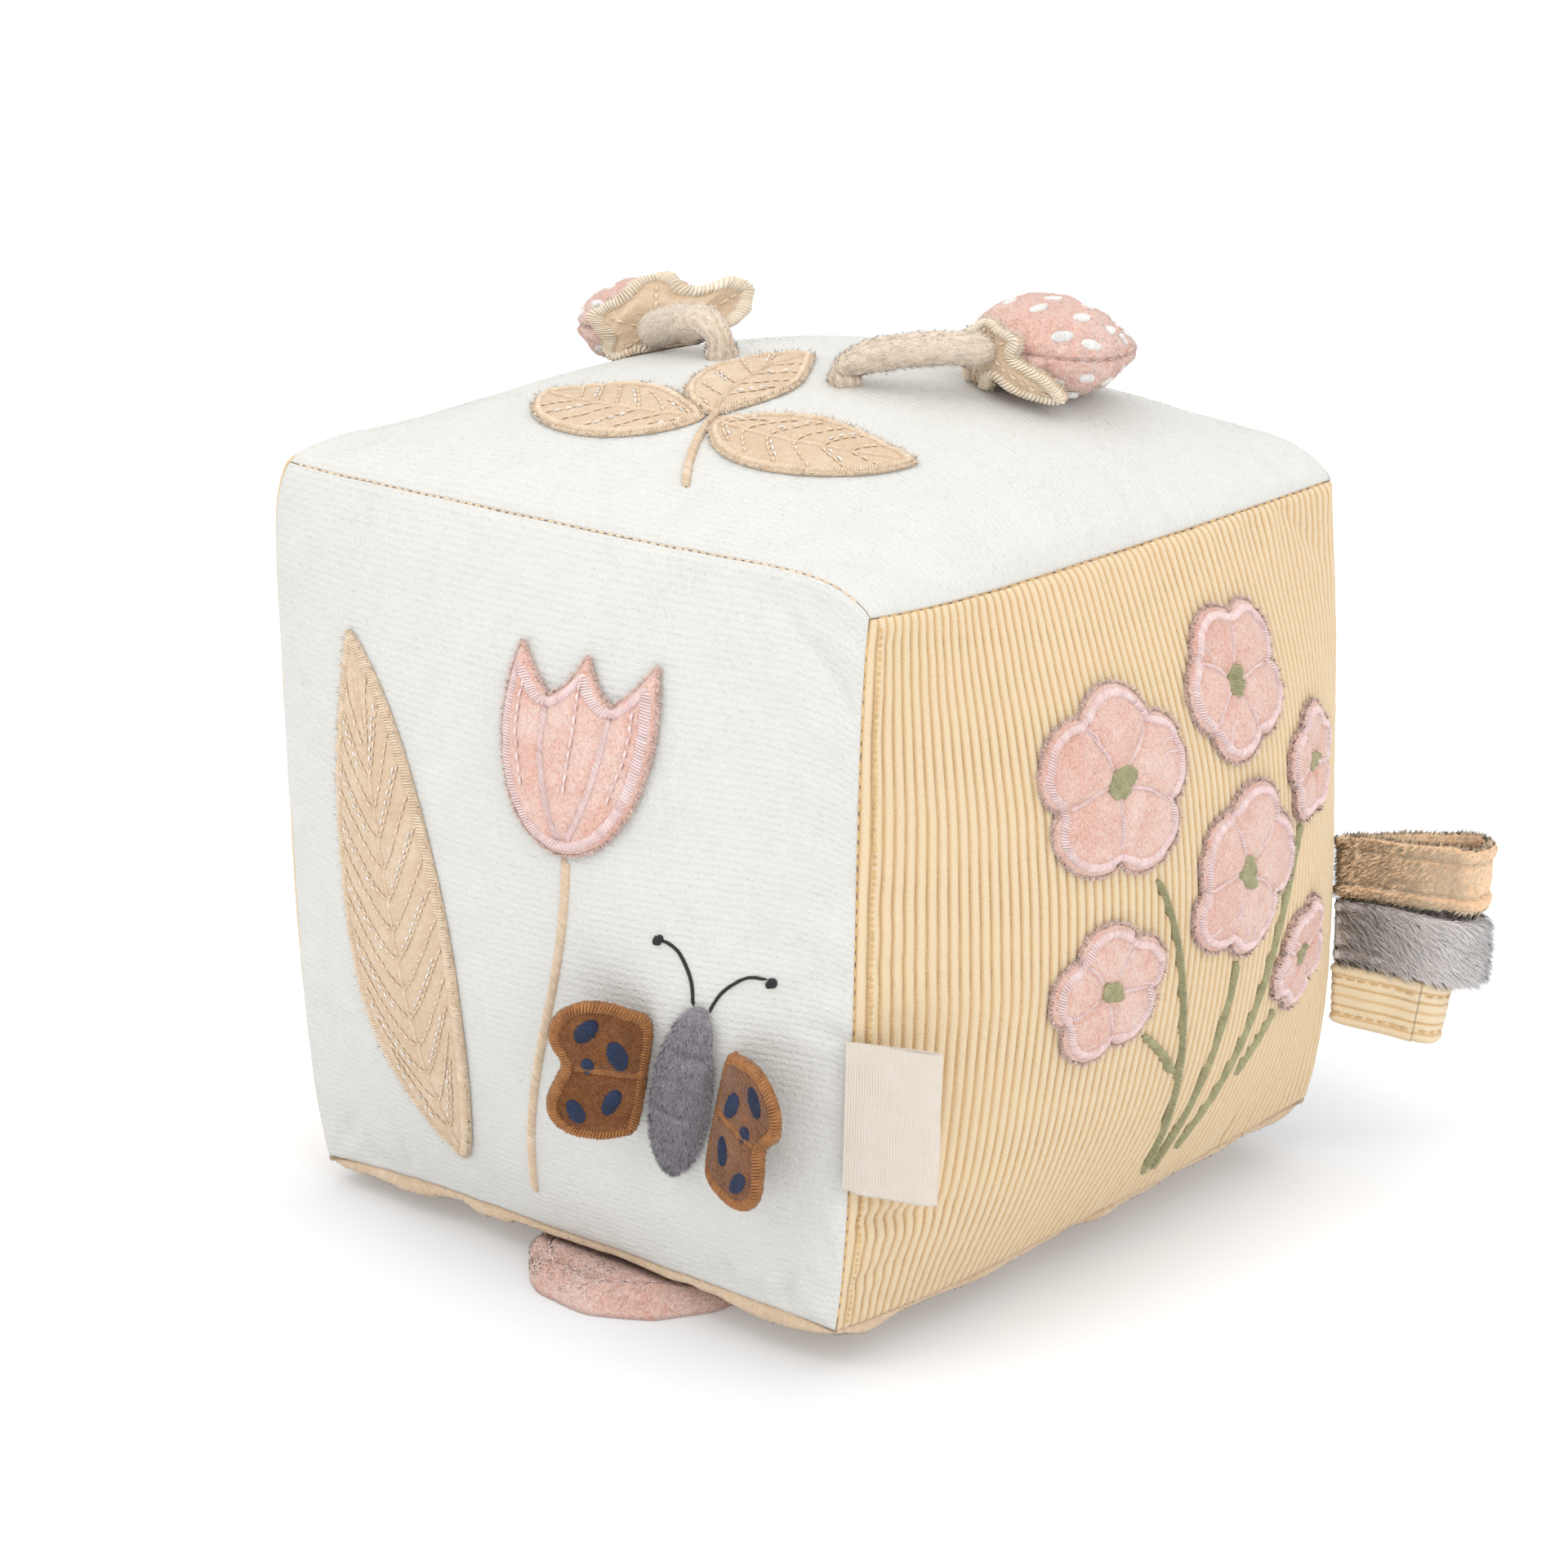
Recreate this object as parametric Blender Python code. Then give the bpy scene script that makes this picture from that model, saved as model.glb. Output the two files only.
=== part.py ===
"""Soft fabric activity block: six sewn panels around a stuffing with a rattle in it,
raised fabric flowers and leaves, two stuffed strawberries on stems, three tape loops,
a bare woven label, two lifted butterfly wings and a padded petal under the front edge.

Numbers below are millimetres, objects are built in metres, +Z up.
The block stands on the plane z = 0, its front panel looks along -Y and the ribbed
panel along +X. The origin is on the ground under the middle of the block.
"""
import math

import bmesh
import bpy
import numpy as np
from mathutils import Vector

for old in list(bpy.data.objects):
    bpy.data.objects.remove(old, do_unlink=True)

# ---------------------------------------------------------------- driving dimensions
MM = 0.001
EDGE = 150.0                    # seam to seam length of one panel edge
MIDDLE = np.array([0.0, 0.0, 82.0])
SKIN = 2.2                      # thickness of a pile fabric panel with its backing
SEAM_GAP = 0.0015               # share of an edge left free beside each seam
FIT = 0.4                       # gap between neighbouring pieces
CROWN = {"front": 17.0, "right": 19.0, "back": 16.0, "left": 17.0, "top": 21.5, "bottom": 13.0}
GRID = 10                       # cells along a panel edge

RATTLE_R = 16.8
RATTLE_Z = (71.0, 94.0)
RATTLE_WALL = 1.4
SPLIT_Z = 82.5                  # where the two halves of the stuffing and the rattle meet
BEAD_R = 2.4

TAPE = {                        # loops of tape in the rear right seam
    "loop_tan": dict(top=74.2, wide=13.8, length=32.6, half=7.0, wall=2.4, droop=2.0),
    "loop_grey": dict(top=59.9, wide=14.0, length=30.4, half=6.8, wall=2.6, droop=4.4),
    "loop_ribbed": dict(top=45.3, wide=14.0, length=25.4, half=6.2, wall=2.0, droop=4.4),
}

# ---------------------------------------------------------------- the sewn block's surface
# Corners of the stuffed block. Each seam runs between two corners and bows outward.
CORNER = {
    "tlf": (-77.5, -77.2, 160.0), "trf": (76.9, -73.5, 156.6),
    "trb": (76.8, 75.0, 153.7), "tlb": (-74.5, 74.7, 155.2),
    "blf": (-73.6, -75.1, 5.0), "brf": (72.2, -76.3, 9.2),
    "brb": (74.6, 77.4, 12.8), "blb": (-75.0, 75.5, 7.5),
}
# seam: first corner, second corner, outward bow towards each of them
SEAM = {
    "front_top": ("tlf", "trf", (0, -1.3, 0.1), (0, 0.5, 4.6)),
    "right_top": ("trf", "trb", (2.85, 0, -1.3), (1.9, 0, 0.2)),
    "back_top": ("tlb", "trb", (0, 1.5, 0.6), (0, 2.0, 6.5)),
    "left_top": ("tlf", "tlb", (-1.5, 0, 2.7), (-2.0, 0, 1.1)),
    "front_right": ("trf", "brf", (0.4, -2.4, 0), (3.2, -0.4, 0)),
    "front_left": ("tlf", "blf", (-3.2, -1.9, 0), (-1.9, -3.5, 0)),
    "back_right": ("trb", "brb", (0.9, 1.1, 0), (4.1, 3.0, 0)),
    "back_left": ("tlb", "blb", (-2.0, 2.0, 0), (-2.0, 2.0, 0)),
    "front_bottom": ("blf", "brf", (0, 0.1, 2.3), (0, -0.8, 1.1)),
    "right_bottom": ("brf", "brb", (2.1, 0, -1.5), (1.4, 0, 0.3)),
    "back_bottom": ("blb", "brb", (0, 1.5, 0.5), (0, 1.5, -0.5)),
    "left_bottom": ("blf", "blb", (-1.5, 0, 0.5), (-1.5, 0, 0.5)),
}
# puffs beside the tucked corners: seam, which end, offset
PUFF = {
    "front_left": (0, (-2.3, -0.4, 0)), "front_top": (1, (0, -0.4, 3.2)),
    "back_top": (1, (0, 0, 3.2)), "left_top": (0, (-0.5, 0, 1.5)),
}
# face: seams at v=0, v=1, u=0, u=1 (1 means that the seam runs backwards), outward axis
FACE = {
    "front": (("front_bottom", 0), ("front_top", 0), ("front_left", 1), ("front_right", 1), (0, -1, 0)),
    "right": (("right_bottom", 0), ("right_top", 0), ("front_right", 1), ("back_right", 1), (1, 0, 0)),
    "back": (("back_bottom", 1), ("back_top", 1), ("back_right", 1), ("back_left", 1), (0, 1, 0)),
    "left": (("left_bottom", 1), ("left_top", 1), ("back_left", 1), ("front_left", 1), (-1, 0, 0)),
    "top": (("front_top", 0), ("back_top", 0), ("left_top", 0), ("right_top", 0), (0, 0, 1)),
    "bottom": (("back_bottom", 0), ("front_bottom", 0), ("left_bottom", 1), ("right_bottom", 1), (0, 0, -1)),
}


def seam_point(name, t, backwards=0):
    first, second, bow_a, bow_b = SEAM[name]
    t = np.asarray(t, float)[..., None]
    if backwards:
        t = 1 - t
    swell = 1 - np.abs(2 * t - 1) ** 3.5
    point = (np.array(CORNER[first]) * (1 - t) + np.array(CORNER[second]) * t
             + swell * ((1 - t) * np.array(bow_a, float) + t * np.array(bow_b, float)))
    if name in PUFF:
        end, offset = PUFF[name]
        x = np.abs(t - end) / 0.08
        point = point + x * np.exp(1 - x) * np.array(offset)
    return point


def patch(face, u, v):
    """A point of a face's fabric, u and v from 0 to 1 between its seams."""
    u, v = np.broadcast_arrays(np.asarray(u, float), np.asarray(v, float))
    s0, s1, s2, s3, axis = FACE[face]
    U, V = u[..., None], v[..., None]
    at = lambda s, t: seam_point(s[0], t, s[1])
    zero, one = np.array(0.0), np.array(1.0)
    p = (1 - V) * at(s0, u) + V * at(s1, u) + (1 - U) * at(s2, v) + U * at(s3, v)
    p = p - ((1 - U) * (1 - V) * at(s0, zero) + U * (1 - V) * at(s0, one)
             + (1 - U) * V * at(s1, zero) + U * V * at(s1, one))
    crown = CROWN[face] * (1 - (2 * u - 1) ** 2) * (1 - (2 * v - 1) ** 2)
    p = p + crown[..., None] * np.array(axis, float)
    if face == "bottom":
        p[..., 2] = np.maximum(p[..., 2], 0.0)
    return p


def on(face, a, b, h=0.0):
    """A point h off a face's fabric, a and b from the face's middle along u and v."""
    u, v = np.asarray(a, float) / EDGE + 0.5, np.asarray(b, float) / EDGE + 0.5
    p, d = patch(face, u, v), 1e-3
    n = np.cross(patch(face, u + d, v) - patch(face, u - d, v),
                 patch(face, u, v + d) - patch(face, u, v - d))
    n = n / np.linalg.norm(n, axis=-1, keepdims=True)
    return p + np.asarray(h, float)[..., None] * n


# ---------------------------------------------------------------- materials and objects
COLOUR = {
    "white_velour": ((0.86, 0.86, 0.83), 0.95), "tan_velour": ((0.70, 0.54, 0.36), 0.95),
    "yellow_corduroy": ((0.90, 0.71, 0.42), 0.92), "grey_plush": ((0.38, 0.35, 0.37), 0.98),
    "pink_velour": ((0.84, 0.52, 0.45), 0.93), "olive_thread": ((0.32, 0.33, 0.17), 0.6),
    "beige_thread": ((0.86, 0.72, 0.56), 0.6), "brown_suede": ((0.33, 0.14, 0.05), 0.85),
    "cream_tape": ((0.92, 0.84, 0.70), 0.8), "fibrefill": ((0.93, 0.93, 0.92), 1.0),
    "rattle_shell": ((0.75, 0.78, 0.80), 0.35), "rattle_bead": ((0.60, 0.62, 0.65), 0.3),
}


def material(name):
    found = bpy.data.materials.get(name)
    if found:
        return found
    colour, rough = COLOUR[name]
    made = bpy.data.materials.new(name)
    made.use_nodes = True
    shader = made.node_tree.nodes["Principled BSDF"]
    shader.inputs["Base Color"].default_value = (*colour, 1)
    shader.inputs["Roughness"].default_value = rough
    shader.inputs["Metallic"].default_value = 0.0
    made.diffuse_color = (*colour, 1)
    return made


def solid(name, points, faces, stuff, pivot=(0, 0, 0), smooth=True, flat_angle=40):
    """One closed body from points in mm; its origin goes to the pivot."""
    pivot = np.array(pivot, float)
    mesh = bpy.data.meshes.new(name)
    mesh.from_pydata([tuple((np.array(p) - pivot) * MM) for p in points], [], faces)
    bm = bmesh.new()
    bm.from_mesh(mesh)
    bmesh.ops.remove_doubles(bm, verts=bm.verts, dist=1e-6)
    bmesh.ops.recalc_face_normals(bm, faces=bm.faces)
    if bm.calc_volume(signed=True) < 0:
        bmesh.ops.reverse_faces(bm, faces=bm.faces)
    bm.to_mesh(mesh)
    bm.free()
    if smooth:
        mesh.shade_smooth()
        mesh.set_sharp_from_angle(angle=math.radians(flat_angle))
    mesh.materials.append(material(stuff))
    made = bpy.data.objects.new(name, mesh)
    made.location = Vector(pivot * MM)
    bpy.context.scene.collection.objects.link(made)
    return made


# ---------------------------------------------------------------- shape builders
def spacing(n, inset):
    """Grid lines across a face, closer together beside its seams."""
    i = np.linspace(0, 1, n + 1)
    t = 0.55 * i + 0.45 * (0.5 - 0.5 * np.cos(np.pi * i))
    return inset + (1 - 2 * inset) * t


def shell(name, face, stuff):
    """A fabric panel: its outer skin, and the same skin drawn in towards the middle."""
    t = spacing(GRID, SEAM_GAP)
    u, v = np.meshgrid(t, t, indexing="ij")
    outer = patch(face, u, v).reshape(-1, 3)
    inner = MIDDLE + (outer - MIDDLE) * (1 - SKIN / 78.0)
    n, k = GRID + 1, (GRID + 1) ** 2
    faces = []
    for i in range(GRID):
        for j in range(GRID):
            a, b, c, d = i * n + j, (i + 1) * n + j, (i + 1) * n + j + 1, i * n + j + 1
            faces += [(a, b, c, d), (a + k, d + k, c + k, b + k)]
    rim = ([i * n for i in range(GRID)] + [GRID * n + j for j in range(GRID)]
           + [i * n + GRID for i in range(GRID, 0, -1)] + [j for j in range(GRID, 0, -1)])
    for i, a in enumerate(rim):
        b = rim[(i + 1) % len(rim)]
        faces.append((a, a + k, b + k, b))
    made = solid(name, list(outer) + list(inner), faces, stuff)
    if face == "bottom":                       # the part that is pressed flat is one face
        bm = bmesh.new()
        bm.from_mesh(made.data)
        bmesh.ops.dissolve_limit(bm, angle_limit=0.0005, verts=bm.verts, edges=bm.edges)
        bm.to_mesh(made.data)
        bm.free()
    return made


def stuffing_surface(scale):
    t, points, faces = spacing(8, 0.0), [], []
    u, v = np.meshgrid(t, t, indexing="ij")
    for face in FACE:
        base = len(points)
        points += list(MIDDLE + (patch(face, u, v).reshape(-1, 3) - MIDDLE) * scale)
        for i in range(8):
            for j in range(8):
                a = base + i * 9 + j
                faces.append((a, a + 9, a + 10, a + 1))
    return points, faces


def flat_patch(name, face, centre, outline, stuff, low=FIT, high=2.2, rise=0.5, rings=(0.55, 1.0), pivot=(0, 0, 0)):
    """A raised patch of fabric that follows a face: an outline round a centre, in face mm."""
    outline = np.array(outline, float)
    n = len(outline)
    points, faces = [], []
    for level, base in ((0, low), (1, high)):
        points.append(on(face, centre[0], centre[1], base + (rise if level else 0)))
        for r in rings:
            h = base + (rise * (1 - r * r) if level else 0)
            points += [on(face, centre[0] + r * x, centre[1] + r * y, h) for x, y in outline]
    size = 1 + n * len(rings)
    for level in (0, 1):
        o = level * size
        for i in range(n):
            j = (i + 1) % n
            faces.append((o, o + 1 + i, o + 1 + j))
            for k in range(len(rings) - 1):
                p, q = o + 1 + k * n, o + 1 + (k + 1) * n
                faces.append((p + i, q + i, q + j, p + j))
    last = 1 + (len(rings) - 1) * n
    for i in range(n):
        j = (i + 1) % n
        faces.append((last + i, size + last + i, size + last + j, last + j))
    return solid(name, points, faces, stuff, pivot)


def ribbon_patch(name, face, spine, half, stuff, low=FIT, high=2.0, cells=1, rise=0.4):
    """A raised strip of fabric or thread along a spine, half(s) wide to either side."""
    spine = np.array(spine, float)
    step = np.gradient(spine, axis=0)
    step /= np.linalg.norm(step, axis=1, keepdims=True)
    side = np.stack([-step[:, 1], step[:, 0]], -1)
    n, m = len(spine), cells + 1
    points = []
    for level, base in ((0, low), (1, high)):
        for i in range(n):
            w = half(i / (n - 1))
            for j in range(m):
                x = 2 * j / cells - 1
                a, b = spine[i] + side[i] * w * x
                points.append(on(face, a, b, base + (rise * (1 - x * x) if level else 0)))
    k = n * m
    faces = []
    for i in range(n - 1):
        for j in range(cells):
            a, b, c, d = i * m + j, (i + 1) * m + j, (i + 1) * m + j + 1, i * m + j + 1
            faces += [(a, b, c, d), (a + k, d + k, c + k, b + k)]
    rim = ([i * m for i in range(n - 1)] + [(n - 1) * m + j for j in range(cells)]
           + [i * m + cells for i in range(n - 1, 0, -1)] + [j for j in range(cells, 0, -1)])
    for i, a in enumerate(rim):
        b = rim[(i + 1) % len(rim)]
        faces.append((a, a + k, b + k, b))
    return solid(name, points, faces, stuff)


def bezier(p0, p1, p2, p3, n):
    t = np.linspace(0, 1, n)[:, None]
    p0, p1, p2, p3 = (np.array(p, float) for p in (p0, p1, p2, p3))
    return (1 - t) ** 3 * p0 + 3 * t * (1 - t) ** 2 * p1 + 3 * t * t * (1 - t) * p2 + t ** 3 * p3


def tube(name, path, radius, sides, stuff, pivot):
    """A stuffed tube along a path in space, radius(s) thick, with closed ends."""
    path = np.array(path, float)
    step = np.gradient(path, axis=0)
    step /= np.linalg.norm(step, axis=1, keepdims=True)
    points, faces = [], []
    for i, (p, d) in enumerate(zip(path, step)):
        x = np.cross(d, (0, 0, 1.0))
        x /= np.linalg.norm(x)
        y = np.cross(x, d)
        r = radius(i / (len(path) - 1))
        for k in range(sides):
            w = 2 * math.pi * (k + 0.5) / sides
            points.append(p + r * (math.cos(w) * x + math.sin(w) * y))
    for i in range(len(path) - 1):
        for k in range(sides):
            a, b = i * sides + k, i * sides + (k + 1) % sides
            faces.append((a, b, b + sides, a + sides))
    faces.append(tuple(range(sides)))
    faces.append(tuple(reversed(range((len(path) - 1) * sides, len(path) * sides))))
    return solid(name, points, faces, stuff, pivot)


def lathe(name, profile, sides, stuff, centre=(0, 0), pivot=(0, 0, 0)):
    """A turned body from a closed profile of (radius, z); points on the axis are shared."""
    points, faces, ring = [], [], []
    for r, z in profile:
        start = len(points)
        if r < 1e-6:
            points.append((centre[0], centre[1], z))
            ring.append([start] * sides)
        else:
            for k in range(sides):
                w = 2 * math.pi * k / sides
                points.append((centre[0] + r * math.cos(w), centre[1] + r * math.sin(w), z))
            ring.append([start + k for k in range(sides)])
    for i in range(len(profile)):
        a, b = ring[i], ring[(i + 1) % len(profile)]
        if len(set(a)) == 1 and len(set(b)) == 1:
            continue
        for k in range(sides):
            quad = [a[k], a[(k + 1) % sides], b[(k + 1) % sides], b[k]]
            faces.append(tuple(dict.fromkeys(quad)))
    return solid(name, points, faces, stuff, pivot, flat_angle=35)


# ---------------------------------------------------------------- panels
PANEL = {
    "front_panel": ("front", "white_velour"), "right_panel": ("right", "yellow_corduroy"),
    "back_panel": ("back", "grey_plush"), "left_panel": ("left", "yellow_corduroy"),
    "top_panel": ("top", "white_velour"), "bottom_panel": ("bottom", "tan_velour"),
}
for name, (face, stuff) in PANEL.items():
    shell(name, face, stuff)

# ---------------------------------------------------------------- stuffing with its rattle
inner_scale = 1 - (SKIN + 1.3) / 78.0


def cutter(name, points, faces):
    made = solid(name, points, faces, "fibrefill", smooth=False)
    made.hide_render = True
    made.display_type = "WIRE"
    made.hide_set(True)
    return made


def box(lo, hi):
    pts = [(x, y, z) for x in (lo[0], hi[0]) for y in (lo[1], hi[1]) for z in (lo[2], hi[2])]
    return pts, [(0, 1, 3, 2), (4, 6, 7, 5), (0, 4, 5, 1), (2, 3, 7, 6), (0, 2, 6, 4), (1, 5, 7, 3)]


pocket = lathe("pocket_cutter", [(0, RATTLE_Z[0] - FIT), (RATTLE_R + FIT, RATTLE_Z[0] - FIT),
                                 (RATTLE_R + FIT, RATTLE_Z[1] + FIT), (0, RATTLE_Z[1] + FIT)],
               24, "fibrefill")
pocket.hide_render = True
pocket.display_type = "WIRE"
pocket.hide_set(True)
HALVES = {"stuffing_lower": (-10.0, SPLIT_Z - FIT / 2), "stuffing_upper": (SPLIT_Z + FIT / 2, 220.0)}
for name, (z0, z1) in HALVES.items():
    half = solid(name, *stuffing_surface(inner_scale), "fibrefill")
    block = cutter(name + "_cutter", *box((-120, -120, z0), (120, 120, z1)))
    for target, how in ((block, "INTERSECT"), (pocket, "DIFFERENCE")):
        cut = half.modifiers.new(how.title(), "BOOLEAN")
        cut.operation, cut.object, cut.solver = how, target, "EXACT"

R, T = RATTLE_R, RATTLE_WALL
low, high = RATTLE_Z
lathe("rattle_cup", [(0, low), (R - 2.0, low), (R, low + 2.0), (R, SPLIT_Z - FIT / 2), (R - T, SPLIT_Z - FIT / 2),
                     (R - T, low + 2.4), (R - 2.4, low + T), (0, low + T)], 20, "rattle_shell")
lathe("rattle_lid", [(0, high), (0, high - T), (R - 2.4 - T, high - T), (R - 2 * T - FIT, high - 2.4),
                     (R - 2 * T - FIT, SPLIT_Z - 2.2), (R - T - FIT, SPLIT_Z - 2.2), (R - T - FIT, SPLIT_Z + FIT / 2),
                     (R, SPLIT_Z + FIT / 2), (R, high - 2.0), (R - 2.0, high)], 20, "rattle_shell")
for i in range(3):
    w = 2 * math.pi * i / 3
    c = (6.0 * math.cos(w), 6.0 * math.sin(w), low + T + 0.4 + BEAD_R)
    profile = [(BEAD_R * math.sin(math.pi * k / 6), c[2] + BEAD_R * math.cos(math.pi * k / 6)) for k in range(7)]
    profile[0], profile[-1] = (0, c[2] + BEAD_R), (0, c[2] - BEAD_R)
    lathe(f"rattle_bead_{i + 1}", profile, 10, "rattle_bead", centre=c[:2], pivot=c)

# ---------------------------------------------------------------- front panel: tulip, leaf, butterfly
TULIP_AT = (17.0, 33.0)
half_bloom = [(0.0, 20.0), (4.5, 15.5), (7.5, 12.5), (11.5, 16.5), (16.0, 20.5), (17.2, 11.0),
              (16.6, 1.5), (13.8, -7.5), (9.0, -14.0), (3.5, -17.5)]
bloom = [(-x, y) for x, y in reversed(half_bloom[1:])] + half_bloom
flat_patch("tulip_bloom", "front", TULIP_AT, bloom[::-1], "pink_velour", high=2.2)
ribbon_patch("tulip_stem", "front", bezier((17, 14.6), (18, -10), (6, -30), (-4, -64), 15),
             lambda s: 1.1, "beige_thread", high=1.4)

LEAF_SPINE = bezier((-24, -62), (-30, -30), (-30, 10), (-47, 46), 17)
ribbon_patch("long_leaf", "front", LEAF_SPINE,
             lambda s: 0.8 + 17.2 * math.sin(math.pi * s ** 0.86) ** 0.85, "tan_velour", cells=4, high=1.8)

BODY_AT, BODY_TILT = (42.0, -29.0), math.radians(-14)
ct, st = math.cos(BODY_TILT), math.sin(BODY_TILT)


def tilted(x, y):
    """Butterfly mm to front face mm."""
    return (x * ct - y * st, x * st + y * ct)


body_outline = []
for i in range(16):
    w = 2 * math.pi * i / 16
    body_outline.append(tilted(5.6 * math.cos(w) * (1 - 0.18 * math.sin(w)), 19.0 * math.sin(w)))
flat_patch("butterfly_body", "front", BODY_AT, body_outline, "grey_plush", high=1.8, rise=3.4, rings=(0.5, 0.85, 1.0))

WING_LIFT = math.radians(24)
half_wing = [(-11.5, 0.8), (11.5, 0.8), (16.0, 6.5), (17.0, 13.0), (13.5, 18.5), (7.0, 20.0), (1.5, 16.5),
             (-3.0, 17.5), (-9.0, 18.5), (-13.5, 15.0), (-14.5, 8.5), (-13.5, 3.5)]
HINGE = {}
for name, sign in (("butterfly_wing_left", -1), ("butterfly_wing_right", 1)):
    x = sign * 7.4
    ends = [on("front", BODY_AT[0] + tilted(x, y)[0], BODY_AT[1] + tilted(x, y)[1], 2.0) for y in (-11.5, 11.5)]
    mid = (ends[0] + ends[1]) / 2
    along = (ends[1] - ends[0]) / np.linalg.norm(ends[1] - ends[0])
    out = on("front", BODY_AT[0] + tilted(x, 0)[0], BODY_AT[1] + tilted(x, 0)[1], 3.0) - \
        on("front", BODY_AT[0] + tilted(x, 0)[0], BODY_AT[1] + tilted(x, 0)[1], 2.0)
    across = np.cross(out, along) * -sign
    if across[0] * sign < 0:
        across = -across
    away = math.cos(WING_LIFT) * across + math.sin(WING_LIFT) * out
    thick = np.cross(along, away)
    pts = [mid + along * p + away * q + thick * t for t in (-0.8, 0.8) for p, q in half_wing]
    n = len(half_wing)
    solid(name, pts, [tuple(range(n)), tuple(range(2 * n - 1, n - 1, -1))]
          + [(i, (i + 1) % n, n + (i + 1) % n, n + i) for i in range(n)], "brown_suede", pivot=mid, smooth=False)
    HINGE[name] = (mid, along)

# ---------------------------------------------------------------- ribbed panel: blossoms on stems
BLOSSOM = [(-19, 33, 20.5, 10), (21, 44, 17.5, 40), (18, 4, 20.0, 0), (-23, -10, 15.5, 25), (50, 18, 13.5, 15), (47, -26, 12.5, 50)]


def petals(radius, turn, count=5, n=20):
    out = []
    for i in range(n):
        w = 2 * math.pi * i / n
        r = radius * (0.82 + 0.18 * abs(math.cos(count / 2 * w)) ** 0.7)
        out.append((r * math.cos(w + math.radians(turn)), r * math.sin(w + math.radians(turn))))
    return out


for i, (a, b, r, turn) in enumerate(BLOSSOM):
    flat_patch(f"blossom_{i + 1}", "right", (a, b), petals(r, turn), "pink_velour", high=2.0)
    dot = [(3.0 * math.cos(w), 3.4 * math.sin(w)) for w in np.linspace(0, 2 * math.pi, 9)[:-1]]
    flat_patch(f"blossom_centre_{i + 1}", "right", (a, b), dot, "olive_thread",
               low=2.5 + FIT, high=3.3, rise=0.5, rings=(1.0,))

STEM = [((-11.0, 11.0), (-5, 0), (3, -28), (8.0, -66.0)), ((21.0, 25.2), (21, 24.9), (21, 24.7), (21.0, 24.4)),
        ((17.5, -16.5), (16, -30), (12, -48), (11.0, -66.0)), ((-11.5, -23.5), (-7, -28), (-2, -32), (0.6, -37.0)),
        ((43.0, 6.0), (35, -4), (31.5, -34), (15.5, -62.0)), ((38.6, -36.4), (35, -41), (31, -45), (28.2, -48.0))]
for i, route in enumerate(STEM):
    if i == 1:
        continue
    ribbon_patch(f"flower_stem_{i + 1}", "right", bezier(*route, 12 if i in (0, 2, 4) else 6),
                 lambda s: 1.1, "olive_thread", high=1.3)

# ---------------------------------------------------------------- top panel: three leaflets
LEAFLET = {"leaflet_left": ((2.0, -40.9), (-10, -46), (-26, -45), (-40, -36)),
           "leaflet_middle": ((5.5, -37.5), (0, -30), (-1, -16), (1.5, -5.0)),
           "leaflet_right": ((9.0, -40.5), (20, -43.5), (34, -41), (47, -29))}
for name, route in LEAFLET.items():
    ribbon_patch(name, "top", bezier(*route, 12),
                 lambda s: 0.7 + 10.3 * math.sin(math.pi * s ** 0.9) ** 0.8, "tan_velour", cells=2, high=1.8)
ribbon_patch("leaf_stalk", "top", bezier((6.0, -42.5), (8, -47), (12, -54), (18, -61), 8),
             lambda s: 1.0, "beige_thread", high=1.3)

# ---------------------------------------------------------------- strawberries
# name: root on the top panel, middle of the berry's base, the berry's direction, length, half width, half height
BERRY = {
    "left": dict(root=(-14.0, -14.0), rise=7.0, base=(-43.0, 1.0, 179.6), aim=(-0.70, 0.70, -0.14), length=36.0, wide=16.6, tall=10.2),
    "right": dict(root=(16.5, -13.5), rise=3.6, base=(38.5, 8.5, 186.9), aim=(0.14, 0.98, -0.14), length=39.0, wide=15.4, tall=11.0),
}


def berry_profile(t, length):
    """Distance along the axis and share of the full half width, t from 0 to 1."""
    w = math.pi * t
    s = length * (0.5 - 0.5 * math.cos(w))
    x = s / length
    return s, (4 * x * (1 - x)) ** 0.5 * (1.12 - 0.42 * x) * (1.0 if x < 0.5 else (1 - 0.35 * (x - 0.5)))


def berry_frame(b):
    aim = np.array(b["aim"], float)
    aim /= np.linalg.norm(aim)
    flat = np.cross(aim, (0, 0, 1.0))
    flat /= np.linalg.norm(flat)
    return np.array(b["base"], float), aim, flat, np.cross(flat, aim)


def rest_on_top(point, gap):
    """A point lifted, where it has to be, to a gap over the top panel."""
    a = b = 0.0
    for _ in range(8):
        under = on("top", a, b)
        a, b = a + point[0] - under[0], b + point[1] - under[1]
    return np.array([point[0], point[1], max(point[2], on("top", a, b)[2] + gap)])


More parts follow.
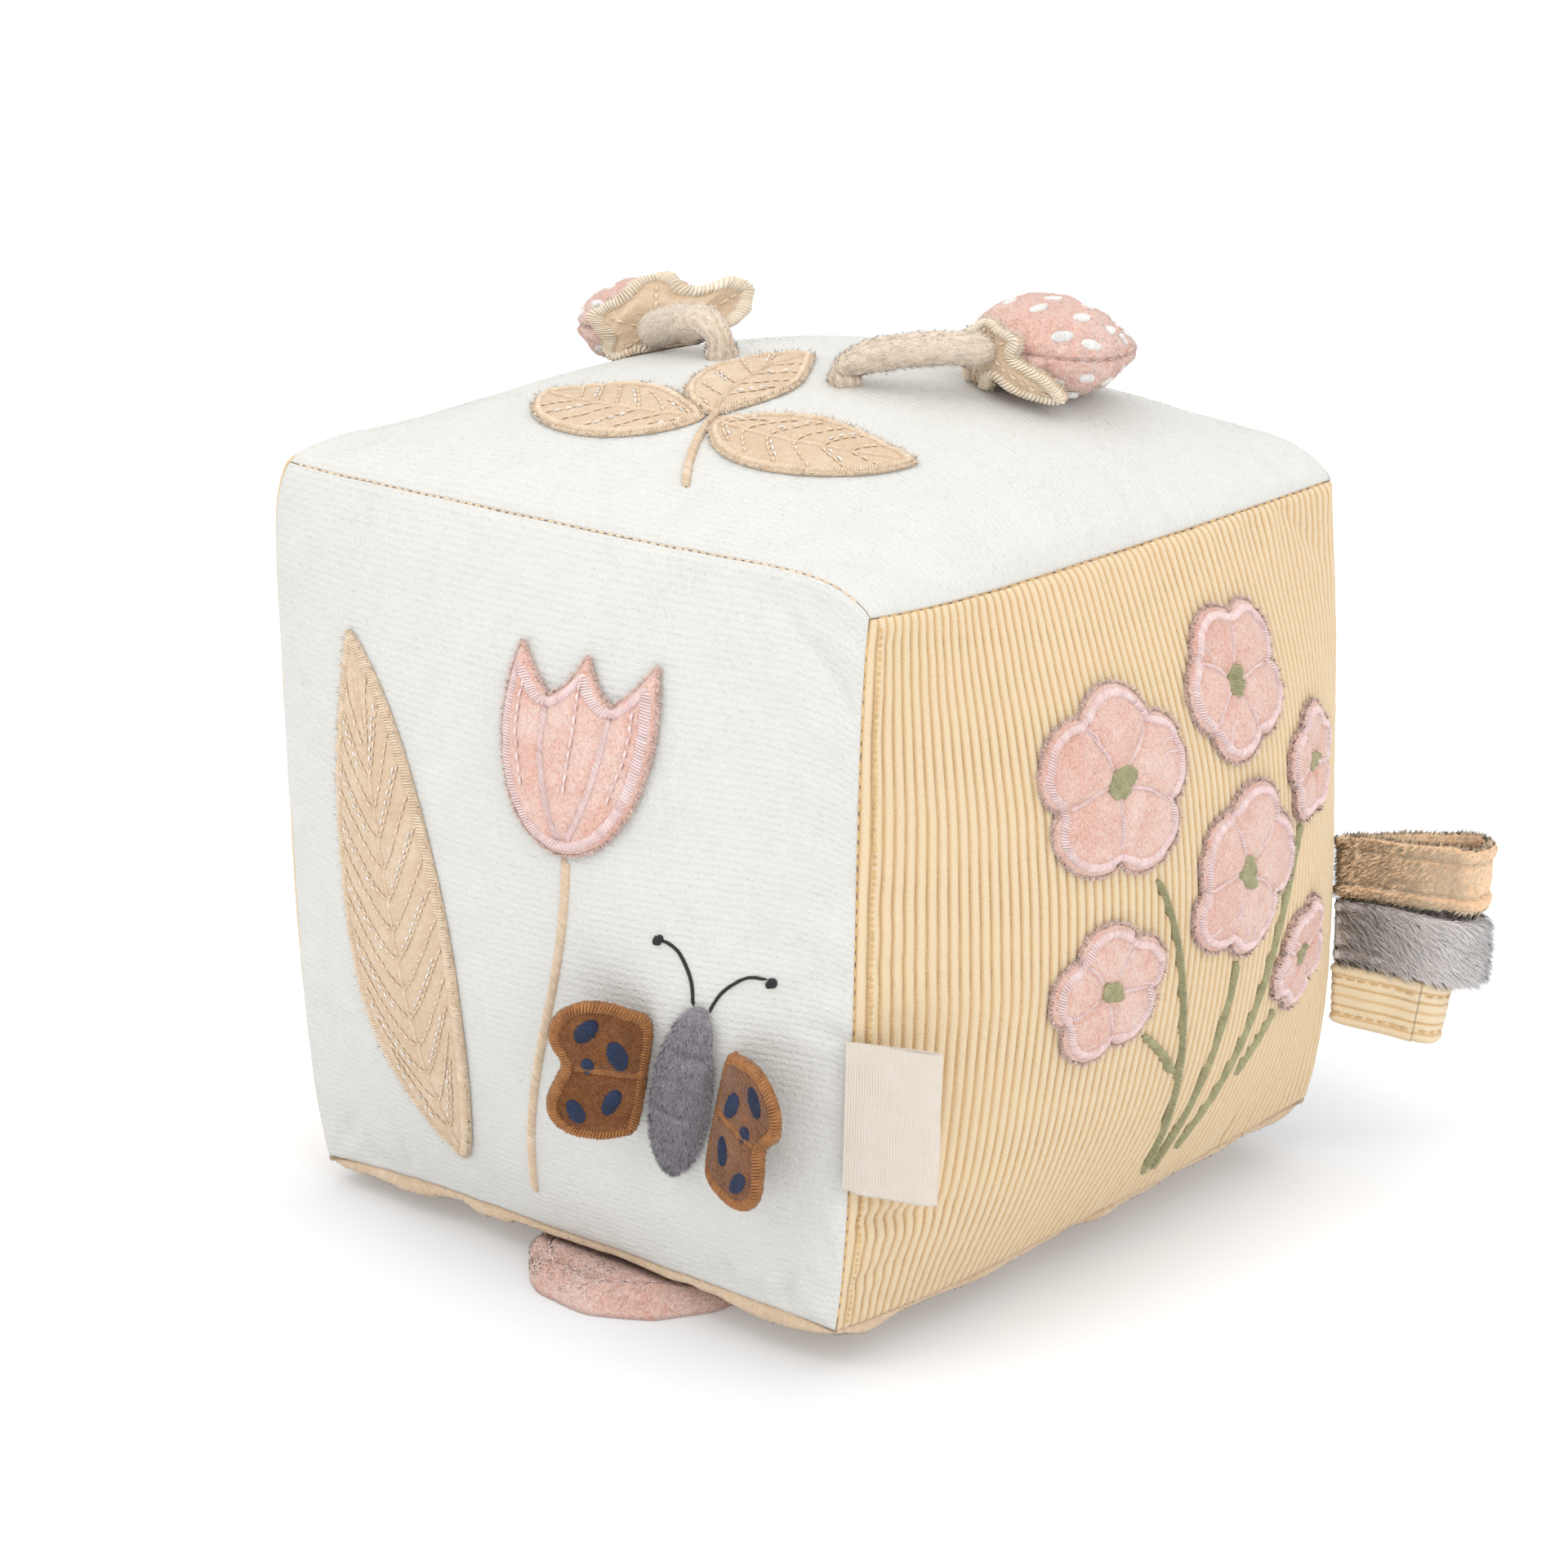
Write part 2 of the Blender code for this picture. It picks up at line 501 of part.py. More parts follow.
for side, b in BERRY.items():
    base, aim, flat, up = berry_frame(b)

    def berry_point(t, w, off=0.0):
        d = 1e-3
        s, k = berry_profile(t, b["length"])
        s1, k1 = berry_profile(min(t + d, 1.0), b["length"])
        s0, k0 = berry_profile(max(t - d, 0.0), b["length"])
        mean = (b["wide"] + b["tall"]) / 2
        ds, dr = s1 - s0, (k1 - k0) * mean
        size = math.hypot(ds, dr)
        ns, nr = (-dr / size, ds / size) if t > 0 else (-1.0, 0.0)
        return rest_on_top(base + aim * (s + off * ns) + flat * math.cos(w) * (k * b["wide"] + off * nr)
                           + up * math.sin(w) * (k * b["tall"] + off * nr), 3.0 - off)

    rows, sides = 9, 14
    pts, faces = [berry_point(0, 0)], []
    for i in range(1, rows):
        pts += [berry_point(i / rows, 2 * math.pi * k / sides) for k in range(sides)]
    pts.append(berry_point(1, 0))
    for k in range(sides):
        j = (k + 1) % sides
        faces.append((0, 1 + k, 1 + j))
        for i in range(rows - 2):
            p = 1 + i * sides
            faces.append((p + k, p + sides + k, p + sides + j, p + j))
        p = 1 + (rows - 2) * sides
        faces.append((p + k, len(pts) - 1, p + j))
    solid(f"berry_{side}", pts, faces, "pink_velour", pivot=base)

    sides, rings = 24, (0.34, 0.7, 1.0)
    pts, faces = [], []
    for off in (FIT + 0.7, FIT + 1.7):
        pts.append(base - aim * off)
        for r in rings:
            for k in range(sides):
                w = 2 * math.pi * k / sides
                reach = 0.28 * (0.70 + 0.30 * abs(math.cos(3 * w)))
                pts.append(berry_point(r * reach, w, off))
    size = 1 + sides * len(rings)
    for o in (0, size):
        for k in range(sides):
            j = (k + 1) % sides
            faces.append((o, o + 1 + k, o + 1 + j))
            for i in range(len(rings) - 1):
                p, q = o + 1 + i * sides, o + 1 + (i + 1) * sides
                faces.append((p + k, q + k, q + j, p + j))
    for k in range(sides):
        j = (k + 1) % sides
        p = 1 + (len(rings) - 1) * sides
        faces.append((p + k, size + p + k, size + p + j, p + j))
    solid(f"calyx_{side}", pts, faces, "tan_velour", pivot=base)

    root = on("top", *b["root"], 2.4)
    crest = on("top", *b["root"], 2.4 + b["rise"])
    end = base - aim * (FIT + 1.7 + 0.9)
    lift = np.array([0, 0, 2.5 if side == "left" else 2.0])
    route = bezier(root, crest + (crest - root) * 0.3, end - aim * 12 + lift, end, 13)
    # gathered at its root, and drawn in again where the berry turns on it
    tube(f"stalk_{side}", route,
         lambda s: min(1.7 + 1.9 * min(1.0, s / 0.22) ** 0.6, 1.3 + 2.3 * min(1.0, (1 - s) / 0.16)), 8, "tan_velour", pivot=root)

# ---------------------------------------------------------------- loops of tape
OUTWARD = np.array([math.sqrt(0.5), math.sqrt(0.5), 0.0])
ACROSS = np.array([-math.sqrt(0.5), math.sqrt(0.5), 0.0])
NOSE = 1.3


def belt(r0, x0, r1, x1, n0=4, n1=12):
    """Outline round two circles on one line, as a belt round two pulleys."""
    w = math.acos((r0 - r1) / (x1 - x0))
    far = [(x1 + r1 * math.cos(a), r1 * math.sin(a)) for a in np.linspace(-w, w, n1 + 1)]
    near = [(x0 + r0 * math.cos(a), r0 * math.sin(a)) for a in np.linspace(w, 2 * math.pi - w, n0 + 1)]
    return far + near


for name, d in TAPE.items():
    zs = np.linspace(d["top"] - d["wide"], d["top"], 9)
    t = np.linspace(0, 1, 801)
    seam = seam_point("back_right", t)
    reach = max(float(np.dot(seam[np.argmin(abs(seam[:, 2] - z))], OUTWARD)) for z in zs)
    mid = seam[np.argmin(abs(seam[:, 2] - zs[4]))]
    offset = float(np.dot(mid, ACROSS))
    pivot = OUTWARD * (reach + NOSE + 0.45) + ACROSS * offset + np.array([0, 0, zs[4]])
    far = d["length"] - d["half"]
    outer = belt(NOSE, 0.0, d["half"], far)
    inner = belt(0.5, 4.4, d["half"] - d["wall"], far)
    n, pts = len(outer), []
    for z in (d["top"] - d["wide"], d["top"]):
        for loop in (outer, inner):
            for x, y in loop:
                p = pivot + OUTWARD * x + ACROSS * y
                pts.append((p[0], p[1], z - d["droop"] * max(x, 0.0) / d["length"]))
    faces = []
    for i in range(n):
        j = (i + 1) % n
        faces += [(i, j, n + j, n + i), (2 * n + i, 3 * n + i, 3 * n + j, 2 * n + j),
                  (i, 2 * n + i, 2 * n + j, j), (n + i, n + j, 3 * n + j, 3 * n + i)]
    solid(name, pts, faces, {"loop_tan": "tan_velour", "loop_grey": "grey_plush",
                             "loop_ribbed": "yellow_corduroy"}[name], pivot=pivot, flat_angle=50)

# ---------------------------------------------------------------- bare woven label in the front right seam
LABEL = dict(bottom=-42.2, top=-10.6, reach=17.6, turn=21.0)      # turn: degrees from +X towards +Y
zs = np.linspace(LABEL["bottom"], LABEL["top"], 5)
seam = [on("right", -EDGE / 2, z) for z in zs]
diag = np.array([math.sqrt(0.5), -math.sqrt(0.5), 0.0])
roots = [p + diag * 1.7 for p in seam]
label_pivot = np.array([roots[2][0], roots[2][1], roots[2][2]])
turn = math.radians(LABEL["turn"])
outward, sideways = np.array([math.cos(turn), math.sin(turn), 0.0]), np.array([-math.sin(turn), math.cos(turn), 0.0])
# seen from above: two layers of tape that part a little towards the fold at the free edge
layer = [(0.0, 0.45), (6.0, 0.75), (12.0, 1.0), (15.6, 1.0), (17.0, 0.7), (17.6, 0.0)]
fold = layer + [(x, -y) for x, y in reversed(layer[:-1])]
n, pts = len(fold), []
for root in roots:
    pts += [root + outward * x + sideways * y for x, y in fold]
faces = [tuple(range(n)), tuple(range((len(zs) - 1) * n, len(zs) * n))]
for i in range(len(zs) - 1):
    faces += [(i * n + k, i * n + (k + 1) % n, (i + 1) * n + (k + 1) % n, (i + 1) * n + k) for k in range(n)]
solid("woven_label", pts, faces, "cream_tape", pivot=label_pivot)

# ---------------------------------------------------------------- padded petal under the front edge
PETAL = dict(x=10.0, y=-63.5, radius=24.5, back=-56.5, floor=0.15)
n, front_y = 18, PETAL["y"] - PETAL["radius"]


def petal_height(y):
    """Height of the petal's top: thin where it is sewn on, thick in front of the seam."""
    t = min(1.0, max(0.0, (PETAL["back"] - y) / (PETAL["back"] + 77.0)))
    return 1.4 + 5.4 * t


span = math.acos((PETAL["back"] - PETAL["y"]) / PETAL["radius"])
edge_pts = [(PETAL["x"] + PETAL["radius"] * math.sin(a), PETAL["y"] + PETAL["radius"] * math.cos(a))
            for a in np.linspace(span, 2 * math.pi - span, n + 1)]
centre = (PETAL["x"], (PETAL["back"] + front_y) / 2)
pts, faces = [], []
for level in (0, 1):
    pts.append((centre[0], centre[1], petal_height(centre[1]) if level else PETAL["floor"]))
    for r in (0.6, 0.9, 1.0):
        for x, y in edge_pts:
            px, py = centre[0] + r * (x - centre[0]), centre[1] + r * (y - centre[1])
            top = petal_height(py)
            swell = 1.0 if r < 0.8 else (0.86 if r < 0.95 else 0.62)
            sink = 0.0 if r < 0.8 else (0.10 if r < 0.95 else 0.30)
            pts.append((px, py, max(PETAL["floor"] + top * sink * 0.8, top * swell) if level
                        else PETAL["floor"] + top * sink * 0.8))
m = n + 1
size = 1 + 3 * m
for o in (0, size):
    for i in range(m):
        j = (i + 1) % m
        faces.append((o, o + 1 + i, o + 1 + j))
        for k in (0, 1):
            p, q = o + 1 + k * m, o + 1 + (k + 1) * m
            faces.append((p + i, q + i, q + j, p + j))
p = 1 + 2 * m
for i in range(m):
    j = (i + 1) % m
    faces.append((p + i, size + p + i, size + p + j, p + j))
solid("base_petal", pts, faces, "pink_velour", pivot=(PETAL["x"], PETAL["back"], 0.9))
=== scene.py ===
"""Looks of the soft fabric activity block: pile fabrics, corduroy, stitched patches,
stuffed berries, tape loops, a bare woven label and a padded petal.

Lengths in the shape code are millimetres; meshes are written in metres.
"""
import math

import bpy
import numpy as np
from mathutils import Matrix, Vector


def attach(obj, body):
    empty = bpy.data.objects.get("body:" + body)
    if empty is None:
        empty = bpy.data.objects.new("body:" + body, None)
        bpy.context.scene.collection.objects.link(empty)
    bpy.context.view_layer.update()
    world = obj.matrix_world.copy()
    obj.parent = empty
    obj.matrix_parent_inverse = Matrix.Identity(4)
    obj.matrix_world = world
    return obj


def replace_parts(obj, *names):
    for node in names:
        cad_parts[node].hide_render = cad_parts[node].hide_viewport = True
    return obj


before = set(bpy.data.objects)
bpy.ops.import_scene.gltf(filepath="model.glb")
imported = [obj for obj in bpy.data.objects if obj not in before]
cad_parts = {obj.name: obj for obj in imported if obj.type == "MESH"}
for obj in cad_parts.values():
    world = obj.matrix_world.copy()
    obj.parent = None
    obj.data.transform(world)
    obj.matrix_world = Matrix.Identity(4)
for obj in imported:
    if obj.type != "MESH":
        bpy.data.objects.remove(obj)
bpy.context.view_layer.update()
MM = 0.001

# =====================================================================================
# camera and light
# =====================================================================================
scene = bpy.context.scene
scene.view_settings.view_transform = "Standard"
scene.view_settings.look = "None"

RIGHT = Vector((0.74944887, 0.66205078, 0.00389335))
UP = Vector((-0.21494492, 0.23774953, 0.9472454))
BACK = Vector((0.62619891, -0.71074885, 0.32048556))
cam_data = bpy.data.cameras.new("camera")
cam_data.sensor_width = 36.0
cam_data.lens = 6091.9 * 36.0 / 1920.0
cam_data.clip_start, cam_data.clip_end = 0.05, 20.0
cam = bpy.data.objects.new("camera", cam_data)
scene.collection.objects.link(cam)
turn = Matrix((RIGHT, UP, BACK)).transposed().to_4x4()
cam.matrix_world = Matrix.Translation(Vector((0.65207, -0.75049, 0.42417))) @ turn
scene.camera = cam


def area_light(name, at, look, size, power, colour=(1, 1, 1), size_y=None):
    data = bpy.data.lights.new(name, "AREA")
    data.energy, data.size, data.color = power, size, colour
    if size_y:
        data.shape, data.size_y = "RECTANGLE", size_y
    lamp = bpy.data.objects.new(name, data)
    lamp.location = at
    lamp.rotation_mode = "QUATERNION"
    lamp.rotation_quaternion = (Vector(look) - Vector(at)).to_track_quat("-Z", "Y")
    scene.collection.objects.link(lamp)
    return lamp


area_light("key_softbox", (-0.75, -1.9, 1.9), (0, 0, 0.08), 1.6, 12.2, (1.0, 0.998, 0.99))
area_light("side_softbox", (2.1, -0.9, 1.3), (0, 0, 0.08), 1.3, 13.9, (1.0, 0.995, 0.985))
for name, aim, strength, spread in (("sky_panel", (-0.07, -0.05, -1.0), 1.25, 85), ("front_light", (0.35, 0.8, -0.75), 0.12, 45)):
    sun = bpy.data.lights.new(name, "SUN")
    sun.energy, sun.angle = strength, math.radians(spread)
    lamp = bpy.data.objects.new(name, sun)
    lamp.rotation_mode = "QUATERNION"
    lamp.rotation_quaternion = Vector(aim).to_track_quat("-Z", "Y")
    scene.collection.objects.link(lamp)

world = bpy.data.worlds.new("studio")
scene.world = world
world.use_nodes = True
world.node_tree.nodes["Background"].inputs["Color"].default_value = (1, 1, 1, 1)
world.node_tree.nodes["Background"].inputs["Strength"].default_value = 0.85


# =====================================================================================
# materials
# =====================================================================================
def lin(r, g, b):
    out = []
    for c in (r, g, b):
        c /= 255.0
        out.append(c / 12.92 if c <= 0.04045 else ((c + 0.055) / 1.055) ** 2.4)
    return (*out, 1.0)


DYE = 0.82             # share of the light that even the palest cloth gives back


class Stuff:
    """A material being made from nodes."""

    def __init__(self, name, rough=0.9, sheen=0.0, sheen_rough=0.5, sheen_tint=(1, 1, 1, 1), specular=0.25):
        self.m = bpy.data.materials.new(name)
        self.m.use_nodes = True
        self.t = self.m.node_tree
        self.b = self.t.nodes["Principled BSDF"]
        self.b.inputs["Roughness"].default_value = rough
        self.b.inputs["Sheen Weight"].default_value = sheen
        self.b.inputs["Sheen Roughness"].default_value = sheen_rough
        self.b.inputs["Sheen Tint"].default_value = sheen_tint
        self.b.inputs["Specular IOR Level"].default_value = specular

    def node(self, kind, **settings):
        n = self.t.nodes.new(kind)
        for k, v in settings.items():
            setattr(n, k, v)
        return n

    def put(self, socket, value):
        if hasattr(value, "is_output"):
            self.t.links.new(value, socket)
        else:
            socket.default_value = value

    def place(self, scale=(1, 1, 1)):
        """Object coordinates in mm, stretched by scale."""
        c = self.node("ShaderNodeTexCoord")
        m = self.node("ShaderNodeVectorMath", operation="MULTIPLY")
        self.put(m.inputs[0], c.outputs["Object"])
        m.inputs[1].default_value = tuple(1000.0 * s for s in scale)
        return m.outputs[0]

    def cloth_place(self, scale=(1, 1, 1)):
        """Coordinates along the cloth in mm, from the mesh's map."""
        c = self.node("ShaderNodeUVMap", uv_map="cloth")
        m = self.node("ShaderNodeVectorMath", operation="MULTIPLY")
        self.put(m.inputs[0], c.outputs[0])
        m.inputs[1].default_value = tuple(100.0 * s for s in scale)
        return m.outputs[0]

    def noise(self, where, scale, detail=2.0, rough=0.5, distortion=0.0):
        n = self.node("ShaderNodeTexNoise")
        self.put(n.inputs["Vector"], where)
        n.inputs["Scale"].default_value = scale
        n.inputs["Detail"].default_value = detail
        n.inputs["Roughness"].default_value = rough
        n.inputs["Distortion"].default_value = distortion
        return n.outputs[0]

    def cells(self, where, scale):
        n = self.node("ShaderNodeTexVoronoi")
        self.put(n.inputs["Vector"], where)
        n.inputs["Scale"].default_value = scale
        return n.outputs["Distance"]

    def math(self, op, a, b=0.0, c=0.0):
        n = self.node("ShaderNodeMath", operation=op)
        for i, v in enumerate((a, b, c)):
            self.put(n.inputs[i], v)
        return n.outputs[0]

    def span(self, value, low, high, to_low=0.0, to_high=1.0):
        n = self.node("ShaderNodeMapRange")
        for i, v in enumerate((value, low, high, to_low, to_high)):
            self.put(n.inputs[i], v)
        return n.outputs[0]

    def mix(self, share, a, b, how="MIX"):
        n = self.node("ShaderNodeMix", data_type="RGBA", blend_type=how)
        self.put(n.inputs[0], share)
        self.put(n.inputs[6], a)
        self.put(n.inputs[7], b)
        return n.outputs[2]

    def ramp(self, value, *stops):
        n = self.node("ShaderNodeValToRGB")
        self.put(n.inputs[0], value)
        e = n.color_ramp.elements
        while len(e) < len(stops):
            e.new(0.5)
        for item, (at, colour) in zip(e, stops):
            item.position, item.color = at, colour
        return n.outputs[0]

    def said(self, name):
        n = self.node("ShaderNodeAttribute", attribute_name=name)
        return n.outputs["Fac"]

    def part(self, vector, axis):
        n = self.node("ShaderNodeSeparateXYZ")
        self.put(n.inputs[0], vector)
        return n.outputs[axis]

    def finish(self, colour, height=None, distance=0.0003, strength=1.0):
        tone = self.math("MULTIPLY", self.said("tone"), DYE)
        toned = self.node("ShaderNodeVectorMath", operation="SCALE")
        self.put(toned.inputs[0], colour)
        self.put(toned.inputs["Scale"], tone)
        self.put(self.b.inputs["Base Color"], toned.outputs[0])
        if height is not None:
            bump = self.node("ShaderNodeBump")
            bump.inputs["Strength"].default_value = strength
            bump.inputs["Distance"].default_value = distance
            self.put(bump.inputs["Height"], height)
            self.put(self.b.inputs["Normal"], bump.outputs[0])
        self.m.diffuse_color = (0.8, 0.8, 0.8, 1)
        return self.m


def velour(name, dark, mid, light, sheen=0.35, crush=0.45, grain=1.0, knit=0.0, seam=None, rough=0.92, depth=0.00035, nubs=0.0):
    """Short pile cloth: a brushed, slightly crushed nap over fine fibres."""
    s = Stuff(name, rough=rough, sheen=sheen, sheen_rough=0.45, specular=0.12)
    where = s.place()
    broad = s.noise(where, 0.085, 2.0, 0.55, 0.6)
    nap = s.noise(where, 0.42, 3.0, 0.6, 1.4)
    fibre = s.noise(s.place((1, 1, 0.55)), 2.6 * grain, 3.0, 0.65, 0.3)
    value = s.math("MULTIPLY_ADD", broad, 0.30, s.math("MULTIPLY_ADD", nap, crush, s.math("MULTIPLY", fibre, 0.70 - crush)))
    if nubs:
        nub = s.cells(s.place((1, 1, 0.8)), 2.1 * grain)
        value = s.math("MULTIPLY_ADD", nub, -0.30 * nubs, s.math("ADD", value, 0.11 * nubs))
    value = s.span(value, 0.32, 0.68)
    colour = s.ramp(value, (0.0, lin(*dark)), (0.5, lin(*mid)), (1.0, lin(*light)))
    height = s.math("MULTIPLY_ADD", nap, 0.8, s.math("MULTIPLY", fibre, 0.9))
    if nubs:
        height = s.math("MULTIPLY_ADD", nub, -1.1 * nubs, height)
    if knit:
        rows = s.cloth_place()
        wobble = s.noise(where, 0.20, 2.0, 0.5)
        phase = s.math("MULTIPLY_ADD", s.part(rows, 1), 2 * math.pi / 1.45, s.math("MULTIPLY", wobble, 2.6))
        line = s.math("MULTIPLY_ADD", s.math("SINE", phase), 0.5, 0.5)
        cut = s.math("MULTIPLY", line, s.span(s.noise(s.cloth_place((0.95, 1.3, 1)), 0.95, 2.0, 0.6), 0.35, 0.65))
        colour = s.mix(s.math("MULTIPLY", cut, knit), colour, lin(*dark))
        height = s.math("SUBTRACT", height, s.math("MULTIPLY", cut, 0.7))
    # at the bottom of each seam groove the colour goes toward the seam colour: on the white panels a darker beige,
    # partly the turned-in backing and partly painted shade in the seam gap; on the grey panel a paler beige, the
    # backing's own colour
    if seam:
        colour = s.mix(s.span(s.said("seam"), 0.55, 0.97), colour, lin(*seam))
    return s.finish(colour, height, depth)


def corduroy(name, groove, side, crest, seam=None):
    s = Stuff(name, rough=0.88, sheen=0.30, sheen_rough=0.4, specular=0.12)
    cloth, rib = s.cloth_place(), s.said("rib")
    fibre = s.noise(s.cloth_place((3.2, 0.9, 1)), 1.0, 3.0, 0.6, 0.4)
    tuft = s.noise(s.cloth_place((1.1, 2.2, 1)), 1.3, 2.0, 0.5, 0.2)
    broad = s.noise(s.place(), 0.06, 2.0, 0.5)
    # colour follows the rib's own height: pale crests, darker wale grooves; the grooves' dark is partly the bare ground
    # weave and partly painted shade in the groove
    value = s.math("ADD", rib, s.math("MULTIPLY_ADD", fibre, 0.34, -0.17))
    value = s.math("ADD", value, s.math("MULTIPLY_ADD", broad, 0.16, -0.08))
    colour = s.ramp(value, (0.02, lin(*groove)), (0.46, lin(*side)), (0.90, lin(*crest)))
    dash = s.math("MULTIPLY_ADD", s.math("SINE", s.math("MULTIPLY_ADD", s.part(cloth, 1), 2 * math.pi / 0.85,
                                                         s.math("MULTIPLY", tuft, 5.0))), 0.5, 0.5)
    low = s.span(rib, 0.45, 0.05)
    colour = s.mix(s.math("MULTIPLY", s.math("MULTIPLY", dash, low), 0.55), colour, lin(*crest))
    height = s.math("MULTIPLY_ADD", fibre, 0.8, s.math("MULTIPLY", tuft, 0.5))
    height = s.math("MULTIPLY_ADD", s.math("MULTIPLY", dash, low), 0.7, height)
    # at the bottom of each seam groove the colour goes toward a darker gold: painted shade in the seam gap
    if seam:
        colour = s.mix(s.span(s.said("seam"), 0.6, 0.97), colour, lin(*seam))
    return s.finish(colour, height, 0.00026)


def thread(name, dark, light, sheen=0.15, rough=0.5):
    """Embroidery thread: each laid thread has its own tone, with painted shade in the valleys between satin threads,
    and fine filaments along it.
    """
    s = Stuff(name, rough=rough, sheen=sheen, sheen_rough=0.35, specular=0.4)
    strand = s.noise(s.place(), 3.0, 2.0, 0.6, 0.2)
    broad = s.noise(s.place(), 0.30, 2.0, 0.5)
    value = s.math("ADD", s.math("MULTIPLY", strand, 0.55), s.math("MULTIPLY_ADD", broad, 0.35, 0.0))
    colour = s.ramp(s.span(value, 0.28, 0.62), (0.0, lin(*dark)), (1.0, lin(*light)))
    return s.finish(colour, strand, 0.00016)


def fur(name, root, mid, tip, sheen=0.35):
    """Fibres of a longer pile, darker at the root; "tip" runs from 0 to 1 along a fibre."""
    s = Stuff(name, rough=0.75, sheen=sheen, sheen_rough=0.35, specular=0.25)
    streak = s.noise(s.place(), 0.55, 2.0, 0.5, 0.5)
    value = s.math("ADD", s.math("MULTIPLY", s.said("tip"), 0.75), s.math("MULTIPLY_ADD", streak, 0.5, -0.12))
    colour = s.ramp(value, (0.0, lin(*root)), (0.45, lin(*mid)), (1.0, lin(*tip)))
    up = s.node("ShaderNodeAttribute", attribute_name="up")
    world_up = s.node("ShaderNodeVectorTransform", vector_type="NORMAL", convert_from="OBJECT", convert_to="WORLD")
    s.put(world_up.inputs[0], up.outputs["Vector"])
    s.put(s.b.inputs["Normal"], world_up.outputs[0])
    return s.finish(colour)


def woven(name, dark, light):
    """Woven tape: fine columns with the weft showing between them."""
    s = Stuff(name, rough=0.8, sheen=0.15, specular=0.2)
    cloth = s.cloth_place()
    u, v = s.part(cloth, 0), s.part(cloth, 1)
    drift = s.noise(s.cloth_place((0.5, 0.5, 1)), 0.5, 2.0, 0.5)
    column = s.math("MULTIPLY_ADD", s.math("SINE", s.math("MULTIPLY_ADD", u, 2 * math.pi / 0.56, s.math("MULTIPLY", drift, 1.2))), 0.5, 0.5)
    row = s.math("MULTIPLY_ADD", s.math("SINE", s.math("MULTIPLY_ADD", v, 2 * math.pi / 0.34, s.math("MULTIPLY", column, 3.1))), 0.5, 0.5)
    knot = s.math("MULTIPLY", column, s.math("MULTIPLY_ADD", row, 0.6, 0.4))
    value = s.math("ADD", knot, s.math("MULTIPLY_ADD", drift, 0.3, -0.12))
    colour = s.ramp(value, (0.0, lin(*dark)), (0.75, lin(*light)))
    return s.finish(colour, knot, 0.00022)


# its seam colour, a darker beige, is the backing in the seam and painted shade in the seam gap
WHITE = velour("white_velour", (226, 225, 219), (232, 231, 226), (237, 236, 232), sheen=0.22, crush=0.22, knit=0.30, seam=(224, 202, 178), depth=0.00022, nubs=0.12)
WHITE_PILE = fur("white_pile", (238, 237, 232), (242, 241, 236), (246, 245, 241))
# corduroy colours for the groove, side and crest of a wale: the darker grooves carry painted shade as well as the
# ground weave; the panel's seam colour, a darker gold, is painted shade at the bottom of the seams
CORD = corduroy("yellow_corduroy", (206, 164, 112), (229, 196, 150), (240, 217, 181), seam=(204, 162, 112))
CORD_TAPE = corduroy("yellow_corduroy_tape", (222, 182, 126), (240, 208, 162), (250, 230, 196))
TAN = velour("tan_velour", (246, 196, 154), (255, 216, 176), (255, 234, 206), sheen=0.15, crush=0.36, grain=1.0, nubs=0.3)
TAN_PILE = fur("tan_pile", (255, 208, 166), (255, 228, 192), (255, 246, 224), sheen=0.12)
STALK = velour("stalk_velour", (244, 219, 193), (253, 231, 209), (255, 243, 228), sheen=0.35, crush=0.30, nubs=0.2)
STALK_PILE = fur("stalk_pile", (252, 226, 196), (255, 236, 211), (255, 247, 231))
LOOP_GREY = velour("loop_grey_velour", (204, 194, 192), (230, 219, 217), (247, 238, 235), sheen=0.4, crush=0.38, nubs=0.3)
LOOP_FUR = fur("loop_grey_fur", (240, 230, 227), (255, 248, 245), (255, 255, 254))
LEAF = velour("leaf_velour", (216, 186, 152), (232, 205, 174), (245, 224, 199), sheen=0.3, crush=0.34, nubs=0.3)
LEAF_PILE = fur("leaf_pile", (236, 208, 178), (250, 228, 202), (255, 246, 230))
PINK = velour("pink_velour", (231, 170, 151), (247, 208, 193), (255, 235, 227), sheen=0.35, crush=0.30, grain=1.0, nubs=0.6, depth=0.00045)
PINK_PILE = fur("pink_pile", (238, 180, 162), (250, 210, 195), (255, 238, 231))
GREY = velour("grey_velour", (124, 118, 124), (156, 150, 156), (186, 180, 186), sheen=0.4, crush=0.38, nubs=0.3, seam=(236, 226, 214))
GREY_FUR = fur("grey_fur", (214, 207, 207), (244, 237, 237), (255, 252, 252))
GREY_PILE = fur("grey_pile", (138, 132, 140), (178, 172, 180), (212, 206, 214))
RUST = velour("rust_velour", (98, 58, 27), (130, 80, 41), (158, 105, 60), sheen=0.3, crush=0.34, nubs=0.6)
PINK_THREAD = thread("pink_thread", (241, 200, 197), (255, 238, 236))
OLIVE_THREAD = thread("olive_thread", (154, 150, 108), (204, 200, 158))
ECRU_THREAD = thread("ecru_thread", (228, 196, 160), (252, 234, 210))
PALE_THREAD = thread("pale_thread", (244, 216, 182), (255, 247, 230), sheen=0.3)
WHITE_THREAD = thread("white_thread", (244, 242, 238), (255, 255, 254))
RUST_THREAD = thread("rust_thread", (126, 76, 36), (202, 138, 78))
NAVY_THREAD = thread("navy_thread", (14, 26, 52), (40, 62, 104))
BLACK_THREAD = thread("black_thread", (22, 20, 22), (58, 54, 56))
SEED_THREAD = thread("seed_thread", (244, 238, 232), (255, 254, 251), sheen=0.3)
GOLD_THREAD = thread("gold_thread", (214, 168, 104), (242, 210, 154))
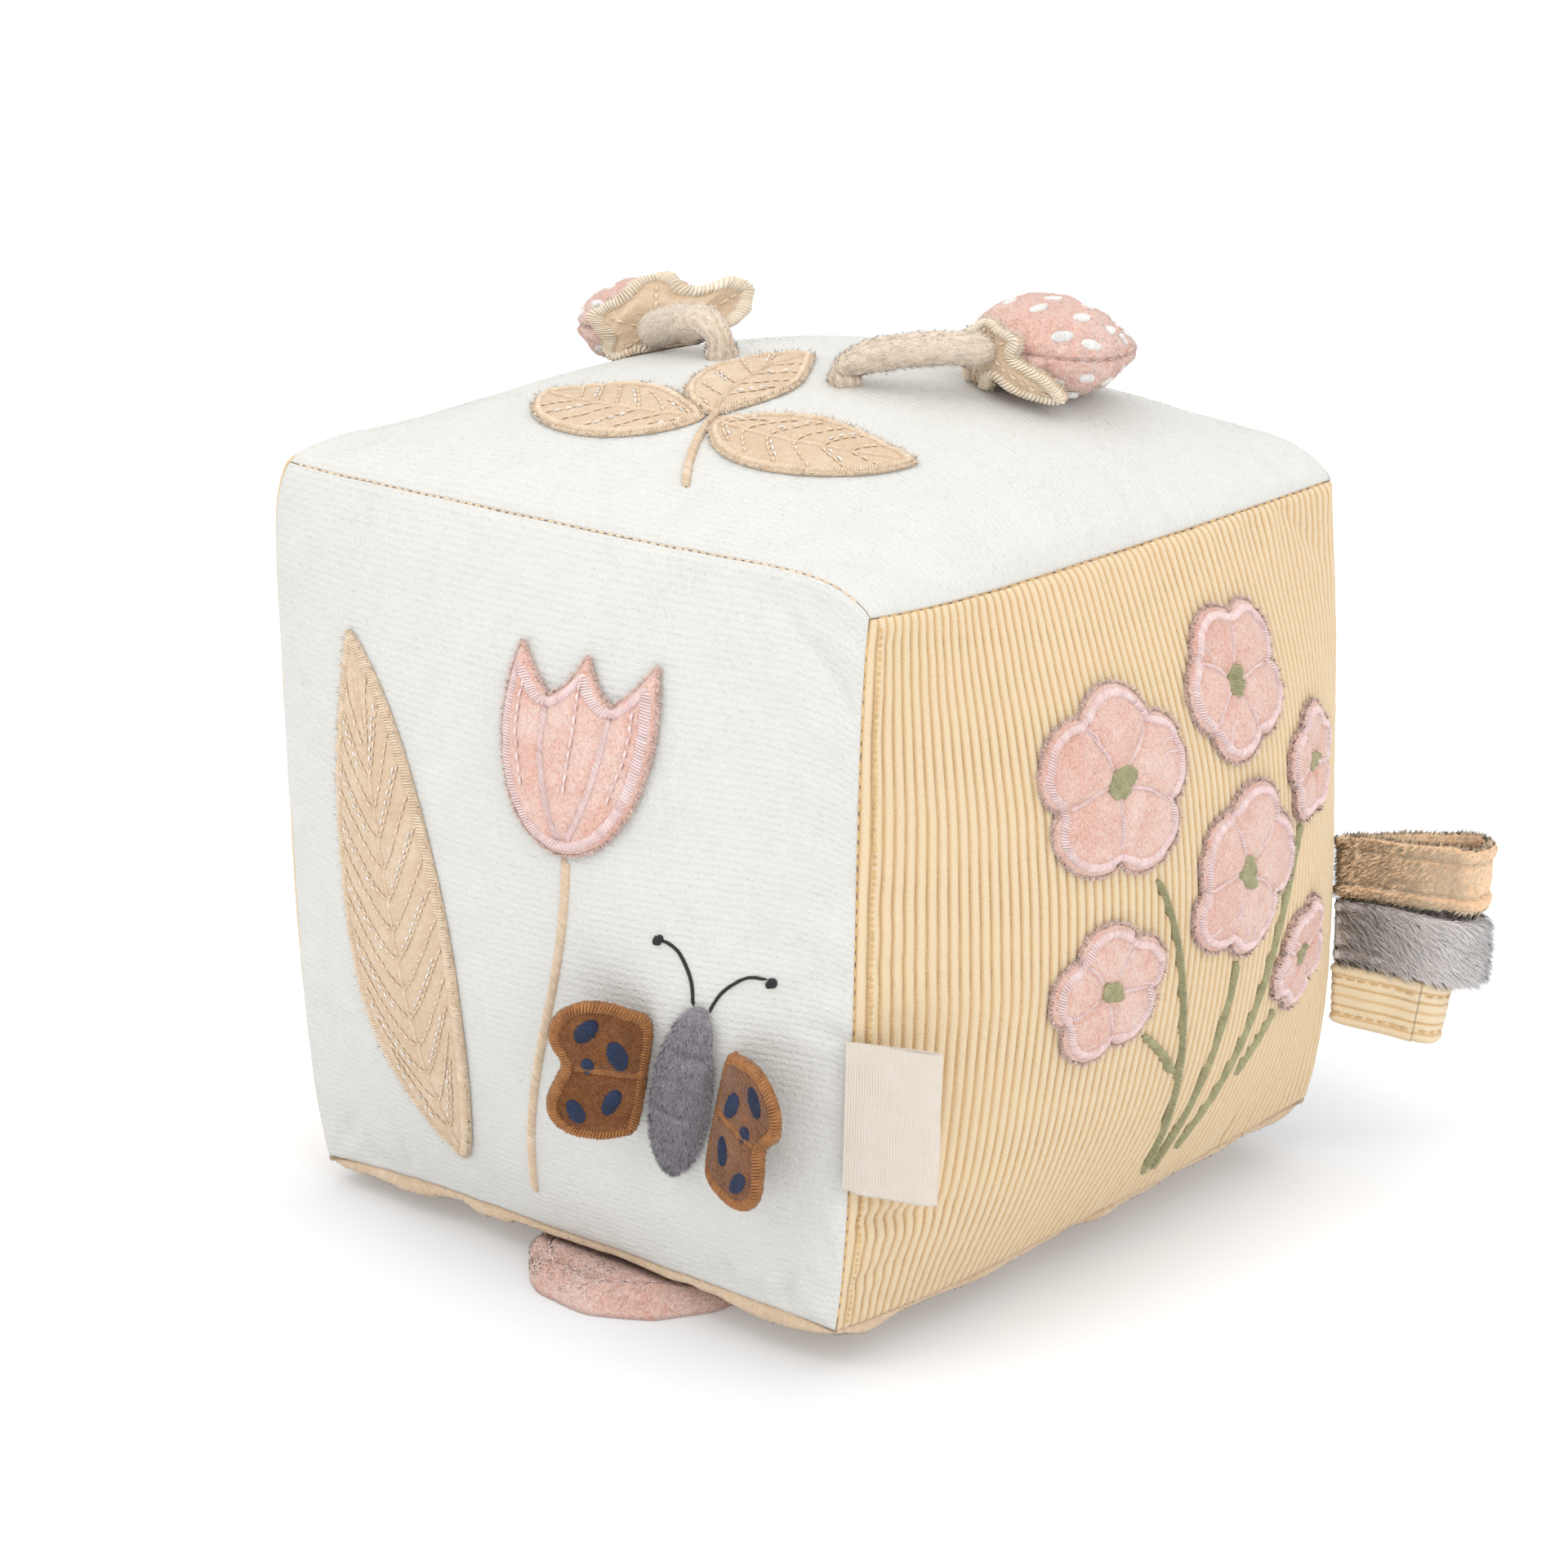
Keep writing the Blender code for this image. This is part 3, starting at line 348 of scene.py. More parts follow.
TAPE_CLOTH = woven("woven_cotton", (232, 216, 198), (255, 248, 238))


def plastic(name, colour):
    s = Stuff(name, rough=0.38, specular=0.5)
    grain = s.noise(s.place(), 1.4, 3.0, 0.5)
    c = s.mix(s.math("MULTIPLY", grain, 0.35), lin(*colour), lin(*[x * 0.86 for x in colour]))
    s.put(s.b.inputs["Base Color"], c)
    bump = s.node("ShaderNodeBump")
    bump.inputs["Strength"].default_value = 0.4
    bump.inputs["Distance"].default_value = 0.00005
    s.put(bump.inputs["Height"], grain)
    s.put(s.b.inputs["Normal"], bump.outputs[0])
    return s.m


def fibrefill(name):
    s = Stuff(name, rough=1.0, sheen=0.5, specular=0.05)
    tuft = s.noise(s.place(), 0.35, 4.0, 0.7, 1.5)
    c = s.ramp(tuft, (0.25, lin(214, 214, 212)), (0.7, lin(250, 250, 249)))
    s.put(s.b.inputs["Base Color"], c)
    bump = s.node("ShaderNodeBump")
    bump.inputs["Distance"].default_value = 0.002
    s.put(bump.inputs["Height"], tuft)
    s.put(s.b.inputs["Normal"], bump.outputs[0])
    return s.m


# =====================================================================================
# the sewn block's surface, as the solids have it
# =====================================================================================
EDGE = 150.0
MIDDLE = np.array([0.0, 0.0, 82.0])
CROWN = {"front": 17.0, "right": 19.0, "back": 16.0, "left": 17.0, "top": 21.5, "bottom": 13.0}
CORNER = {
    "tlf": (-77.5, -77.2, 160.0), "trf": (76.9, -73.5, 156.6),
    "trb": (76.8, 75.0, 153.7), "tlb": (-74.5, 74.7, 155.2),
    "blf": (-73.6, -75.1, 5.0), "brf": (72.2, -76.3, 9.2),
    "brb": (74.6, 77.4, 12.8), "blb": (-75.0, 75.5, 7.5),
}
SEAM = {
    "front_top": ("tlf", "trf", (0, -1.3, 0.1), (0, 0.5, 4.6)),
    "right_top": ("trf", "trb", (2.85, 0, -1.3), (1.9, 0, 0.2)),
    "back_top": ("tlb", "trb", (0, 1.5, 0.6), (0, 2.0, 6.5)),
    "left_top": ("tlf", "tlb", (-1.5, 0, 2.7), (-2.0, 0, 1.1)),
    "front_right": ("trf", "brf", (0.4, -2.4, 0), (3.2, -0.4, 0)),
    "front_left": ("tlf", "blf", (-3.2, -1.9, 0), (-1.9, -3.5, 0)),
    "back_right": ("trb", "brb", (0.9, 1.1, 0), (4.1, 3.0, 0)),
    "back_left": ("tlb", "blb", (-2.0, 2.0, 0), (-2.0, 2.0, 0)),
    "front_bottom": ("blf", "brf", (0, 0.1, 2.3), (0, -0.8, 1.1)),
    "right_bottom": ("brf", "brb", (2.1, 0, -1.5), (1.4, 0, 0.3)),
    "back_bottom": ("blb", "brb", (0, 1.5, 0.5), (0, 1.5, -0.5)),
    "left_bottom": ("blf", "blb", (-1.5, 0, 0.5), (-1.5, 0, 0.5)),
}
PUFF = {
    "front_left": (0, (-2.3, -0.4, 0)), "front_top": (1, (0, -0.4, 3.2)),
    "back_top": (1, (0, 0, 3.2)), "left_top": (0, (-0.5, 0, 1.5)),
}
FACE = {
    "front": (("front_bottom", 0), ("front_top", 0), ("front_left", 1), ("front_right", 1), (0, -1, 0)),
    "right": (("right_bottom", 0), ("right_top", 0), ("front_right", 1), ("back_right", 1), (1, 0, 0)),
    "back": (("back_bottom", 1), ("back_top", 1), ("back_right", 1), ("back_left", 1), (0, 1, 0)),
    "left": (("left_bottom", 1), ("left_top", 1), ("back_left", 1), ("front_left", 1), (-1, 0, 0)),
    "top": (("front_top", 0), ("back_top", 0), ("left_top", 0), ("right_top", 0), (0, 0, 1)),
    "bottom": (("back_bottom", 0), ("front_bottom", 0), ("left_bottom", 1), ("right_bottom", 1), (0, 0, -1)),
}
BESIDE = {
    "front": ("bottom", "top", "left", "right"), "right": ("bottom", "top", "front", "back"),
    "back": ("bottom", "top", "right", "left"), "left": ("bottom", "top", "back", "front"),
    "top": ("front", "back", "left", "right"), "bottom": ("back", "front", "left", "right"),
}


def seam_point(name, t, backwards=0):
    first, second, bow_a, bow_b = SEAM[name]
    t = np.asarray(t, float)[..., None]
    if backwards:
        t = 1 - t
    swell = 1 - np.abs(2 * t - 1) ** 3.5
    point = (np.array(CORNER[first]) * (1 - t) + np.array(CORNER[second]) * t
             + swell * ((1 - t) * np.array(bow_a, float) + t * np.array(bow_b, float)))
    if name in PUFF:
        end, offset = PUFF[name]
        x = np.abs(t - end) / 0.08
        point = point + x * np.exp(1 - x) * np.array(offset)
    return point


def patch(face, u, v):
    u, v = np.broadcast_arrays(np.asarray(u, float), np.asarray(v, float))
    s0, s1, s2, s3, axis = FACE[face]
    U, V = u[..., None], v[..., None]
    at = lambda s, t: seam_point(s[0], t, s[1])
    zero, one = np.array(0.0), np.array(1.0)
    p = (1 - V) * at(s0, u) + V * at(s1, u) + (1 - U) * at(s2, v) + U * at(s3, v)
    p = p - ((1 - U) * (1 - V) * at(s0, zero) + U * (1 - V) * at(s0, one)
             + (1 - U) * V * at(s1, zero) + U * V * at(s1, one))
    crown = CROWN[face] * (1 - (2 * u - 1) ** 2) * (1 - (2 * v - 1) ** 2)
    p = p + crown[..., None] * np.array(axis, float)
    if face == "bottom":
        p[..., 2] = np.maximum(p[..., 2], 0.0)
    return p


def on(face, a, b, h=0.0):
    a, b, h = np.broadcast_arrays(np.asarray(a, float), np.asarray(b, float), np.asarray(h, float))
    u, v = a / EDGE + 0.5, b / EDGE + 0.5
    p, d = patch(face, u, v), 1e-3
    n = np.cross(patch(face, u + d, v) - patch(face, u - d, v),
                 patch(face, u, v + d) - patch(face, u, v - d))
    n = n / np.linalg.norm(n, axis=-1, keepdims=True)
    return p + h[..., None] * n


# ------------------------------------------------------------------ smooth noise
def waves(x, y, seed, size, layers=3, n=7):
    """Smooth noise, about -1 to 1, with features about size mm long."""
    rng = np.random.default_rng(seed)
    x, y = np.broadcast_arrays(np.asarray(x, float), np.asarray(y, float))
    out, gain, total = np.zeros(x.shape), 1.0, 0.0
    for k in range(layers):
        for _ in range(n):
            w = rng.uniform(0, 2 * math.pi)
            f = 2 * math.pi / (size / 1.9 ** k) * rng.uniform(0.65, 1.25)
            out += gain * np.sin(x * math.cos(w) * f + y * math.sin(w) * f + rng.uniform(0, 6.28))
        total += gain * math.sqrt(n / 2)
        gain *= 0.5
    return out / (1.6 * total)


# ------------------------------------------------------------------ the finished cloth of a panel
ROLL = 2.8             # how far from a seam the cloth starts to roll into it


def groove(d):
    return 1 - np.sqrt(np.clip(1 - np.clip(1 - d / ROLL, 0, 1) ** 2, 0, 1))


def seam_depth(name, t):
    seed = 100 + sorted(SEAM).index(name)
    return 1.25 + 0.30 * waves(t * 150, 0, seed, 16, 2) * (1 - np.abs(2 * t - 1) ** 8)


PUCKER = {             # single folds: place, half length, half width, direction, depth
    "right": [((-65, -50.5), 9.0, 1.5, 0.0, -1.2), ((-65, -46.6), 8.0, 1.6, 0.1, 0.8), ((-66, -54.6), 7.0, 1.6, -0.1, 0.6),
              ((-68, -63.0), 6.0, 1.6, 0.3, -0.7), ((60, 66), 9.0, 2.2, 2.3, -0.8), ((40, -70), 6.0, 2.0, 1.5, -0.7)],
    "front": [((62, -70), 7.0, 1.7, 1.5, -1.15), ((57.5, -70), 6.0, 2.0, 1.5, 0.8), ((47, -71), 5.0, 1.6, 1.7, -1.0), ((-47, -70), 7.0, 1.8, 1.4, -1.1),
              ((-64, -66), 8.0, 2.2, 0.8, -0.9), ((66, 60), 10.0, 2.4, -0.7, -1.0), ((50, 69), 7.0, 2.2, 1.2, -0.8), ((-20, 70), 6.0, 2.4, 1.6, -0.6),
              ((-68, 30), 9.0, 2.6, 0.1, -0.7), ((70, -12), 6.0, 2.4, 0.0, -0.6)],
    "top": [((64, -62), 11.0, 2.6, 0.8, -1.0), ((-66, -66), 9.0, 2.6, 0.8, -0.9), ((20, -70), 7.0, 2.6, 1.5, -0.7), ((68, 10), 7.0, 2.6, 0.0, -0.6)],
}
RELIEF = {}            # filled by the inflation of the whole cover, if it is run


def relief(face, a, b):
    """How far the cloth of a panel stands off its smooth shape: soft hollows and puckers at its seams."""
    seed = 10 * (1 + sorted(FACE).index(face))
    out = 0.36 * waves(a, b, seed, 50, 1)
    dist = (b + 75.0, 75.0 - b, a + 75.0, 75.0 - a)
    along = (a, a, b, b)
    for k in range(4):
        d = np.clip(dist[k], 0, None)
        fold = waves(along[k], d * 0.28, seed + 1 + k, 11.0, 2)
        size = 0.34 + 0.22 * waves(along[k], 0, seed + 5 + k, 60.0, 1)
        out = out + size * fold * np.exp(-d / 9.0) * (1 - np.exp(-(d / 2.5) ** 2))
    edge = np.min(np.stack([np.clip(d, 0, None) for d in dist]), 0)
    for (pa, pb), long, wide, way, deep in PUCKER.get(face, ()):
        c, s = math.cos(way), math.sin(way)
        x, y = (a - pa) * c + (b - pb) * s, -(a - pa) * s + (b - pb) * c
        out = out + deep * np.exp(-(x / long) ** 2 - (y / wide) ** 2)
    if face in RELIEF:
        out = out + RELIEF[face](a, b)
    return out * np.clip(edge / 3.0, 0, 1)


def seam_share(face, a, b):
    d = (b + 75.0, 75.0 - b, a + 75.0, 75.0 - a)
    return np.max(np.stack([groove(np.clip(x, 0, None)) for x in d]), 0)


def cover(face, a, b, h=0.0):
    """A point h mm over a panel's finished cloth."""
    p = plain_cover(face, a, b, h)
    return roll_under(np.asarray(a, float), np.asarray(b, float), p) if face == "bottom" else p


def roll_under(a, b, p):
    """The cloth underneath hangs out a little below the seams round it before it turns in."""
    a, b = np.broadcast_arrays(a, b)
    full = np.full(a.shape, 75.0)
    for k, (d, along, at_a, at_b, out) in enumerate(((75 - b, a, a, full, (0, -1, 0)), (75 - a, b, full, b, (1, 0, 0)),
                                                     (75 + a, b, -full, b, (-1, 0, 0)), (75 + b, a, a, -full, (0, 1, 0)))):
        d = np.clip(d, 0, None)
        r = ((1.55, 0.95, 1.2, 1.2)[k] + (0.5, 0.4, 0.4, 0.4)[k] * waves(along, 0, 640 + k, 30, 2)) * np.clip((75.5 - np.abs(along)) / 8, 0.45, 1) ** 0.7
        if k == 0:
            r = np.minimum(r, 1.15 + 3 * np.clip(np.maximum(-17 - a, a - 37) / 8, 0, 1))
        bend = np.clip(d / 2.6, 0, 1) * math.pi
        edge = plain_cover("bottom", at_a, at_b, 0.0)
        hang = edge + (r * np.sin(bend))[..., None] * np.array(out, float) - (r * (1 - np.cos(bend)))[..., None] * np.array([0, 0, 1.0])
        x = np.clip((d - 2.0) / 9.0, 0, 1)
        w = (1 - x * x * (3 - 2 * x))[..., None]
        p = p * (1 - w) + hang * w
    x, y = p[..., 0], p[..., 1]
    t = np.clip((-56.5 - y) / 20.5, 0, 1)
    over = np.where((np.hypot(x - 10, y + 63.5) < 25.2) & (y < -56), 1.4 + 5.4 * t + 0.35, 0.02)
    p = p.copy()
    p[..., 2] = np.maximum(p[..., 2], over)
    return p


def plain_cover(face, a, b, h=0.0):
    a, b, h = np.broadcast_arrays(np.asarray(a, float), np.asarray(b, float), np.asarray(h, float))
    p = on(face, a, b, h + relief(face, a, b))
    d = (b + 75.0, 75.0 - b, a + 75.0, 75.0 - a)
    seams = FACE[face][:4]
    t = (a / EDGE + 0.5, a / EDGE + 0.5, b / EDGE + 0.5, b / EDGE + 0.5)
    w = [groove(np.clip(x, 0, None)) for x in d]
    own = np.array(FACE[face][4], float)
    most = np.max(np.stack(w), 0)
    k = np.zeros(a.shape)
    total = np.zeros(a.shape) + 1e-9
    for (name, backwards), ti, wi in zip(seams, t, w):
        s = seam_depth(name, 1 - ti if backwards else ti)
        k += s * (wi + 1e-6)
        total += wi + 1e-6
    k = k / total
    push = most[..., None] * own
    for other, wi in zip(BESIDE[face], w):
        push = push + wi[..., None] * np.array(FACE[other][4], float)
    p = p - (k / math.sqrt(2))[..., None] * push
    if face == "bottom":
        p[..., 2] = np.maximum(p[..., 2], 0.02)
    return p


def normal_of(surface, a, b, h=0.0, d=0.4):
    n = np.cross(surface(a + d, b, h) - surface(a - d, b, h), surface(a, b + d, h) - surface(a, b - d, h))
    return n / (np.linalg.norm(n, axis=-1, keepdims=True) + 1e-12)


# =====================================================================================
# meshes
# =====================================================================================
PIECES = {}


def make(name, co, quads=None, tris=None, stuff=None, body="block", tone=None, uv=None, more=None,
         closed=False, smooth=True, normals=None, stuffs=None, stuff_index=None):
    """A mesh object from points in mm. uv is per point in mm; more holds named values per point."""
    co = np.asarray(co, float).reshape(-1, 3)
    quads = np.zeros((0, 4), int) if quads is None else np.asarray(quads, int).reshape(-1, 4)
    tris = np.zeros((0, 3), int) if tris is None else np.asarray(tris, int).reshape(-1, 3)
    if closed:
        t = np.vstack([quads[:, [0, 1, 2]], quads[:, [0, 2, 3]], tris])
        a, b, c = co[t[:, 0]], co[t[:, 1]], co[t[:, 2]]
        if (a * np.cross(b, c)).sum() < 0:
            quads, tris = quads[:, ::-1], tris[:, ::-1]
    me = bpy.data.meshes.new(name)
    me.vertices.add(len(co))
    me.vertices.foreach_set("co", (co * MM).astype(np.float32).ravel())
    loops = np.concatenate([quads.ravel(), tris.ravel()]).astype(np.int32)
    me.loops.add(len(loops))
    me.loops.foreach_set("vertex_index", loops)
    starts = np.concatenate([np.arange(len(quads)) * 4, len(quads) * 4 + np.arange(len(tris)) * 3]).astype(np.int32)
    me.polygons.add(len(starts))
    me.polygons.foreach_set("loop_start", starts)
    me.update(calc_edges=True)
    me.validate()
    if smooth:
        me.shade_smooth()
    values = {"tone": np.ones(len(co)) if tone is None else tone}
    values.update(more or {})
    for k, v in values.items():
        layer = me.attributes.new(k, "FLOAT", "POINT")
        layer.data.foreach_set("value", np.asarray(v, np.float32).ravel())
    if uv is not None:
        layer = me.uv_layers.new(name="cloth")
        index = np.zeros(len(me.loops), np.int32)
        me.loops.foreach_get("vertex_index", index)
        layer.data.foreach_set("uv", (np.asarray(uv, float).reshape(-1, 2)[index] / 100.0).astype(np.float32).ravel())
    if normals is not None:
        me.normals_split_custom_set_from_vertices(np.asarray(normals, float).reshape(-1, 3).tolist())
    for s in (stuffs or [stuff]):
        me.materials.append(s)
    if stuff_index is not None:
        me.polygons.foreach_set("material_index", np.asarray(stuff_index, np.int32))
    ob = bpy.data.objects.new(name, me)
    scene.collection.objects.link(ob)
    if body:
        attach(ob, body)
    PIECES[name] = ob
    return ob


def grid_quads(n, m, wrap_n=False, wrap_m=False, start=0):
    i = np.arange(n if wrap_n else n - 1)
    j = np.arange(m if wrap_m else m - 1)
    I, J = np.meshgrid(i, j, indexing="ij")
    I2, J2 = (I + 1) % n, (J + 1) % m
    q = np.stack([I * m + J, I2 * m + J, I2 * m + J2, I * m + J2], -1).reshape(-1, 4)
    return q + start


def ring_solid(co, closed_path):
    """Points (n stations, m round the section) to a closed body: quads and end fans."""
    n, m = co.shape[:2]
    pts = co.reshape(-1, 3)
    quads = grid_quads(n, m, closed_path, True)
    if closed_path:
        return pts, quads, np.zeros((0, 3), int)
    k = len(pts)
    pts = np.vstack([pts, co[0].mean(0), co[-1].mean(0)])
    j = np.arange(m)
    t0 = np.stack([(j + 1) % m, j, np.full(m, k)], -1)
    t1 = np.stack([(n - 1) * m + j, (n - 1) * m + (j + 1) % m, np.full(m, k + 1)], -1)
    return pts, quads, np.vstack([t0, t1])


class Bag:
    """Several closed bits gathered into one mesh."""

    def __init__(self):
        self.co, self.q, self.t, self.tone, self.extra, self.n = [], [], [], [], {}, 0

    def add(self, co, quads, tris=None, tone=1.0):
        co = np.asarray(co, float).reshape(-1, 3)
        tri = np.zeros((0, 3), int) if tris is None else np.asarray(tris, int).reshape(-1, 3)
        quads = np.zeros((0, 4), int) if quads is None else np.asarray(quads, int).reshape(-1, 4)
        t = np.vstack([quads[:, [0, 1, 2]], quads[:, [0, 2, 3]], tri])
        mid = co.mean(0)
        a, b, c = co[t[:, 0]] - mid, co[t[:, 1]] - mid, co[t[:, 2]] - mid
        if (a * np.cross(b, c)).sum() < 0:
            quads, tri = quads[:, ::-1], tri[:, ::-1]
        self.co.append(co)
        self.q.append(quads + self.n)
        self.t.append(tri + self.n)
        self.tone.append(np.broadcast_to(np.asarray(tone, float), (len(co),)))
        self.n += len(co)

    def make(self, name, stuff, body="block"):
        return make(name, np.vstack(self.co), np.vstack(self.q), np.vstack(self.t), stuff, body, np.concatenate(self.tone))


def walker(path, closed=False):
    P = np.asarray(path, float)
    if closed:
        P = np.vstack([P, P[:1]])
    s = np.concatenate([[0], np.cumsum(np.linalg.norm(np.diff(P, axis=0), axis=1))])
    L = s[-1]

    def at(q):
        q = np.asarray(q, float)
        q = q % L if closed else np.clip(q, 0, L)
        return np.stack([np.interp(q, s, P[:, k]) for k in range(P.shape[1])], -1)
    return L, at


def spline(points, closed=False, per=14):
    """A smooth line through points."""
    P = np.asarray(points, float)
    n = len(P)
    if closed:
        idx = lambda i: P[i % n]
        spans = range(n)
    else:
        idx = lambda i: P[min(max(i, 0), n - 1)]
        spans = range(n - 1)
    out = []
    for i in spans:
        p0, p1, p2, p3 = idx(i - 1), idx(i), idx(i + 1), idx(i + 2)
        for k in range(per):
            t = k / per
            out.append(0.5 * (2 * p1 + (p2 - p0) * t + (2 * p0 - 5 * p1 + 4 * p2 - p3) * t * t
                              + (3 * p1 - p0 - 3 * p2 + p3) * t ** 3))
    if not closed:
        out.append(P[-1])
    return np.array(out)


def bezier(p0, p1, p2, p3, n):
    t = np.linspace(0, 1, n)[:, None]
    p0, p1, p2, p3 = (np.array(p, float) for p in (p0, p1, p2, p3))
    return (1 - t) ** 3 * p0 + 3 * t * (1 - t) ** 2 * p1 + 3 * t * t * (1 - t) * p2 + t ** 3 * p3


def inside(points, polygon):
    """Which points lie inside a polygon."""
    x, y = points[:, 0], points[:, 1]
    out = np.zeros(len(points), bool)
    q = np.roll(polygon, -1, 0)
    for (x0, y0), (x1, y1) in zip(polygon, q):
        hit = ((y0 > y) != (y1 > y)) & (x < (x1 - x0) * (y - y0) / (y1 - y0 + 1e-12) + x0)
        out ^= hit
    return out


def distance_to(points, line, closed=False):
    """Distance from each point to a line of points."""
    P = np.asarray(line, float)
    A, B = (P, np.roll(P, -1, 0)) if closed else (P[:-1], P[1:])
    d = B - A
    L = (d ** 2).sum(1) + 1e-12
    flat = points.reshape(-1, points.shape[-1])
    best = np.full(len(flat), 1e9)
    for k in range(0, len(flat), 20000):
        part = flat[k:k + 20000]
        t = np.clip(((part[:, None] - A) * d).sum(-1) / L, 0, 1)
        q = A + t[..., None] * d
        best[k:k + 20000] = np.sqrt(((part[:, None] - q) ** 2).sum(-1).min(1))
    return best.reshape(points.shape[:-1])


# ------------------------------------------------------------------ embroidery
def satin_rows(surface, path, width, height, base, pitch=0.5, shear=0.4, closed=False, seed=1, rows=7, sink=0.55, blunt=0.8):
    """Points of a satin stitch: threads laid side by side across a path, each with its own bulge."""
    rng = np.random.default_rng(seed)
    L, at = walker(path, closed)
    threads = max(4, int(round(L / pitch)))
    n = threads * 4
    s = np.arange(n) * L / n if closed else np.linspace(0, L, n + 1)
    x = np.linspace(-1, 1, rows)
    x = np.sign(x) * np.abs(x) ** 0.85
    S, X = np.meshgrid(s, x, indexing="ij")
    thread_id = (np.round(s / L * threads * 4).astype(int) // 4) % threads
    wide = width(s / L) if callable(width) else np.full(len(s), float(width))
    ends = np.ones(len(s)) if closed else np.clip(np.minimum(s, L - s) / blunt, 0, 1) ** 0.5
    wide = wide * (1 + 0.06 * rng.standard_normal(threads)[thread_id])
    Q = S + shear * X
    P = at(Q)
    D = at(Q + 0.2) - at(Q - 0.2)
    D /= np.linalg.norm(D, axis=-1, keepdims=True) + 1e-9
    N = np.stack([-D[..., 1], D[..., 0]], -1)
    bulge = np.array([0.60, 0.94, 1.0, 0.94])[np.arange(len(s)) % 4]
    flat = P + N * X[..., None] * (wide / 2 * (0.35 + 0.65 * ends))[:, None, None]
    under = base(flat.reshape(-1, 2)).reshape(X.shape) if callable(base) else np.full(X.shape, float(base))
    H = under - sink + (height + sink) * np.sqrt(np.clip(1 - X ** 2, 0, 1)) ** 0.75 * (bulge * ends)[:, None]
    H = np.where(np.abs(X) > 0.999, under - sink, H)
    top = surface(flat[..., 0], flat[..., 1], H)
    low = surface(P[:, rows // 2, 0], P[:, rows // 2, 1], under[:, rows // 2] - sink - 0.1)
    co = np.concatenate([top, low[:, None]], 1)
    # each thread's tone varies at random; its first point, in the valley between it and the next thread, is painted
    # 0.76 darker: painted shade between the threads
    tone = (1 + 0.05 * rng.standard_normal(threads)[thread_id]) * np.where(np.arange(len(s)) % 4 == 0, 0.76, 1.0)
    return co, np.repeat(tone, rows + 1)


def satin(name, surface, path, width, height, base, stuff, body="block", closed=False, **kw):
    co, tone = satin_rows(surface, path, width, height, base, closed=closed, **kw)
    pts, quads, tris = ring_solid(co, closed)
    tone = np.concatenate([tone, np.ones(len(pts) - len(tone))])
    return make(name, pts, quads, tris, stuff, body, tone, closed=True)


def satin_into(bag, surface, path, width, height, base, closed=False, **kw):
    co, tone = satin_rows(surface, path, width, height, base, closed=closed, **kw)
    pts, quads, tris = ring_solid(co, closed)
    bag.add(pts, quads, tris, np.concatenate([tone, np.ones(len(pts) - len(tone))]))


def stitches_into(bag, surface, path, length, gap, radius, base, closed=False, seed=1, lift=0.25, jitter=0.12, flat=0.75):
    """A row of single stitches along a path."""
    rng = np.random.default_rng(seed)
    L, at = walker(path, closed)
    count = max(1, int(L // (length + gap)))
    step = L / count
    size = np.array([0.35, 0.85, 1.0, 0.85, 0.35])
    ring = np.arange(6) * math.pi / 3
    for k in range(count):
        s0 = k * step + rng.normal(0, jitter * gap)
        s = s0 + np.linspace(0, length * (1 + jitter * rng.normal()), 5)
        P = at(s)
        D = at(s + 0.1) - at(s - 0.1)
        D /= np.linalg.norm(D, axis=-1, keepdims=True) + 1e-9
        N = np.stack([-D[:, 1], D[:, 0]], -1)
        arch = (base(P) if callable(base) else base) + lift * np.sin(np.linspace(0, math.pi, 5))
        x = radius * size[:, None] * np.cos(ring)[None]
        z = radius * flat * size[:, None] * np.sin(ring)[None] + arch[:, None]
        q = P[:, None] + N[:, None] * x[..., None]
        co = surface(q[..., 0], q[..., 1], z)
        pts, quads, tris = ring_solid(co, False)
        bag.add(pts, quads, tris, 1 + 0.05 * rng.standard_normal())


def stitches(name, surface, path, length, gap, radius, base, stuff, body="block", **kw):
    bag = Bag()
    stitches_into(bag, surface, path, length, gap, radius, base, **kw)
    return bag.make(name, stuff, body)


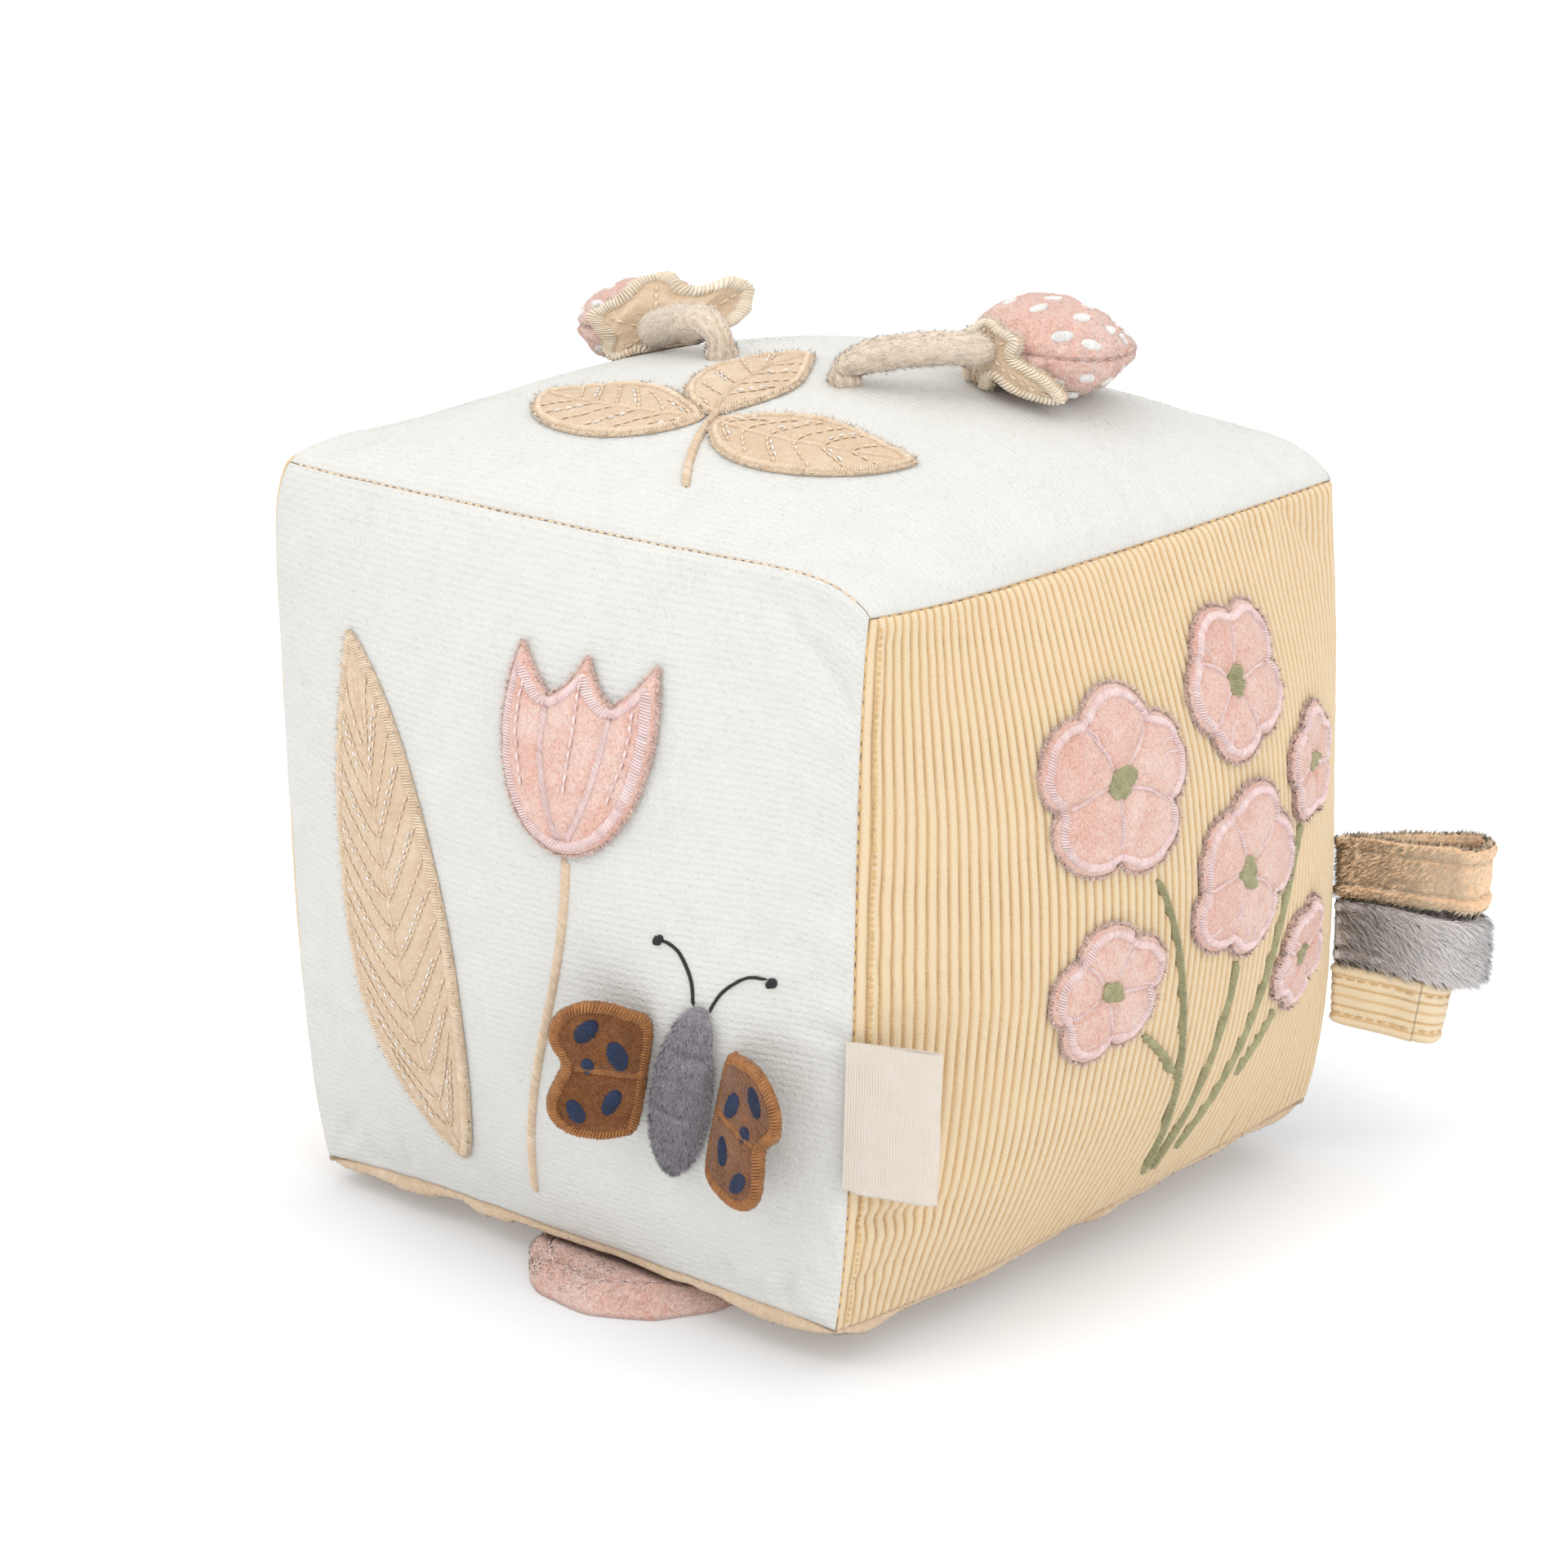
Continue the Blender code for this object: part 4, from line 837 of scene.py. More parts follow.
# ------------------------------------------------------------------ pile
def blades(name, base, normal, aim, length, width, stuff, body="block", bend=None, seed=1, soft=0.75, tone=None):
    """Fibres as thin triangles; with bend, each has a middle point and curls towards it."""
    rng = np.random.default_rng(seed)
    n = len(base)
    length = np.broadcast_to(np.asarray(length, float), (n,))[:, None]
    width = np.broadcast_to(np.asarray(width, float), (n,))[:, None]
    unit = lambda x: x / (np.linalg.norm(x, axis=-1, keepdims=True) + 1e-9)
    aim, normal = unit(aim), unit(normal)
    side = unit(np.cross(aim, normal) + 0.30 * np.cross(aim, rng.standard_normal((n, 3))))
    flip = np.where((np.cross(side, aim) * normal).sum(1, keepdims=True) < 0, -1.0, 1.0)
    side = side * flip
    a, b = base - side * width / 2, base + side * width / 2
    tone = rng.normal(1.0, 0.05, n) if tone is None else tone
    if bend is None:
        tip = base + aim * length
        co = np.stack([a, b, tip], 1).reshape(-1, 3)
        tris, quads = np.arange(3 * n).reshape(-1, 3), None
        norm = np.stack([normal, normal, normal * soft + aim * (1 - soft)], 1)
        share, k = np.tile([0.25, 0.25, 1.0], n), 3
    else:
        mid = base + aim * length * 0.5
        way = unit(aim + bend)
        tip = mid + way * length * 0.55
        co = np.stack([a, b, mid + side * width * 0.38, mid - side * width * 0.38, tip], 1).reshape(-1, 3)
        first = np.arange(n)[:, None] * 5
        quads, tris = first + np.array([0, 1, 2, 3]), first + np.array([3, 2, 4])
        norm = np.stack([normal, normal, normal * soft + aim * (1 - soft), normal * soft + aim * (1 - soft),
                         normal * soft + way * (1 - soft)], 1)
        share, k = np.tile([0.0, 0.0, 0.5, 0.5, 1.0], n), 5
    ob = make(name, co, quads, tris, stuff, body, np.repeat(tone, k), more={"tip": share})
    layer = ob.data.attributes.new("up", "FLOAT_VECTOR", "POINT")
    layer.data.foreach_set("vector", unit(norm).astype(np.float32).ravel())
    return ob


KEEP_OFF = {f: [] for f in FACE}      # outlines of patches, where no pile of the panel shows


def pile_on(name, face, count, length, width, stuff, seed, lean=(0.2, -0.3), spread=0.5, margin=0.6, rows=0.0):
    rng = np.random.default_rng(seed)
    ab = rng.uniform(-75 + margin, 75 - margin, (count, 2))
    for outline in KEEP_OFF[face]:
        ab = ab[~inside(ab, outline)]
    a, b = ab[:, 0], ab[:, 1]
    if rows:
        share = np.clip(0.45 + 0.6 * waves(a, b, seed + 11, 50, 1) + 0.35 * a / 75, 0.05, 1) * rows
        line = np.round(b / 1.45) * 1.45 + rng.normal(0, 0.20, len(b)) + 0.08 * waves(a, b, seed + 12, 25, 1)
        b = np.where(rng.random(len(b)) < share, line, b)
    surface = lambda x, y, h=0.0: cover(face, np.clip(x, -75, 75), np.clip(y, -75, 75), h)
    base = surface(a, b, -0.12)
    n = normal_of(surface, a, b)
    du = surface(a + 0.5, b) - surface(a - 0.5, b)
    dv = surface(a, b + 0.5) - surface(a, b - 0.5)
    swirl = 0.7 * waves(a, b, seed + 7, 40, 2)
    aim = 0.34 * n + du * (lean[0] + swirl)[:, None] + dv * (lean[1] + 0.4 * waves(a, b, seed + 9, 30, 2))[:, None]
    aim = aim + spread * rng.standard_normal(aim.shape) * 0.5
    L = length * rng.uniform(0.7, 1.25, len(a))
    tone = rng.normal(1.0, 0.015, len(a)) * (1 + 0.012 * waves(a, b, seed + 3, 9, 2))
    if face == "bottom":
        keep = base[:, 2] > 1.3
        base, n, aim, L, tone = base[keep], n[keep], aim[keep], L[keep], tone[keep]
        aim[:, 2] = np.maximum(aim[:, 2], -0.15)
    return blades(name, base, n, aim, L, width, stuff, "block", seed=seed, tone=tone, soft=0.92)


def fringe_points(surface, outline, count, seed, out=0.25, low=0.2, high=1.6):
    rng = np.random.default_rng(seed)
    L, at = walker(outline, True)
    s = rng.uniform(0, L, count)
    P = at(s)
    D = at(s + 0.2) - at(s - 0.2)
    D /= np.linalg.norm(D, axis=-1, keepdims=True) + 1e-9
    N = np.stack([D[:, 1], -D[:, 0]], -1)
    centre = outline.mean(0)
    area = np.sum(outline[:, 0] * np.roll(outline[:, 1], -1) - outline[:, 1] * np.roll(outline[:, 0], -1))
    if area < 0:
        N = -N
    h = rng.uniform(low, high, count)
    base = surface(P[:, 0], P[:, 1], h)
    further = surface(P[:, 0] + N[:, 0], P[:, 1] + N[:, 1], h)
    outward = further - base
    up = surface(P[:, 0], P[:, 1], h + 1.0) - base
    return base, outward, up, rng


def fringe(name, surface, outline, count, length, stuff, body="block", seed=1, low=0.3, high=1.7, width=0.2):
    base, outward, up, rng = fringe_points(surface, np.asarray(outline, float), count, seed, low=low, high=high)
    aim = outward + up * rng.uniform(-0.2, 0.9, len(base))[:, None] + 0.45 * rng.standard_normal(base.shape)
    n = outward * 0.15 + up
    n /= np.linalg.norm(n, axis=1, keepdims=True)
    return blades(name, base - outward * 0.2, n, aim, length * rng.uniform(0.6, 1.2, len(base)), width, stuff, body, seed=seed)


# ------------------------------------------------------------------ padded patches
def star_pad(name, surface, centre, outline, height, stuff, body="block", rings=14, low=0.15, uv=True):
    """A patch of pile cloth: rings from its centre out to its cut edge, closed underneath."""
    outline = np.asarray(outline, float)
    c = np.asarray(centre, float)
    n = len(outline)
    r = np.linspace(0, 1, rings + 1)[1:] ** 0.9
    r = np.concatenate([r[:-1], [0.975, 1.0]])
    flat = c + r[:, None, None] * (outline - c)[None]
    H = height(flat.reshape(-1, 2)).reshape(flat.shape[:2])
    H[-1] = np.maximum(low + 0.2, H[-1] - 0.55)
    H[-2] = H[-2] - 0.08
    top = surface(flat[..., 0], flat[..., 1], H)
    mid = surface(np.array([c[0]]), np.array([c[1]]), height(c[None]))[0]
    rim = surface(outline[:, 0], outline[:, 1], np.full(n, low))
    under = surface(np.array([c[0]]), np.array([c[1]]), np.array([low]))[0]
    co = np.vstack([mid[None], top.reshape(-1, 3), rim, under[None]])
    quads = grid_quads(len(r) + 1, n, False, True, 1)
    j = np.arange(n)
    t0 = np.stack([np.zeros(n, int), 1 + j, 1 + (j + 1) % n], -1)
    last = 1 + len(r) * n
    t1 = np.stack([np.full(n, len(co) - 1), last + (j + 1) % n, last + j], -1)
    ab = np.vstack([c[None], flat.reshape(-1, 2), outline, c[None]])
    return make(name, co, quads, np.vstack([t0, t1]), stuff, body, uv=ab, closed=True)


def strip_pad(name, surface, spine, half, height, stuff, body="block", cells=16, step=1.2, low=0.15):
    """A long patch of pile cloth along a spine: height is a function of points in the face."""
    L, at = walker(spine)
    n = int(L / step) + 1
    s = np.linspace(0, L, n)
    P = at(s)
    D = at(s + 0.4) - at(s - 0.4)
    D /= np.linalg.norm(D, axis=-1, keepdims=True)
    N = np.stack([-D[:, 1], D[:, 0]], -1)
    x = np.sin(np.linspace(-1, 1, cells + 1) * math.pi / 2)
    w = np.array([half(v) for v in s / L])
    flat = P[:, None] + N[:, None] * (x[None] * w[:, None])[..., None]
    H = height(flat.reshape(-1, 2)).reshape(flat.shape[:2])
    H[:, [0, -1]] -= 0.5
    H = np.maximum(H, low + 0.2)
    top = surface(flat[..., 0], flat[..., 1], H)
    bottom = surface(flat[:, ::-1, 0], flat[:, ::-1, 1], np.full(H.shape, low))
    ring = np.concatenate([top, bottom], 1)
    pts, quads, tris = ring_solid(ring, False)
    ab = np.concatenate([flat, flat[:, ::-1]], 1).reshape(-1, 2)
    ab = np.vstack([ab, P[:1], P[-1:]])
    return make(name, pts, quads, tris, stuff, body, uv=ab, closed=True)


def cloth_inflate(points, quads, tris, pinned, scale, pressure=4.0, frames=20, cap=3.0, grow=0.0, bending=0.4, tension=12.0):
    """Pressure inside a closed cloth: the points in mm after it, none moved further than cap."""
    points = np.asarray(points, float).reshape(-1, 3)
    me = bpy.data.meshes.new("inflate")
    faces = [tuple(int(i) for i in q) for q in quads] + [tuple(int(i) for i in t) for t in (tris if tris is not None else [])]
    mid = points.mean(0)
    me.from_pydata(((points - mid) * MM * scale).tolist(), [], faces)
    ob = bpy.data.objects.new("inflate", me)
    scene.collection.objects.link(ob)
    group = ob.vertex_groups.new(name="pin")
    group.add([int(i) for i in np.nonzero(pinned)[0]], 1.0, "REPLACE")
    mod = ob.modifiers.new("cloth", "CLOTH")
    st = mod.settings
    st.quality = 6
    st.mass = 0.3
    st.tension_stiffness = st.compression_stiffness = tension
    st.shear_stiffness = 5.0
    st.bending_stiffness = bending
    st.tension_damping = st.compression_damping = 5.0
    st.air_damping = 2.0
    st.use_pressure = True
    st.uniform_pressure_force = pressure
    st.vertex_group_mass = "pin"
    st.pin_stiffness = 1.0
    st.shrink_min = -grow
    st.effector_weights.gravity = 0.0
    mod.collision_settings.use_self_collision = False
    mod.point_cache.frame_start, mod.point_cache.frame_end = 1, frames
    was = scene.frame_current
    for f in range(1, frames + 1):
        scene.frame_set(f)
    got = ob.evaluated_get(bpy.context.evaluated_depsgraph_get()).to_mesh()
    co = np.zeros(len(got.vertices) * 3, np.float32)
    got.vertices.foreach_get("co", co)
    new = co.reshape(-1, 3).astype(float) / (MM * scale) + mid
    bpy.data.objects.remove(ob, do_unlink=True)
    scene.frame_set(was)
    move = new - points
    size = np.linalg.norm(move, axis=1, keepdims=True)
    return points + move * np.minimum(1.0, cap / np.maximum(size, 1e-9))


def cubic_grid(grid, low, step):
    """A grid of values read smoothly between its points."""
    n, m = grid.shape
    share = lambda t: (-0.5 * t + t * t - 0.5 * t ** 3, 1 - 2.5 * t * t + 1.5 * t ** 3, 0.5 * t + 2 * t * t - 1.5 * t ** 3, -0.5 * t * t + 0.5 * t ** 3)

    def at(a, b):
        x, y = (np.clip(a, -75, 75) - low) / step, (np.clip(b, -75, 75) - low) / step
        i, j = np.clip(x.astype(int), 0, n - 2), np.clip(y.astype(int), 0, m - 2)
        wx, wy = share(x - i), share(y - j)
        out = 0.0
        for p in range(4):
            for q in range(4):
                out = out + wx[p] * wy[q] * grid[np.clip(i + p - 1, 0, n - 1), np.clip(j + q - 1, 0, m - 1)]
        return out
    return at


def inflate_panels(n=46):
    """Stuffing pressure under each panel, which is cut a little full and held at its seams: what it adds to the smooth shape."""
    g = np.linspace(-75, 75, n)
    A, B = np.meshgrid(g, g, indexing="ij")
    held = np.zeros((n, n), bool)
    held[[0, -1]] = held[:, [0, -1]] = True
    powers = [(i, j) for i in range(5) for j in range(5 - i)]
    basis = np.stack([(A / 75) ** i * (B / 75) ** j for i, j in powers], -1).reshape(n * n, -1)
    for k, face in enumerate(("front", "right", "back", "left", "top")):
        smooth = on(face, A, B)
        normal = on(face, A, B, 1.0) - smooth
        start = smooth + normal * (0.35 * waves(A, B, 900 + k, 13, 2) * ~held)[..., None]
        blown = cloth_inflate(start.reshape(-1, 3), grid_quads(n, n), None, held.ravel(), 6.0, pressure=1.6, frames=14, cap=4.0, grow=0.03,
                              bending=0.05, tension=15.0).reshape(n, n, 3)
        move = ((blown - smooth) * normal).sum(-1)
        broad = (basis @ np.linalg.lstsq(basis, move.ravel(), rcond=None)[0]).reshape(n, n)
        fine = move - broad
        top = np.percentile(np.abs(fine), 98) + 1e-9
        print("inflated", face, "move", round(float(np.abs(move).max()), 2), "fine", round(float(top), 3))
        fine = np.clip(fine / top, -1.3, 1.3) * min(float(top), 0.34 if face == "right" else 0.42)
        near = np.minimum(75 - np.abs(A), 75 - np.abs(B))
        fine = fine * (0.10 + 0.90 * np.exp(-near / 11.0))
        fine[held] = 0.0
        RELIEF[face] = cubic_grid(fine, -75.0, g[1] - g[0])


inflate_panels()


def spaced(cells, edge_cells=8, edge=ROLL + 0.2):
    a = edge * np.linspace(0, 1, edge_cells + 1)[:-1] ** 1.25
    return np.concatenate([a, np.linspace(edge, 150 - edge, cells + 1), (150 - a)[::-1]]) - 75.0


def panel(name, face, stuff, us, vs, node, height=None, more=None, thick=2.0):
    """One panel of the cover: its finished cloth, turned in at the seams, and a plain back."""
    A, B = np.meshgrid(us, vs, indexing="ij")
    h = height(A, B) if height else np.zeros(A.shape)
    edge = np.minimum.reduce([75 - np.abs(A), 75 - np.abs(B)])
    h = h * np.clip(edge / 1.6, 0, 1)
    top = cover(face, A, B, h)
    n, m = A.shape
    ring = ([i * m for i in range(n - 1)] + [(n - 1) * m + j for j in range(m - 1)]
            + [i * m + m - 1 for i in range(n - 1, 0, -1)] + [j for j in range(m - 1, 0, -1)])
    ring = np.array(ring)
    ra, rb = A.ravel()[ring], B.ravel()[ring]
    under = []
    for r in (0.972, 0.85, 0.5):
        q = on(face, ra * r, rb * r, -thick)
        if face == "bottom":
            q[:, 2] = np.maximum(q[:, 2], 1.9)
        under.append(q)
    mid = on(face, np.zeros(1), np.zeros(1), -thick)
    if face == "bottom":
        mid[:, 2] = np.maximum(mid[:, 2], 1.9)
    co = np.vstack([top.reshape(-1, 3)] + under + [mid])
    quads = [grid_quads(n, m)]
    k, at = len(ring), n * m
    j = np.arange(k)
    chain = [ring] + [at + i * k + j for i in range(len(under))]
    for p, q in zip(chain[:-1], chain[1:]):
        quads.append(np.stack([p, q, np.roll(q, -1), np.roll(p, -1)], -1))
    last = chain[-1]
    tris = np.stack([last, np.full(k, len(co) - 1), np.roll(last, -1)], -1)
    ab = np.concatenate([np.stack([A, B], -1).reshape(-1, 2)] + [np.stack([ra, rb], -1)] * 3 + [np.zeros((1, 2))])
    rest = len(co) - n * m
    values = {"seam": np.concatenate([seam_share(face, A, B).ravel(), np.ones(rest)])}
    if more:
        values.update({key: np.concatenate([f(A, B).ravel(), np.zeros(rest)]) for key, f in more.items()})
    ob = make(name, co, np.vstack(quads), tris, stuff, "block", uv=ab, more=values, closed=True)
    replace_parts(ob, node)
    return ob


WALES = 72
WALE = 150.0 / WALES


def wale(a, b, seed):
    x = a + 0.22 * waves(a * 0.3, b, seed, 40, 2)
    x = (x + 75.0) / WALE
    x = np.abs((x % 1.0) * 2 - 1)
    return 1 - x ** 2.5


def wale_height(seed):
    return lambda a, b: -0.36 + 0.66 * wale(a, b, seed) + 0.05 * waves(a * 2.0, b, seed + 1, 3.0, 2)


def wale_lines(rows_each=8):
    a = np.linspace(-75, 75, WALES * rows_each + 1)
    return a


fine = spaced(176)
panel("front_panel_cloth", "front", WHITE, fine, fine, "front_panel")
panel("top_panel_cloth", "top", WHITE, fine, fine, "top_panel")
panel("right_panel_cloth", "right", CORD, wale_lines(8), spaced(96, 6), "right_panel",
      wale_height(71), {"rib": lambda a, b: wale(a, b, 71)})
panel("left_panel_cloth", "left", CORD, wale_lines(6), spaced(70, 6), "left_panel",
      wale_height(72), {"rib": lambda a, b: wale(a, b, 72)})
panel("back_panel_cloth", "back", GREY, spaced(90, 6), spaced(90, 6), "back_panel")
panel("bottom_panel_cloth", "bottom", LEAF, spaced(110, 6), spaced(110, 6), "bottom_panel")

# sewing thread lying in the seams, and the stitched line beside the front seam of the ribbed panel
def seam_thread(name, seam, stuff, length=2.3, gap=0.5, radius=0.30, lift=0.55, t0=0.02, t1=0.98, seed=5):
    pair = [f for f in FACE if any(s[0] == seam for s in FACE[f][:4])]
    out = sum(np.array(FACE[f][4], float) for f in pair)
    out /= np.linalg.norm(out)
    side = np.cross(out, seam_point(seam, 0.5) - seam_point(seam, 0.48))
    side /= np.linalg.norm(side)

    def surface(a, b, h):
        t = np.asarray(a) / 150.0
        return (seam_point(seam, t) + (np.asarray(h) + lift - seam_depth(seam, t))[..., None] * out
                + np.asarray(b)[..., None] * side)
    line = np.stack([np.linspace(150 * t0, 150 * t1, 200), 0.12 * waves(np.linspace(0, 150, 200), 0, seed, 12)], -1)
    return stitches(name, surface, line, length, gap, radius, 0.0, stuff, seed=seed, lift=0.12)


seam_thread("front_top_seam_thread", "front_top", ECRU_THREAD, lift=0.25, length=1.6)
seam_thread("front_right_seam_thread", "front_right", GOLD_THREAD, seed=6, lift=0.1)
s_line = np.linspace(-73, 73, 220)
stitches("front_right_stitched_line", lambda a, b, h: cover("right", a, b, h), np.stack([-72.3 + 0.12 * waves(s_line, 0, 37, 14, 1), s_line], -1),
         1.15, 0.25, 0.30, 0.12, GOLD_THREAD, seed=38, lift=0.22)
seam_thread("right_top_seam_thread", "right_top", GOLD_THREAD, seed=7, lift=0.05)
for k, key in enumerate(("front_left", "left_top", "back_top", "back_right", "back_left", "front_bottom", "right_bottom")):
    seam_thread(key + "_seam_thread", key, ECRU_THREAD, seed=8 + k, lift=0.0)


# =====================================================================================
# patches of pile cloth with satin edges
# =====================================================================================
def face_surface(face):
    return lambda a, b, h=0.0: cover(face, a, b, h)


def shrink(outline, by):
    """An outline drawn in by that many mm, smoothed where it would fold over itself."""
    P = np.asarray(outline, float)
    L, at = walker(P, True)
    n = max(60, int(L / 0.8))
    s = np.arange(n) * L / n
    P = at(s)
    area = np.sum(P[:, 0] * np.roll(P[:, 1], -1) - P[:, 1] * np.roll(P[:, 0], -1))
    D = np.roll(P, -2, 0) - np.roll(P, 2, 0)
    D /= np.linalg.norm(D, axis=1, keepdims=True) + 1e-9
    N = np.stack([-D[:, 1], D[:, 0]], -1) * (1 if area > 0 else -1)
    Q = P + N * by
    keep = distance_to(Q, P, True) > by * 0.93
    keep &= inside(Q, P)
    Q = Q[keep]
    for _ in range(3):
        Q = 0.25 * np.roll(Q, 1, 0) + 0.5 * Q + 0.25 * np.roll(Q, -1, 0)
    return Q


def lay_sheet(ob, outline):
    p = np.asarray(outline, float)


# ------------------------------------------------------------------ blossoms on the ribbed panel
BLOSSOM = [(-19, 33, 20.5, 10), (21, 44, 17.5, 40), (18, 4, 20.0, 0), (-23, -10, 15.5, 25), (50, 18, 13.5, 15), (47, -26, 12.5, 50)]
right = face_surface("right")


def bloom_shape(k, r, turn):
    rng = np.random.default_rng(300 + k)
    size = 1 + 0.045 * rng.standard_normal(5)
    lean = 0.05 * rng.standard_normal(5)

    def radius(w):
        """w: angle. Five round petals with a notch between neighbours."""
        x = (np.asarray(w) - math.radians(turn)) * 5 / (2 * math.pi)
        i = np.round(x).astype(int)
        y = x - i
        c = np.cos(math.pi * (y + lean[i % 5] * (1 - 4 * y * y)))
        dent = 0.035 * np.exp(-((y - 0.06) / 0.07) ** 2) * (np.array([1, 0.2, 0.8, 0.1, 0.6])[i % 5])
        near = np.abs(2 * y) ** 6
        scale = size[i % 5] * (1 - near) + near
        return r * scale * (0.775 + 0.225 * np.abs(c) ** 0.62 - dent)
    return radius


for k, (a0, b0, r, turn) in enumerate(BLOSSOM):
    radius = bloom_shape(k, r, turn)
    centre = np.array([a0, b0], float)
    w = np.linspace(0, 2 * math.pi, 241)[:-1]
    outline = centre + np.stack([radius(w) * np.cos(w), radius(w) * np.sin(w)], -1)
    cuts = [math.radians(turn) + (i + 0.5) * 2 * math.pi / 5 for i in range(5)]

    def height(p, centre=centre, radius=radius, cuts=cuts, r=r, k=k):
        d = p - centre
        rho, ang = np.hypot(d[:, 0], d[:, 1]), np.arctan2(d[:, 1], d[:, 0])
        share = np.clip(rho / radius(ang), 0, 1)
        h = 1.05 + 0.95 * np.clip(1 - share ** 2.4, 0, 1) ** 0.6
        for c in cuts:
            along, off = d[:, 0] * math.cos(c) + d[:, 1] * math.sin(c), -d[:, 0] * math.sin(c) + d[:, 1] * math.cos(c)
            h = h - 0.75 * np.exp(-(off / 0.85) ** 2) * (along > 0) * np.clip(along / 2, 0, 1)
        h = h - 0.9 * np.exp(-(rho / 3.2) ** 2)
        return h + 0.16 * waves(p[:, 0], p[:, 1], 320 + k, 6.0, 2)

    pad = star_pad(f"blossom_{k + 1}_cloth", right, centre, outline, height, PINK, rings=22)
    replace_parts(pad, f"blossom_{k + 1}")
    lay_sheet(pad, outline)
    rim = shrink(outline, 2.05)
    satin(f"blossom_{k + 1}_edge", right, rim, 2.05, 0.80, height, PINK_THREAD, closed=True, seed=40 + k, pitch=0.58, sink=0.7)
    bag = Bag()
    for i, c in enumerate(cuts):
        reach = float(radius(np.array([c]))[0]) - 2.3
        q = np.linspace(2.6, reach, 12)[:, None]
        bend = 0.35 * np.sin(q * 0.5 + i)
        line = centre + q * np.array([math.cos(c), math.sin(c)]) + bend * np.array([-math.sin(c), math.cos(c)])
        satin_into(bag, right, line, 0.95, 0.42, height, seed=50 + 5 * k + i, pitch=0.5, shear=0.2, rows=5, sink=0.35)
    # where the last thread of the edge is tied off, it runs on inward in places
    rng = np.random.default_rng(60 + k)
    for c in rng.uniform(0, 2 * math.pi, 3):
        start = float(radius(np.array([c]))[0]) - 2.4
        q = np.linspace(start, start - rng.uniform(3.0, 5.5), 8)[:, None]
        line = centre + q * np.array([math.cos(c), math.sin(c)]) + 0.4 * np.sin(q) * np.array([-math.sin(c), math.cos(c)])
        satin_into(bag, right, line, 0.8, 0.36, height, seed=70 + k, pitch=0.5, shear=0.2, rows=5, sink=0.3)
    bag.make(f"blossom_{k + 1}_stitching", PINK_THREAD)
    # centre: olive satin over the middle
    eye = Bag()
    rr = r / 18.0
    tilt = 0.5 + 0.7 * k
    ax = np.array([math.cos(tilt), math.sin(tilt)])
    line = centre + np.linspace(-3.5 * rr, 3.5 * rr, 20)[:, None] * ax
    satin_into(eye, right, line, lambda s, rr=rr: 5.6 * rr * np.sqrt(np.clip(1 - (2 * s - 1) ** 2, 0.05, 1)), 1.0,
               lambda p: height(p) + 0.1, seed=80 + k, pitch=0.5, shear=0.1, sink=0.6, blunt=0.3, rows=9)
    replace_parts(eye.make(f"blossom_{k + 1}_centre", OLIVE_THREAD), f"blossom_centre_{k + 1}")
    fringe(f"blossom_{k + 1}_rim_pile", right, outline, int(110 * r), 1.05, PINK_PILE, seed=90 + k, low=0.1, high=1.5, width=0.24)
    KEEP_OFF["right"].append(outline)

STEM = [((-11.0, 11.0), (-5, 0), (3, -28), (8.0, -66.0)), None,
        ((17.5, -16.5), (16, -30), (12, -48), (11.0, -66.0)), ((-11.5, -23.5), (-7, -28), (-2, -32), (0.6, -37.0)),
        ((43.0, 6.0), (35, -4), (31.5, -34), (15.5, -62.0)), ((38.6, -36.4), (35, -41), (31, -45), (28.2, -48.0))]
for k, route in enumerate(STEM):
    if route is None:
        continue
    line = bezier(*route, 60)
    ob = satin(f"flower_stem_{k + 1}_thread", right, line, lambda s: 1.7 + 0.8 * s, 0.85, 0.5, OLIVE_THREAD,
               seed=110 + k, pitch=0.55, shear=1.0, sink=0.8)
    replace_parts(ob, f"flower_stem_{k + 1}")

# ------------------------------------------------------------------ tulip on the plain front panel
front = face_surface("front")
TULIP_AT = np.array([17.0, 33.0])
half_bloom = [(0, 20.0), (3.4, 14.6), (7.3, 11.6), (11.2, 15.0), (16.0, 20.6), (17.4, 11.0), (16.8, 1.5),
              (14.0, -7.5), (9.0, -14.2), (3.6, -17.3)]
corners = [(-x, y) for x, y in reversed(half_bloom[1:])] + half_bloom
tip_at = (0, 4, len(corners) - 1)


def tulip_outline():
    left = [(-x, y) for x, y in half_bloom[::-1]]
    runs = [half_bloom[0:3], half_bloom[2:5], half_bloom[4:]]
    pts = []
    for run in runs:
        pts.append(spline(run, per=12)[:-1])
    pts.append(np.array([[3.6, -17.3], [0, -17.9]]))
    half = np.vstack(pts)
    other = half[::-1][1:-1] * np.array([-1, 1])
    return np.vstack([half, other]) + TULIP_AT


outline = tulip_outline()
L, at = walker(outline, True)
outline = at(np.linspace(0, L, 261)[:-1])
rim = shrink(outline, 1.9)
petal_lines = [spline([(-7.4, 9.6), (-6.4, 0), (-3.6, -9.5), (-0.8, -15.0)]) + TULIP_AT,
               spline([(7.4, 9.6), (6.4, 0), (3.6, -9.5), (0.8, -15.0)]) + TULIP_AT]
ribs = [spline([(0, 15.5), (0.6, 6), (0.2, -6)]) + TULIP_AT,
        spline([(-12.8, 14.0), (-12.6, 4), (-9.6, -6.5)]) + TULIP_AT,
        spline([(12.8, 14.0), (12.6, 4), (9.6, -6.5)]) + TULIP_AT]


